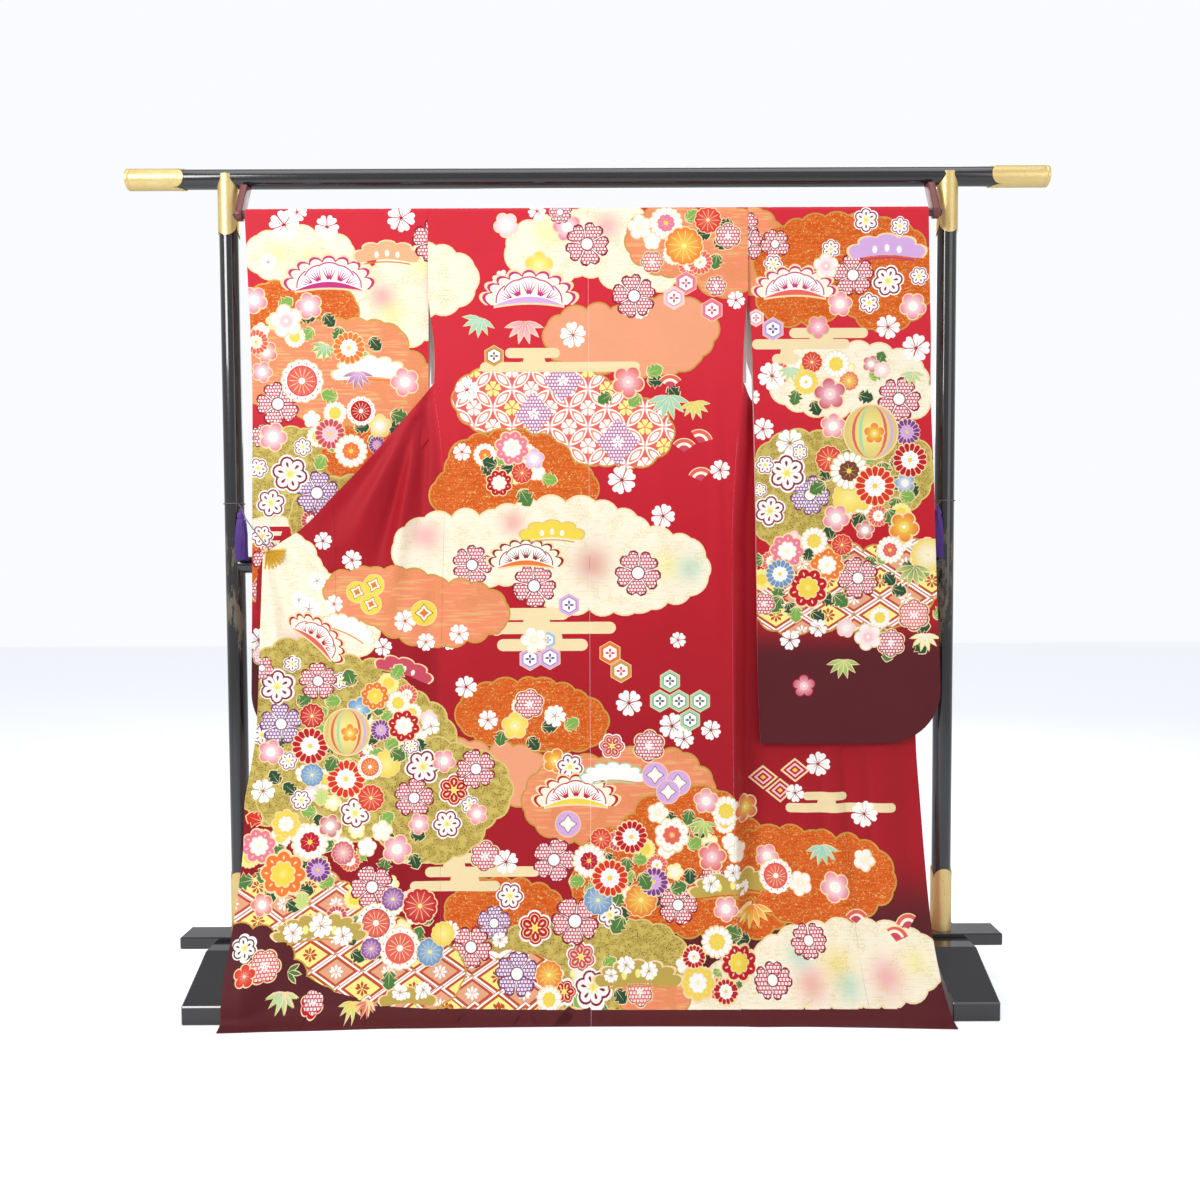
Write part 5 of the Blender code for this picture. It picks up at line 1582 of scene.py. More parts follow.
draw(d, blossom, (380, 426, 12, "yellow"), (273, 437, 15), (266, 352, 12, "coral"), (262, 372, 11))
glows(d, (310, 258, 12, "lemon"), (277, 254, 12, "lemon"), (422, 263, 14, "lemon"), (391, 312, 14, "lemon"),
      (382, 296, 12, "pink"), (444, 283, 13, "pink"), (311, 351, 12, "pink"))
draw(d, bamboo, (358, 372, 20, 0, "lilac", "white", "mauve"), (325, 345, 18, 20, "mint", "white", "leaf"))
draw(d, mum, (349, 348, 17, "tangerine", "white"), (335, 413, 12, "white", "yellow"),
     (330, 434, 16, "rose", "blush"))
draw(d, mum, (351, 451, 17, "white", "tangerine"), (377, 445, 9, "purple", "lilac"),
     (256, 342, 13, "coral", "cream"))
draw(d, ringed, (302, 381, 22, "white", "scarlet", "coral"), (361, 411, 15, "white", "scarlet", "red"))
draw(d, plum, (290, 474, 18), (271, 503, 14), (258, 468, 10), (303, 447, 9), (262, 536, 11), (330, 520, 12))
draw(d, leaf, (338, 399, 15, 200, "leaf"), (390, 413, 16, 20), (325, 455, 14, 120, "leaf"))
draw(d, rosette, (262, 590, 13), (262, 655, 11, "blush"))
print("left sleeve shapes:", len(d.shapes))

# %% Right sleeve
d = right_sleeve
clouds(d, SALMON_CLOUD, (21, 13, (748, 250, 36, 42)))
clouds(d, ORANGE_CLOUD, (23, 14, (835, 262, 78, 46), (885, 275, 48, 54), (800, 300, 40, 24)))
clouds(d, CREAM_CLOUD, (25, 14, (848, 380, 78, 36), (890, 395, 40, 28)))
clouds(d, OLIVE_CLOUD, (27, 15, (805, 480, 54, 48), (880, 470, 52, 46), (790, 520, 34, 26)))
woven(d, 29, 14, (750, 530, 945, 640), (850, 588, 84, 42), (790, 600, 36, 32), (905, 575, 36, 34))
mist(d, ((789, 868, 333, 5), (752, 850, 344, 5), (772, 800, 359, 5)), "straw")
foliage(d, (830, 378, 58, 24), (872, 485, 46, 42), (805, 572, 48, 40), (900, 560, 34, 30), (905, 625, 34, 24))
draw(d, kanoko, (743, 226, 16), (746, 244, 18), (775, 244, 15), (853, 275, 21), (899, 399, 22),
     (810, 495, 20, "mauve", "plum"))
draw(d, kanoko, (858, 578, 21), (775, 282, 12))
draw(d, plum, (866, 220, 12, 0), (831, 249, 9), (773, 264, 9), (869, 303, 10), (919, 276, 9),
     (888, 281, 15), (900, 226, 9))
draw(d, pine, (887, 258, 34, 0, "lilac", 5, "paleline", 0.6, "magenta"))
draw(d, pinefan, (795, 297, 36, 0, "magenta", "coral"))
draw(d, blossom, (826, 266, 13, "white", "blush"), (840, 304, 13), (913, 306, 14),
     (818, 327, 12, "pink", "blush", "sand"))
draw(d, hexagon, (773, 329, 12, 0, "lilac", "violet"), (756, 318, 9, 0, "blush", "rose"))
draw(d, cherry, (888, 327, 12), (916, 348, 14), (772, 376, 14), (763, 429, 11), (790, 443, 14), (752, 397, 8))
draw(d, daisy, (812, 362, 11), (849, 381, 10, "coral", "yellow"), (829, 459, 14),
     (848, 498, 16, "yellow", "lemon"))
draw(d, mum, (836, 364, 14, "white", "yellow"), (806, 382, 13, "yellow", "white"),
     (907, 432, 14, "purple", "lilac"))
draw(d, blossom, (871, 364, 9, "rose"), (882, 370, 9, "blush"), (830, 394, 17, "rose", "blush"),
     (833, 426, 13), (905, 483, 11, "blue"))
draw(d, bamboo, (790, 368, 16, 0, "aqua", "white"), (912, 372, 16, 0, "mint", "white"))
ball(d, 871, 432, 28)
draw(d, leaf, (881, 461, 18, 80), (826, 483, 16, 150), (887, 509, 17, 60), (899, 495, 14, 10, "leaf"),
     (862, 512, 15, 110, "pine"))
draw(d, mum, (849, 471, 20, "white", "brown", "sand"), (910, 460, 18, "red", "white"),
     (875, 486, 21, "scarlet", "white"))
draw(d, plum, (787, 473, 18), (770, 511, 15), (765, 465, 9), (800, 452, 8), (760, 490, 7))
draw(d, blossom, (836, 518, 14), (904, 527, 16, "tangerine", "yellow"), (865, 530, 10, "rose"))
draw(d, dahlia, (787, 551, 18, "pink", "white"), (827, 565, 18, "tangerine", "white"),
     (808, 588, 21, "red", "yellow"))
draw(d, mum, (814, 541, 14, "white", "yellow"), (780, 574, 15, "blue", "white"),
     (890, 550, 14, "white", "coral"))
draw(d, leaf, (764, 559, 16, 170), (781, 596, 16, 120), (796, 606, 14, 90, "leaf"), (833, 594, 16, 40),
     (807, 562, 12, 280, "pine"))
draw(d, daisy, (928, 555, 18, "yellow", "white"), (842, 545, 11, "scarlet", "coral"))
draw(d, bamboo, (913, 566, 24, 0, "green", "lemon", "lime"), (925, 634, 20, 0, "white", "sand", "lemon"))
draw(d, rosette, (914, 615, 17, "coral"), (891, 643, 15, "rose"), (764, 604, 12))
draw(d, blossom, (868, 637, 14, "white", "blush"), (804, 686, 12, "rose", "blush", "wine"),
     (846, 628, 10, "blush"))
draw(d, bamboo, (843, 660, 21, 0, "lime", "sand", "leaf"))
draw(d, cherry, (790, 640, 10), (818, 628, 9))
print("right sleeve shapes:", len(d.shapes))

# %% The body from the shoulder to the waist
d = body
clouds(d, CREAM_CLOUD, (31, 15, (550, 250, 42, 32), (608, 240, 54, 36), (640, 268, 40, 24),
                        (425, 280, 50, 34)))
clouds(d, SALMON_CLOUD, (33, 14, (672, 240, 44, 34), (724, 250, 40, 44)))
clouds(d, PEACH_CLOUD, (35, 15, (598, 338, 52, 32), (668, 330, 48, 32), (640, 350, 60, 24)))
linked, = clouds(d, {"colour": "coral", "edge": "gold", "fill": PLAIN},
                (37, 15, (515, 400, 60, 34), (575, 420, 66, 44), (625, 432, 46, 34), (548, 385, 48, 20)))
rings(d, linked, (455, 370, 670, 475), 19, ((563, 381, 20), (534, 414, 20), (618, 442, 22)))
clouds(d, ORANGE_CLOUD, (39, 15, (510, 468, 62, 36), (545, 488, 50, 30), (465, 495, 32, 24)))
clouds(d, CREAM_CLOUD, (41, 16, (470, 548, 74, 36), (560, 545, 92, 46), (645, 568, 62, 38),
                        (600, 590, 60, 22)))
mist(d, ((505, 560, 353, 5), (480, 640, 367, 5), (500, 569, 614, 6), (480, 616, 628, 6),
         (497, 588, 645, 6)), "straw")
foliage(d, (505, 465, 34, 26), (690, 240, 44, 26), (640, 385, 30, 16))
draw(d, blossom, (506, 225, 13, "blush"), (539, 266, 15, "yellow", "lemon"),
     (640, 227, 13, "white", "cream"), (567, 227, 15))
draw(d, cherry, (537, 211, 9), (503, 281, 11), (573, 335, 13), (467, 390, 12), (622, 480, 14),
     (663, 516, 12), (720, 470, 10))
draw(d, cherry, (462, 452, 9), (640, 310, 9), (736, 300, 9), (449, 640, 10), (678, 640, 8))
draw(d, kanoko, (587, 244, 22), (634, 296, 22), (534, 586, 22), (638, 573, 23), (472, 565, 20),
     (560, 212, 12))
draw(d, mum, (666, 223, 17, "white", "pink"), (485, 455, 12, "white", "tangerine"),
     (700, 262, 13, "coral", "white"))
draw(d, daisy, (684, 246, 20, "tangerine", "yellow"), (708, 220, 14, "scarlet", "coral"),
     (522, 473, 11, "scarlet", "coral"))
draw(d, rosette, (728, 236, 14), (652, 262, 12, "coral"), (716, 286, 11))
draw(d, pinefan, (529, 305, 41, 0, "magenta", "lilac"), (526, 567, 33, 0, "wine", "tangerine"))
draw(d, pine, (552, 540, 28, 0, "yellow", 5, "sand", 0.6, "gold"))
draw(d, hexagon, (686, 283, 12, 0, "pink", "rose"), (674, 298, 12, 0, "blush", "rose"),
     (712, 310, 12, 0, "pink", "rose"))
draw(d, hexagon, (494, 356, 11, 0, "gold", "brown"), (569, 605, 12), (530, 659, 12), (550, 658, 12),
     (548, 640, 9, 0, "sky", "blue"))
draw(d, hexagon, (610, 653, 12, 0, "tangerine", "scarlet"), (621, 671, 12, 0, "gold", "scarlet"))
draw(d, bamboo, (524, 322, 25, 0, "pink", "white", "blush"), (480, 318, 22, 20, "aqua", "white", "mint"))
draw(d, bamboo, (668, 396, 27, 0, "aqua", "white", "mint"), (694, 402, 20, -10, "yellow", "sand", "lime"))
draw(d, blossom, (628, 382, 17, "coral", "blush"), (495, 623, 13), (534, 640, 14, "white", "cream"),
     (534, 459, 11, "lilac"))
draw(d, leaf, (646, 374, 15, -20, "leaf"), (612, 394, 14, 150), (520, 489, 17, 60),
     (498, 466, 14, 200, "pine"), (541, 478, 14, 10, "leaf"))
draw(d, fan, (670, 381, 14), (684, 445, 14), (699, 436, 14, 20), (701, 474, 14, -10))
draw(d, dahlia, (512, 448, 18, "pink", "white"), (499, 483, 14, "red", "white"))
glows(d, (425, 536, 14, "pink"), (513, 523, 12, "pink"), (592, 564, 18, "rose"), (667, 566, 14, "lemon"),
      (690, 568, 12, "aqua"), (548, 232, 14, "lemon"), (607, 226, 13, "pink"))
print("body shapes so far:", len(d.shapes))

# %% The body from the waist to the hem
clouds(d, ORANGE_CLOUD, (43, 14, (525, 714, 66, 34), (560, 722, 46, 28)))
clouds(d, PEACH_CLOUD, (45, 14, (490, 775, 58, 32), (452, 765, 34, 24)))
clouds(d, SALMON_CLOUD, (47, 14, (585, 800, 60, 42), (650, 790, 62, 42), (690, 815, 36, 34)))
clouds(d, ORANGE_CLOUD, (49, 15, (690, 850, 72, 62), (640, 880, 66, 56), (745, 878, 62, 48),
                         (720, 905, 70, 32)))
clouds(d, ORANGE_CLOUD, (51, 15, (820, 878, 72, 44), (780, 865, 62, 36)), (52, 13, (505, 912, 58, 32)))
clouds(d, OLIVE_CLOUD, (53, 15, (560, 962, 68, 42), (635, 965, 52, 42), (500, 970, 48, 36)))
mist(d, ((400, 480, 858, 5), (425, 540, 872, 5), (410, 500, 886, 5), (803, 847, 796, 4),
         (786, 896, 808, 4.5)), "straw")
clouds(d, CREAM_CLOUD, (55, 16, (848, 964, 92, 40), (790, 984, 84, 24), (712, 996, 44, 16)))
woven(d, 57, 14, (420, 960, 570, 1030), (505, 982, 54, 28), (460, 976, 40, 28))
clouds(d, SALMON_CLOUD, (59, 10, (654, 998, 34, 12)))
foliage(d, (625, 880, 60, 44), (700, 830, 44, 30), (715, 960, 36, 30), (590, 985, 40, 22), (535, 722, 36, 22))
draw(d, rosette, (529, 704, 16), (649, 746, 17), (485, 856, 16), (640, 992, 14, "coral"), (596, 850, 11))
draw(d, blossom, (515, 726, 14, "yellow", "lemon"), (555, 761, 13, "tangerine", "yellow"),
     (658, 813, 11, "white", "cream"))
draw(d, cherry, (555, 716, 11), (488, 720, 10), (629, 703, 13), (672, 726, 13), (684, 739, 10),
     (711, 730, 10), (506, 862, 12))
for x, y in ((670, 681), (660, 701), (679, 701), (700, 701), (690, 720)):
    hexagon(d, x, y, 11.5, 0, "mint", "pine")
draw(d, plum, (612, 746, 12, "rose"), (570, 767, 13), (510, 896, 13), (535, 928, 16, "red"),
     (581, 957, 14, "rose"), (593, 988, 18))
draw(d, plum, (564, 992, 12, "red"), (610, 915, 12, "wine"))
draw(d, pinefan, (576, 806, 37, 0, "red", "yellow"))
draw(d, pine, (613, 782, 28, 0, "white", 7, "mint", 0.6, "mint"))
draw(d, coin, (655, 775, 13, 0, "lilac", "violet", "white"), (678, 783, 13, 0, "lilac", "violet", "white"))
draw(d, coin, (668, 792, 12, 0, "lilac", "violet", "white"), (568, 824, 13, 0, "lilac", "violet", "white"))
draw(d, kanoko, (554, 860, 22), (494, 923, 17, "mauve", "plum"), (471, 947, 21),
     (517, 974, 22, "mauve", "plum"))
draw(d, kanoko, (678, 905, 20), (575, 921, 24), (773, 981, 19), (809, 941, 18), (712, 880, 14))
draw(d, daisy, (601, 839, 11), (641, 900, 17, "tangerine", "yellow"), (598, 900, 15, "blue", "sky"),
     (549, 975, 14, "tangerine", "yellow"))
draw(d, mum, (631, 837, 17, "red", "white"), (589, 861, 17, "white", "red"),
     (610, 878, 19, "scarlet", "white"))
draw(d, mum, (654, 882, 15, "purple", "lilac"), (549, 1000, 13, "white", "yellow"),
     (726, 811, 15, "white", "yellow"))
draw(d, dahlia, (672, 835, 18, "white", "coral"), (739, 963, 19, "red", "yellow"),
     (698, 983, 18, "yellow", "white"))
draw(d, blossom, (706, 801, 13), (712, 857, 15, "coral", "blush"), (745, 807, 14, "coral", "yellow"),
     (738, 853, 11, "white", "cream"))
draw(d, bamboo, (703, 822, 19, 0, "lime", "sand", "leaf"), (822, 846, 21, 0, "aqua", "white", "mint"))
draw(d, bamboo, (753, 905, 24, 0, "tangerine", "sand", "yellow"))
draw(d, leaf, (640, 873, 16, 60), (623, 916, 17, 120), (670, 891, 15, -20), (743, 937, 17, 200),
     (632, 858, 13, 10, "leaf"), (690, 868, 14, 90, "pine"))
draw(d, pine, (638, 985, 38, 0, "olive", 7, "paleline", 0.55, "gold", "lemon"),
     (733, 897, 38, 0, "olive", 7, "paleline", 0.55, "gold", "lemon"))
draw(d, cherry, (626, 965, 9), (649, 971, 9), (611, 976, 7), (711, 884, 9), (733, 873, 9), (743, 887, 7))
for x, y in ((763, 777), (795, 770), (780, 790)):
    diamond(d, x, y, 15, 12)
draw(d, cherry, (818, 764, 12), (795, 793, 9), (864, 814, 13), (500, 940, 8), (450, 930, 9))
draw(d, blossom, (800, 883, 12, "white", "cream"), (864, 860, 11, "white", "cream"), (767, 856, 12),
     (835, 887, 15), (726, 909, 13))
draw(d, ringed, (776, 876, 17, "white", "scarlet", "coral"))
draw(d, fan, (856, 916, 14), (895, 933, 14, 15), (908, 921, 14, -15))
draw(d, mum, (717, 942, 16, "white", "yellow"), (726, 992, 13, "red", "white"),
     (694, 957, 12, "red", "white"))
glows(d, (812, 984, 15, "pink"), (887, 977, 16, "pink"), (837, 964, 15, "yellow"), (800, 956, 12, "aqua"),
      (850, 988, 12, "aqua"), (915, 962, 12, "lemon"))
print("body shapes so far:", len(d.shapes))

# %% The drawn-out left front
clouds(d, ORANGE_CLOUD, (71, 12, (262, 570, 22, 30)))
clouds(d, CREAM_CLOUD, (61, 15, (285, 570, 34, 34), (300, 600, 40, 36), (320, 630, 56, 36),
                        (270, 610, 30, 40)))
clouds(d, SALMON_CLOUD, (63, 15, (390, 596, 58, 26), (440, 612, 66, 32), (360, 590, 34, 20)))
clouds(d, OLIVE_CLOUD, (65, 15, (300, 700, 58, 60), (275, 770, 36, 54), (350, 710, 62, 52),
                        (395, 750, 60, 60)))
clouds(d, OLIVE_CLOUD, (66, 15, (430, 800, 62, 60), (460, 790, 50, 40), (330, 800, 70, 40)))
woven(d, 67, 15, (232, 870, 460, 1025), (295, 905, 62, 34), (345, 955, 76, 46), (410, 972, 52, 34),
      (300, 950, 40, 30))
EDGE = [(200, 926), (240, 938), (262, 940), (280, 956), (292, 975), (302, 992), (322, 1003), (350, 1010),
        (385, 1016)]
EDGE += [(x, 1018) for x in range(425, 980, 40)]
for share, name, kind in ((1.5, "gold", GILT), (0, "maroon", PLAIN)):
    for x, y in EDGE[1:7]:
        d.add(disc(x, y, 14 + share, 20), name, fill=kind)
for (x0, y0), (x1, y1) in zip(EDGE, EDGE[1:]):
    d.add([(x0 - 1, y0), (x1 + 1, y1), (x1 + 1, 1046), (x0 - 1, 1046)], "maroon")
foliage(d, (325, 755, 52, 62), (392, 725, 42, 44), (290, 858, 44, 44), (385, 925, 50, 44), (370, 840, 50, 26))
draw(d, cherry, (323, 541, 9), (352, 560, 10), (317, 581, 9), (299, 600, 9), (309, 609, 12), (334, 604, 9),
     (383, 647, 9))
draw(d, cherry, (405, 621, 11), (426, 642, 9), (459, 634, 10), (466, 687, 11), (431, 726, 9), (263, 791, 12))
draw(d, pine, (347, 634, 24, 25, "white", 7), (402, 676, 26, 18, "rose", 5, "paleline", 0.6, "wine"))
draw(d, pinefan, (312, 644, 30, 40, "red", "coral"))
glows(d, (299, 644, 13, "pink"))
draw(d, coin, (357, 592, 11, 20), (374, 585, 11, 20), (371, 604, 11, 20), (424, 613, 13))
draw(d, plum, (277, 687, 17), (292, 664, 8), (340, 681, 8), (288, 761, 9), (423, 767, 17),
     (454, 790, 15, "red"), (355, 813, 15))
draw(d, plum, (447, 824, 14), (411, 746, 8), (301, 800, 10), (262, 735, 10), (470, 805, 9))
draw(d, kanoko, (318, 681, 19), (281, 724, 21, "mauve", "plum"), (414, 798, 20), (476, 769, 20),
     (372, 887, 22), (262, 668, 12))
draw(d, daisy, (312, 716, 13, "red", "coral"), (312, 775, 12, "blue", "sky"), (371, 798, 14),
     (387, 764, 14, "yellow", "lemon"))
draw(d, mum, (310, 746, 19, "red", "white"), (398, 703, 12, "white", "yellow"),
     (381, 730, 11, "purple", "lilac"))
draw(d, mum, (346, 779, 20, "scarlet", "white"), (310, 842, 19, "white", "red"),
     (318, 870, 13, "purple", "lilac"))
draw(d, blossom, (271, 752, 13), (359, 709, 13, "blue", "sky"), (444, 761, 12), (419, 824, 11),
     (477, 814, 11), (397, 849, 15))
draw(d, leaf, (353, 687, 16, 250), (393, 680, 15, 300, "leaf"), (336, 756, 15, 120), (390, 750, 15, 30),
     (323, 788, 15, 100, "lime"))
ball(d, 347, 732, 24)
draw(d, dahlia, (375, 696, 15, "tangerine", "yellow"), (404, 726, 17, "red", "white"),
     (286, 824, 15, "yellow", "white"))
draw(d, ringed, (370, 767, 13, "white", "scarlet", "tangerine"), (376, 923, 20, "white", "brown", "coral"))
draw(d, leaf, (263, 822, 15, 200, "scarlet"), (286, 847, 15, 150), (254, 880, 16, 170),
     (302, 891, 15, 90, "lime"), (389, 971, 16, 90))
draw(d, dahlia, (259, 846, 18, "pink", "white"), (283, 874, 24, "tangerine", "yellow"))
draw(d, daisy, (343, 853, 12, "rose", "blush"), (393, 899, 12, "purple", "lilac"),
     (420, 906, 18, "red", "coral"))
draw(d, blossom, (367, 847, 10, "white"), (382, 831, 11, "cream", "white"), (330, 826, 12, "rose"),
     (262, 905, 12, "coral"))
draw(d, ringed, (400, 948, 21, "white", "tangerine", "coral"))
draw(d, daisy, (371, 949, 11, "purple", "lilac"), (430, 952, 14, "blue", "sky"),
     (443, 934, 12, "yellow", "lemon"))
draw(d, pine, (320, 940, 40, 0, "olive", 9, "paleline", 0.55, "gold", "lemon"),
     (408, 1004, 25, 0, "olive", 5, "paleline", 0.55, "gold"))
draw(d, cherry, (321, 926, 12), (293, 933, 10, "white", "red"), (343, 936, 10), (400, 993, 8), (423, 990, 8))
draw(d, plum, (244, 949, 12, "maroon"))
draw(d, rosette, (264, 967, 17, "coral", "red"), (312, 1004, 12, "rose", "red"))
draw(d, blossom, (244, 977, 11, "scarlet", "coral"))
draw(d, sprig, (287, 972, 15, 100))
draw(d, bamboo, (282, 994, 21, 0, "mint", "white", "lime"), (351, 1004, 17, 0, "yellow", "sand", "lime"))
draw(d, bamboo, (366, 1002, 15, 0, "coral", "sand", "salmon"))
print("body shapes:", len(d.shapes))


# %% All panels
WORDS = {-1: "left", 1: "right"}
SILK_STEP, FOLD_STEP, FOLD_EDGE = 0.011, 0.0065, 0.0105
SILK_WALL, BAND_WALL = 0.002, 0.0026
FRONT_SURFACES = {-1: left_y, 1: right_y}


def far_face(x, z):
    """The printed side of the upper fronts, behind the rod."""
    return FAR_Y + 0 * x


def dressed(piece, node_name):
    """Materials and declarations that every panel of cloth needs."""
    piece.data.materials.append(silk)
    piece.data.materials.append(lining_silk)
    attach(piece, "root")
    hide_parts(node_name)
    return piece


def cloth(node_name, outline, drawing, surface, facing, lining,
          band=None, step=SILK_STEP):
    """One panel, built on its flat outline; a band, which has one width all along, gets a thicker wall."""
    wall = BAND_WALL if band else SILK_WALL
    piece = panel(node_name, outline, drawing, draped(surface, facing), step, facing, wall, lining)
    if band:
        return dressed(piece, node_name)
    return dressed(piece, node_name)


for side in (-1, 1):
    word = WORDS[side]
    sleeve_print = left_sleeve if side < 0 else right_sleeve
    cloth("back_" + word, back_outline(side), body, back_y, -1, inner_silk)
    share = SEAM_GAP / 2 / 0.35
    surface = FRONT_SURFACES[side]
    front = front_outline(side, 0.0, OVERLAP_SHARE - share)
    cloth("front_" + word, front, body, surface, -1, inner_silk, step=FOLD_STEP)
    overlap = front_outline(side, OVERLAP_SHARE + share, 1.0)
    cloth("overlap_" + word, overlap, body, surface, -1, inner_silk, step=FOLD_STEP)
    for node_name, facing in (("sleeve_back_", -1), ("sleeve_front_", 1)):
        outline = sleeve_outline(side, facing)
        cloth(node_name + word, outline, sleeve_print, sleeve_y(side, facing), facing, sleeve_lining)
    cloth("upper_front_" + word, upper_outline(side), body, far_face, 1, inner_silk)

# %% [markdown]
# ## The collar
#
# The collar is one long folded band. From this side most of it is hidden: it lies over the rod
# behind the neck, runs down the far side to each slit, and its two ends are folded behind the upper
# edges of the drawn-out fronts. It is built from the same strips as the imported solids.

# %% Collar
COLLAR_W, COLLAR_CLEAR, COLLAR_LIFT = 0.055, 0.0006, 0.0005
COLLAR_TUCK, COLLAR_TURN_START, COLLAR_END_SLANT = 0.004, 0.8, 0.006
COLLAR_TAIL = ((0.6520, 0.835), (0.6555, 0.772))
COLLAR_END_ACROSS = (-0.55, -0.83)
COLLAR_END_STARTS = (0.15, 0.02)
COLLAR_SLOPE = math.atan2(float(collar_line(1, UPPER_END_Z)) - NECK_X, ROD_Z - UPPER_END_Z)


def strip_outline(starts, sides):
    """Outline of a band from the points of one edge and the offsets to the other."""
    starts, sides = np.array(starts), np.array(sides)
    return loop(starts, (starts + sides)[::-1])


def neck_outline():
    ends = NECK_X - SEAM_GAP
    low = ends - COLLAR_W * math.cos(COLLAR_SLOPE)
    mitre = ROD_Z - COLLAR_W * math.sin(COLLAR_SLOPE)
    rows = [(ends, z) for z in ROD_ROWS if ROD_Z <= z < TOP]
    rim = level(low, -low, ROD_Z - COLLAR_W) + [(-low, mitre)] + [(-x, z) for x, z in rows]
    return loop(rim, level(-ends, ends, TOP), rows[::-1], [(low, mitre)])


def upper_collar_outline(side):
    inward = np.array([-side * math.cos(COLLAR_SLOPE), -math.sin(COLLAR_SLOPE)])
    rows = np.linspace(ROD_Z - 0.0005, UPPER_END_Z, 50)
    starts = [np.array([collar_line(side, z), z]) + inward * SEAM_GAP for z in rows]
    return strip_outline(starts, [inward * COLLAR_W] * len(starts))


def collar_end_outline(side):
    tail = [(side * x, z) for x, z in COLLAR_TAIL]
    chain = top_edge(side) + (tail[0],)
    across = np.array([side * COLLAR_END_ACROSS[0], COLLAR_END_ACROSS[1]])
    begin = COLLAR_END_STARTS[0] if side < 0 else COLLAR_END_STARTS[1]
    starts, offsets = [], []
    for share in np.linspace(begin, 1, 60):
        run = along(chain, min(share + 0.01, 1)) - along(chain, share - 0.01)
        run /= np.linalg.norm(run)
        below = np.array([-side * abs(run[1]), -abs(run[0])])
        turn = float(ramp((share - COLLAR_TURN_START) / (1 - COLLAR_TURN_START)))
        below = below * (1 - turn) + across * turn
        starts.append(along(chain, share) + below * COLLAR_TUCK * (1 - turn))
        offsets.append(below * COLLAR_W)
    starts.append(np.array(tail[1]))
    offsets.append(np.array([-side * COLLAR_W, -2 * COLLAR_END_SLANT]))
    return strip_outline(starts, offsets)


def behind(surface):
    """A surface that hangs just behind another one's cloth."""
    return lambda x, z: surface(x, z) + WALL + COLLAR_CLEAR


def over_far_face(x, z):
    return FAR_Y + COLLAR_LIFT + 0 * x


def right_behind(x, z):
    return curve(BEHIND_DRAPE, z) + 0 * x


collar = Drawing(body_y, body_ground)
cloth("collar_neck", neck_outline(), collar, far_face, 1, inner_silk)
for side in (-1, 1):
    word = WORDS[side]
    outline = upper_collar_outline(side)
    cloth("collar_upper_" + word, outline, collar, over_far_face, 1, inner_silk, COLLAR_W)
    hidden = behind(plain_left_y if side < 0 else right_behind)
    outline = collar_end_outline(side)
    cloth("collar_end_" + word, outline, collar, hidden, -1, inner_silk,
          COLLAR_W)

# %% [markdown]
# ## The stand
#
# The stand is turned and planed wood under black lacquer, dressed with thin gilt brass. Round parts
# are spun from half a profile, which gives them a true round section and lets the profile carry
# the small things: a softened rim, a bead, the thickness of the metal.


# %% Spun and planed pieces
def finished(name, bm, mat, body_name, replaced, smooth_angle=35):
    """A bmesh made into a piece: shaded, dressed and declared."""
    mesh = bpy.data.meshes.new(name)
    bm.to_mesh(mesh)
    bm.free()
    mesh.materials.append(mat)
    mesh.shade_smooth()
    mesh.set_sharp_from_angle(angle=math.radians(smooth_angle))
    piece = bpy.data.objects.new(name, mesh)
    bpy.context.scene.collection.objects.link(piece)
    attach(piece, body_name)
    if replaced:
        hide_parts(*replaced)
    return piece


def spun(profile, axis="Z", place=(0, 0, 0), steps=64, closed=False):
    """A profile of (radius, height) points spun once round an axis."""
    bm = bmesh.new()
    verts = [bm.verts.new((r, 0, h)) for r, h in profile]
    edges = [bm.edges.new(pair) for pair in zip(verts, verts[1:])]
    if closed:
        edges.append(bm.edges.new((verts[-1], verts[0])))
    turn = {"cent": (0, 0, 0), "axis": (0, 0, 1), "angle": math.tau, "steps": steps, "use_merge": True}
    bmesh.ops.spin(bm, geom=verts + edges, **turn)
    bmesh.ops.remove_doubles(bm, verts=bm.verts, dist=1e-6)
    if axis == "X":
        bmesh.ops.rotate(bm, verts=bm.verts, matrix=Matrix.Rotation(math.pi / 2, 3, "Y"))
    bmesh.ops.translate(bm, verts=bm.verts, vec=place)
    bmesh.ops.recalc_face_normals(bm, faces=bm.faces)
    return bm


print("collar slope:", round(math.degrees(COLLAR_SLOPE), 1), "degrees")

# %% [markdown]
# ## Lacquer, brass, strands and cord
#
# Old black lacquer is not plain black: it is rubbed grey-brown where hands and cords touch it, most
# of all on the posts just under the tassels. The gilt brass is pale and beaten, with dull spots. Both
# use one group of rubbed patches. The coat of the Principled shader gives lacquer its wet gloss.

# %% Rubbed patches
rubbed, enter, leave = group("rubbed patches", "Mask", "Height", Scale=30.0, Cover=0.5)
worn = rubbed.nodes.new("ShaderNodeTexNoise")
worn.inputs["Detail"].default_value = 6
worn.inputs["Roughness"].default_value = 0.7
join(rubbed, (enter["Vector"], worn.inputs["Vector"]), (enter["Scale"], worn.inputs["Scale"]))
over = maths(rubbed, "SUBTRACT", worn.outputs["Fac"], maths(rubbed, "SUBTRACT", 1.0, enter["Cover"]))
join(rubbed, (between(rubbed, over, 0.0, 0.08), leave["Mask"]), (worn.outputs["Fac"], leave["Height"]))


def object_place(tree, scale=(1, 1, 1)):
    """Object coordinates, stretched by a Mapping node."""
    coordinates = tree.nodes.new("ShaderNodeTexCoord")
    mapping = tree.nodes.new("ShaderNodeMapping")
    mapping.inputs["Scale"].default_value = scale
    join(tree, (coordinates.outputs["Object"], mapping.inputs["Vector"]))
    return mapping.outputs["Vector"]


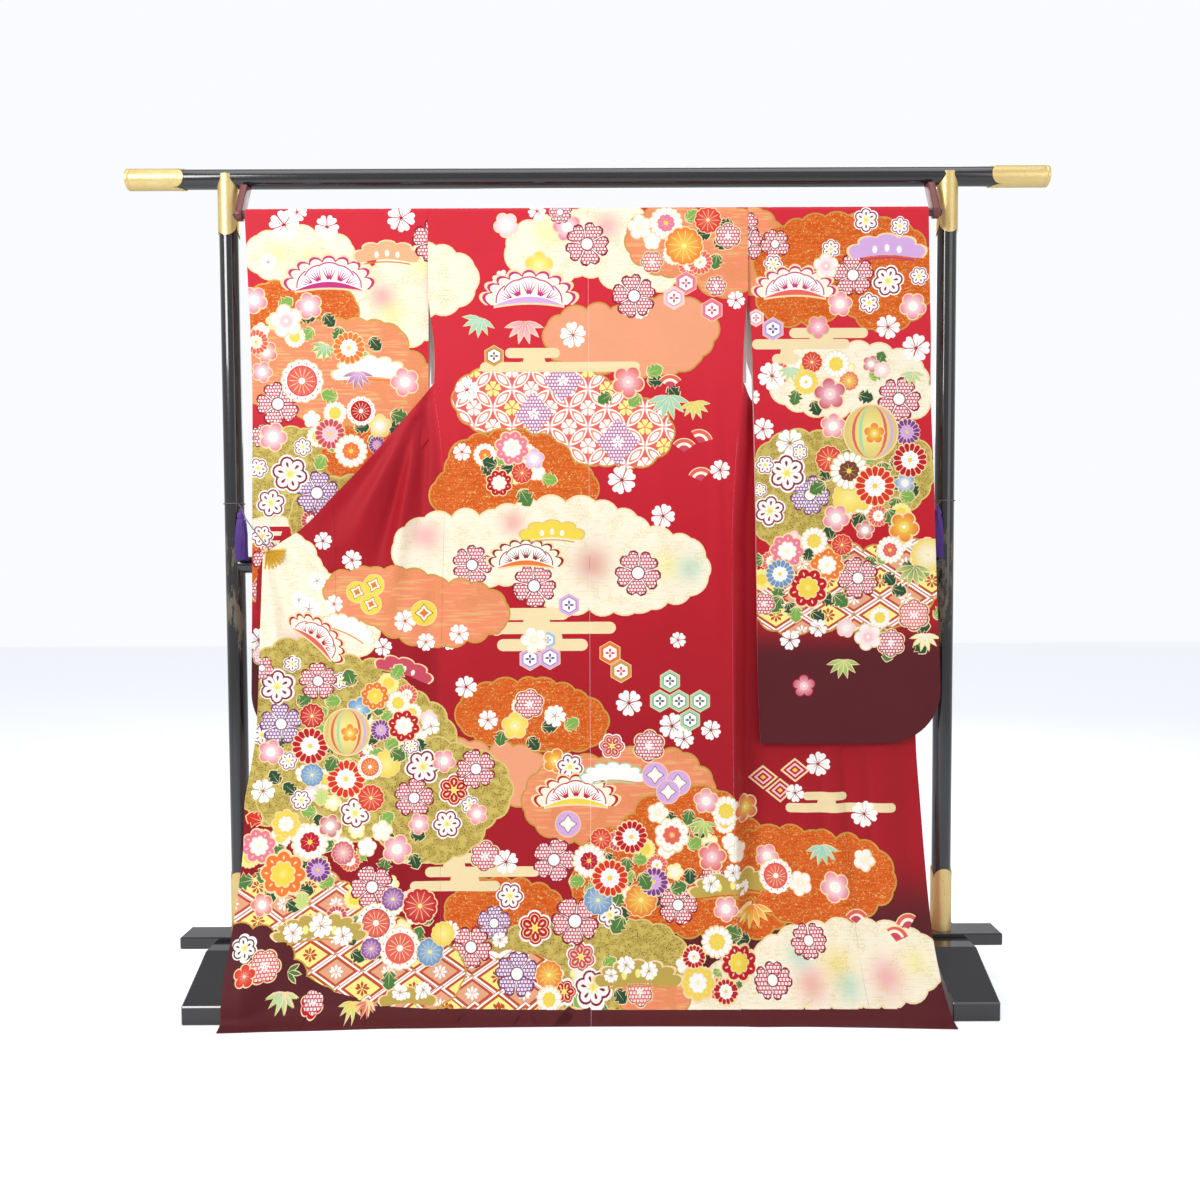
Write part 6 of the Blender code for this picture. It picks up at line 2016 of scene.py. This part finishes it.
def patches(tree, vector, scale, cover):
    """The group of rubbed patches; cover is a number or a socket."""
    used = placed(tree, rubbed, vector)
    used.inputs["Scale"].default_value = scale
    if isinstance(cover, float):
        used.inputs["Cover"].default_value = cover
    else:
        join(tree, (cover, used.inputs["Cover"]))
    return used.outputs


# %% The finishes of the stand
def lacquer_finish(name, cover, stretched, band=None):
    """Black lacquer; band is (low, full, full, top) heights where it is rubbed most."""
    mat, tree, shader = new_material(name, (0.012, 0.012, 0.014), 0.2)
    where = object_place(tree, stretched)
    amount = cover
    if band:
        apart = tree.nodes.new("ShaderNodeSeparateXYZ")
        join(tree, (object_place(tree), apart.inputs[0]))
        rise, fall = between(tree, apart.outputs["Z"], band[0], band[1]), between(tree, apart.outputs["Z"],
            band[3], band[2])
        amount = maths(tree, "MULTIPLY_ADD", times(tree, rise, fall), 0.20, cover)
    rub = patches(tree, where, 60.0, amount)
    haze = noise(tree, where, 12, 3)
    tone = mixed(tree, haze, (0.010, 0.010, 0.012), (0.022, 0.021, 0.022))
    join(tree, (mixed(tree, times(tree, rub["Mask"], 0.7), tone, (0.23, 0.18, 0.12)),
                shader.inputs["Base Color"]))
    rough = maths(tree, "MULTIPLY_ADD", haze, 0.12, maths(tree, "MULTIPLY_ADD", rub["Mask"], 0.45, 0.10))
    join(tree, (rough, shader.inputs["Roughness"]))
    join(tree, (maths(tree, "MULTIPLY_ADD", rub["Mask"], -0.8, 0.9), shader.inputs["Coat Weight"]))
    shader.inputs["Coat Roughness"].default_value = 0.06
    raised(tree, shader, rub["Height"], 0.08, 0.0006)
    return mat


bar_lacquer = lacquer_finish("bar lacquer", 0.30, (0.3, 1, 1))
post_lacquer = lacquer_finish("post lacquer", 0.33, (1, 1, 0.25), (0.62, 0.74, 0.90, 0.96))
foot_lacquer = lacquer_finish("foot lacquer", 0.31, (1, 1, 1))

brass, tree, shader = new_material("gilt brass", (0.83, 0.62, 0.26), 0.35, 0.85)
where = object_place(tree)
spots = patches(tree, where, 170.0, 0.36)
beaten = node(tree, "ShaderNodeTexVoronoi", Scale=150.0)
beaten.feature = "SMOOTH_F1"
join(tree, (where, beaten.inputs["Vector"]))
warm = mixed(tree, noise(tree, where, 26, 3), (0.84, 0.60, 0.20), (0.94, 0.76, 0.36))
join(tree, (mixed(tree, spots["Mask"], warm, (0.22, 0.11, 0.03)), shader.inputs["Base Color"]))
join(tree, (maths(tree, "MULTIPLY_ADD", spots["Mask"], 0.3, 0.34), shader.inputs["Roughness"]))
join(tree, (maths(tree, "MULTIPLY_ADD", spots["Mask"], -0.35, 0.5), shader.inputs["Metallic"]))
raised(tree, shader, beaten.outputs["Distance"], 0.25, 0.0015)


def grained(name, base, gloss, stretch, grain, tones, rough, bump):
    """A material whose one grain steers its colour, its roughness and its relief."""
    mat, tree, shader = new_material(name, base, *gloss)
    tone = noise(tree, object_place(tree, stretch), *grain)
    join(tree, (mixed(tree, tone, *tones), shader.inputs["Base Color"]))
    join(tree, (maths(tree, "MULTIPLY_ADD", tone, *rough), shader.inputs["Roughness"]))
    raised(tree, shader, tone, *bump)
    return mat, shader


arm_lacquer, _ = grained(
    "red-brown lacquer", (0.16, 0.03, 0.03), (0.28,), (1, 1, 0.3), (90, 4, 0.6),
    ((0.12, 0.022, 0.024), (0.24, 0.055, 0.055)), (0.25, 0.2), (0.12, 0.0005),
)
strand, shader = grained(
    "purple strands", (0.08, 0.02, 0.30), (0.6,), (1, 1, 0.04), (900, 2, 0.6),
    ((0.030, 0.006, 0.13), (0.16, 0.045, 0.44)), (0.3, 0.4), (0.4, 0.0006),
)
shader.inputs["Sheen Weight"].default_value = 0.3
fan_gilt, _ = grained(
    "gilt card", (0.85, 0.58, 0.12), (0.4, 0.35), (1, 1, 1), (240, 3, 0.6),
    ((0.74, 0.46, 0.05), (0.92, 0.68, 0.14)), (0.25, 0.3), (0.2, 0.0004),
)

twine, tree, shader = new_material("twisted cord", (0.10, 0.07, 0.14), 0.7)
where = object_place(tree)
twist = node(tree, "ShaderNodeTexWave", Scale=260.0, Distortion=2.0)
twist.bands_direction = "DIAGONAL"
join(tree, (where, twist.inputs["Vector"]))
join(tree, (mixed(tree, twist.outputs["Fac"], (0.05, 0.03, 0.08), (0.26, 0.20, 0.30)),
            shader.inputs["Base Color"]))
join(tree, (maths(tree, "MULTIPLY_ADD", twist.outputs["Fac"], 0.2, 0.55), shader.inputs["Roughness"]))
raised(tree, shader, twist.outputs["Fac"], 0.4, 0.0004)
print("stand materials:", 8)

# %% [markdown]
# ### Poles, fittings and arms
#
# Every pole is a spun bar with softened ends. The fittings are thin brass sheet wrapped round the
# wood: their free edges are cut in wide rounded tongues with sharp notches between, and a nail
# holds each tongue. The top fitting of a post laps over the crossbar, so it looks pointed there.

# %% Poles
POLE_R, POST_X = 0.0191, 0.7223
SOFT = 0.0012


def bar_between(name, mat, axis, node_name=None):
    """A round bar that fills the box of its CAD node."""
    low, high = (Vector(corner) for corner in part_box(node_name or name))
    centre = (low + high) / 2
    along_axis = 0 if axis == "X" else 2
    half = (high[along_axis] - low[along_axis]) / 2
    r = (high[1] - low[1]) / 2
    profile = [(0, -half), (r - SOFT, -half), (r, -half + SOFT), (r, 0), (r, half - SOFT), (r - SOFT, half),
               (0, half)]
    bm = spun(profile, axis, centre)
    return finished(name + "_lacquered", bm, mat, "root", [node_name or name])


for name, mat, axis in (
    ("crossbar", bar_lacquer, "X"), ("hanging_rod", bar_lacquer, "X"), ("middle_bar", bar_lacquer, "X"),
    ("post_left", post_lacquer, "Z"), ("post_right", post_lacquer, "Z"),
):
    bar_between(name, mat, axis)
for name in ("foot_left", "foot_right", "foot_plate_left", "foot_plate_right"):
    for material_slot in nodes[name].material_slots:
        material_slot.material = foot_lacquer
print("bars:", 5)

# %% Fittings
TONGUES, TONGUE_DEPTH = 3, 0.024
METAL_GAP, METAL = 0.0003, 0.0016
METAL_R = POLE_R + METAL_GAP + METAL


def tongue(angle, depth=TONGUE_DEPTH):
    """How far the edge falls back from a tongue's tip, in this direction round the pole."""
    return depth * (1 - abs(math.cos(TONGUES * angle / 2)) ** 0.45)


def fitting(name, axis, place, length, cap, lobed_ends, front):
    """Brass sheet round a pole from 0 to length along its axis; cap closes the start."""
    r, inner = METAL_R, POLE_R + METAL_GAP
    rows = 9
    outer = [(r, length * k / rows) for k in range(rows + 1)]
    start = [(0, 0), (r - 0.0025, 0), (r - 0.0007, 0.0007)] if cap else [(inner, 0)]
    outer[0] = (r, 0.0025) if cap else outer[0]
    groove = [(r, length * 0.06), (r - 0.0005, length * 0.067), (r, length * 0.075)] if cap else []
    profile = start + outer[:1] + groove + outer[1:] + [(inner, length)]
    bm = spun(profile, steps=96)
    for v in bm.verts:
        angle = math.atan2(v.co.y, v.co.x) - front
        back = tongue(angle)
        share_high = max(0.0, (v.co.z / length - 0.45) / 0.55) if lobed_ends[1] else 0
        share_low = max(0.0, (0.55 - v.co.z / length) / 0.55) if lobed_ends[0] else 0
        v.co.z += back * (share_low - share_high)
    for end, at in ((lobed_ends[0], 0.011), (lobed_ends[1], length - 0.011)):
        for k in range(TONGUES if end else 0):
            a = front + math.tau * k / TONGUES
            nail = bmesh.ops.create_uvsphere(bm, u_segments=10, v_segments=6, radius=0.0013)["verts"]
            bmesh.ops.translate(bm, verts=nail, vec=(r * math.cos(a), r * math.sin(a), at))
    quarter = {"left": 1, "up": 0, "right": -1}[axis] * math.pi / 2
    bmesh.ops.rotate(bm, verts=bm.verts, matrix=Matrix.Rotation(quarter, 3, "Y"))
    bmesh.ops.translate(bm, verts=bm.verts, vec=place)
    bmesh.ops.recalc_face_normals(bm, faces=bm.faces)
    return finished(name + "_gilt", bm, brass, "root", [name])


for side in (-1, 1):
    word = WORDS[side]
    low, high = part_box("end_cap_" + word)
    end_x = low[0] if side < 0 else high[0]
    centre = ((low[1] + high[1]) / 2, (low[2] + high[2]) / 2)
    fitting("end_cap_" + word, WORDS[side], (end_x, *centre), high[0] - low[0], True, (False, True),
            -math.pi / 2)
    for name, ends in (("post_top_fitting_", (True, False)), ("post_foot_fitting_", (False, True))):
        low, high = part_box(name + word)
        middle = ((low[0] + high[0]) / 2, (low[1] + high[1]) / 2, low[2])
        fitting(name + word, "up", middle, high[2] - low[2], False, ends, -math.pi / 2)
print("fittings:", 6)

# %% Arms
ARM_W, BAR_Z, ARM_EDGE = 0.025, 1.6343, 0.0022


def arm(side):
    """A flat arm with a round foot; its top is cut level against the crossbar."""
    word = WORDS[side]
    low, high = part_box("arm_" + word)
    run = np.array([ROD_Y, ROD_Z - BAR_Z])
    run /= np.linalg.norm(run)
    across = np.array([-run[1], run[0]]) * ARM_W / 2
    foot, head = np.array([ROD_Y, ROD_Z]), np.array([0.0, BAR_Z])
    outline = [head + across, head - across]
    for k in range(25):
        a = math.pi * k / 24
        outline.append(foot + math.sin(a) * run * ARM_W / 2 - math.cos(a) * across)
    bm = bmesh.new()
    face = bm.faces.new([bm.verts.new((low[0], y + DEPTH, z)) for y, z in outline])
    moved = bmesh.ops.extrude_face_region(bm, geom=[face])["geom"]
    verts = [g for g in moved if isinstance(g, bmesh.types.BMVert)]
    bmesh.ops.translate(bm, verts=verts, vec=(high[0] - low[0], 0, 0))
    cut_z = BAR_Z - POLE_R + 0.0012
    everything = bm.verts[:] + bm.edges[:] + bm.faces[:]
    bmesh.ops.bisect_plane(bm, geom=everything, plane_co=(0, 0, cut_z), plane_no=(0, 0, 1), clear_outer=True)
    bmesh.ops.holes_fill(bm, edges=bm.edges, sides=0)
    bmesh.ops.recalc_face_normals(bm, faces=bm.faces)
    rim = [e for e in bm.edges if len(e.link_faces) == 2 and e.calc_face_angle() > 1.0]
    bmesh.ops.bevel(bm, geom=rim, offset=ARM_EDGE, segments=3, affect="EDGES", profile=0.5, material=-1)
    return finished("arm_" + word + "_planed", bm, arm_lacquer, "root", ["arm_" + word])


for side in (-1, 1):
    arm(side)
print("arms:", 2)

# %% [markdown]
# ### Clips, tassels and cords
#
# A small pleated fan of gilt card pinches the upper corner of each front. Its pleats are real folds:
# the rim is a zigzag in depth as well as in outline. The tassel is a knot, a bound neck and a skirt
# of fine strands round a core of the same colour, so that light can break on single threads. The
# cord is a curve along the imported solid's own route.

# %% Clips
CLIP_R, CLIP_PLEATS, CLIP_FOLD = 0.037, 9, 0.0024
CLIP_PIVOT, CLIP_ANGLES = (0.632, 0.889), (6, -100)


def clip(side):
    """A pleated fan that opens inwards and down from its pivot."""
    word = WORDS[side]
    low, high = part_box("clip_" + word)
    middle = (low[1] + high[1]) / 2
    px, pz = side * CLIP_PIVOT[0], CLIP_PIVOT[1]
    bm = bmesh.new()
    rings = []
    for share in (0.09, 0.3, 0.55, 0.8, 0.94, 1.0):
        ring = []
        for k in range(CLIP_PLEATS * 2 + 1):
            turned = k / (CLIP_PLEATS * 2)
            a = math.radians(CLIP_ANGLES[0] + (CLIP_ANGLES[1] - CLIP_ANGLES[0]) * turned)
            reach = CLIP_R * share * (0.965 if k % 2 == 0 and share == 1.0 else 1.0)
            fold = CLIP_FOLD * (1 if k % 2 else -1) * min(1, share * 1.6)
            ring.append(bm.verts.new((px - side * math.cos(a) * reach, middle - 0.0004 - fold,
                                      pz + math.sin(a) * reach)))
        rings.append(ring)
    for inner, outer in zip(rings, rings[1:]):
        for k in range(CLIP_PLEATS * 2):
            bm.faces.new((inner[k], inner[k + 1], outer[k + 1], outer[k]))
    bmesh.ops.recalc_face_normals(bm, faces=bm.faces)
    bmesh.ops.solidify(bm, geom=bm.faces[:], thickness=0.0007)
    knot = bmesh.ops.create_uvsphere(bm, u_segments=20, v_segments=12, radius=0.0042)["verts"]
    bmesh.ops.scale(bm, verts=knot, vec=(1.15, 0.55, 1.0))
    bmesh.ops.translate(bm, verts=knot, vec=(px, middle - 0.0012, pz))
    return finished("clip_" + word + "_fan", bm, fan_gilt, "root", ["clip_" + word], 20)


for side in (-1, 1):
    clip(side)
print("clips:", 2)

# %% Tassels
TASSEL_LENGTH, TASSEL_TOP = 0.105, 0.9745
STRANDS, STRAND_R, SKIRT_TOP, GOLDEN_ANGLE = 110, 0.00075, -0.022, 2.399963
HEAD_SHAPE = (
    (0.0, 0.0), (0.0022, -0.0006), (0.0034, -0.003), (0.0030, -0.006), (0.0058, -0.0085), (0.0074, -0.012),
    (0.0078, -0.0155), (0.0066, -0.0185), (0.0068, -0.020), (0.0064, -0.0215), (0.0072, -0.0225),
    (0.0086, -0.028),
    (0.0098, -0.045), (0.0102, -0.070), (0.0104, -0.0985), (0.0, -0.0985),
)


def tassel(side):
    """Knot, neck and core in one spun shape, and strands hanging round it."""
    word = WORDS[side]
    low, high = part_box("tassel_" + word)
    place = Vector(((low[0] + high[0]) / 2, (low[1] + high[1]) / 2, high[2]))
    bm = spun(HEAD_SHAPE, "Z", (0, 0, 0), 28)
    rng = np.random.default_rng(40 + side)
    for k in range(STRANDS):
        a = GOLDEN_ANGLE * k
        r0 = 0.0074 + 0.0006 * rng.random()
        r1 = 0.0103 + 0.0012 * rng.random()
        end = -TASSEL_LENGTH * (1 - 0.035 * rng.random())
        ring = bmesh.ops.create_circle(bm, cap_ends=True, segments=5, radius=STRAND_R)["verts"]
        bmesh.ops.translate(bm, verts=ring, vec=(r0 * math.cos(a), r0 * math.sin(a), SKIRT_TOP))
        face = ring[0].link_faces[0]
        last = np.array([r0 * math.cos(a), r0 * math.sin(a), SKIRT_TOP])
        for share in (0.12, 0.4, 0.7, 1.0):
            sway = 0.0007 * math.sin(3 * share + k)
            r = r0 + (r1 - r0) * min(1, share * 3) + sway
            b = a + 0.05 * math.sin(2 * share + k)
            here = np.array([r * math.cos(b), r * math.sin(b), SKIRT_TOP + (end - SKIRT_TOP) * share])
            out = bmesh.ops.extrude_discrete_faces(bm, faces=[face])["faces"]
            face = out[0]
            bmesh.ops.translate(bm, verts=face.verts, vec=here - last)
            last = here
    bmesh.ops.translate(bm, verts=bm.verts, vec=place)
    bmesh.ops.recalc_face_normals(bm, faces=bm.faces)
    return finished("tassel_" + word + "_strands", bm, strand, "root", ["tassel_" + word], 50)


for side in (-1, 1):
    tassel(side)
print("tassels:", 2)

# %% Cords
CORD_R, LOOP_Z, FIT = 0.0011, 0.985, 0.0003
CORD_PAST_SLEEVE = ((0.677, -0.060, 0.948), (0.682, -0.030, 0.963))
CORD_TIE = (0.6278, 0.8926)
TASSEL_LOOP = (0.700, -0.027)


def smooth_route(points, spacing):
    """Points along a smooth curve through the route's own points."""
    points = [np.array(p) for p in points]
    chain = [2 * points[0] - points[1]] + points + [2 * points[-1] - points[-2]]
    route = []
    for a, b, c, d in zip(chain, chain[1:], chain[2:], chain[3:]):
        steps = max(2, round(math.dist(b, c) / spacing))
        for t in np.arange(steps) / steps:
            bend = 2 * b + (c - a) * t + (2 * a - 5 * b + 4 * c - d) * t * t
            route.append((bend + (3 * b - a - 3 * c + d) * t ** 3) / 2)
    return route + [points[-1]]


def cord(side):
    """The thin cord from the post, over the tassel, to the clip."""
    word = WORDS[side]
    low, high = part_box("clip_" + word)
    ring_r = POLE_R + CORD_R + FIT
    leave = np.array([TASSEL_LOOP[0] - POST_X, TASSEL_LOOP[1]])
    leave *= (ring_r + CORD_R + 2 * FIT) / np.linalg.norm(leave)
    past = CORD_PAST_SLEEVE[0] if side < 0 else CORD_PAST_SLEEVE[1]
    points = [
        (side * (POST_X + leave[0]), leave[1] + DEPTH, LOOP_Z - 0.001),
        (side * TASSEL_LOOP[0], TASSEL_LOOP[1] + DEPTH, TASSEL_TOP + CORD_R + 3 * FIT),
        (side * past[0], past[1] + DEPTH, past[2]),
        (side * CORD_TIE[0], (low[1] + high[1]) / 2, CORD_TIE[1]),
    ]
    route = smooth_route(points, 4 * CORD_R)
    line = bpy.data.curves.new("cord_" + word + "_line", "CURVE")
    line.dimensions = "3D"
    line.bevel_depth = CORD_R
    line.bevel_resolution = 4
    line.use_fill_caps = True
    spline = line.splines.new("POLY")
    spline.points.add(len(route) - 1)
    for point, at in zip(spline.points, route):
        point.co = (*at, 1)
    line.materials.append(twine)
    piece = bpy.data.objects.new("cord_" + word + "_line", line)
    bpy.context.scene.collection.objects.link(piece)
    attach(piece, "root")
    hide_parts("cord_" + word)
    length = sum(math.dist(a, b) for a, b in zip(route, route[1:]))
    rings_round = spun([(CORD_R * math.cos(a) + ring_r, CORD_R * math.sin(a))
                        for a in np.arange(8) * math.pi / 4],
                       "Z", (side * POST_X, DEPTH, LOOP_Z), 64, True)
    finished("cord_ring_" + word + "_loop", rings_round, twine, "root", ["cord_ring_" + word])
    return length


for side in (-1, 1):
    print("cord length:", round(cord(side), 4))
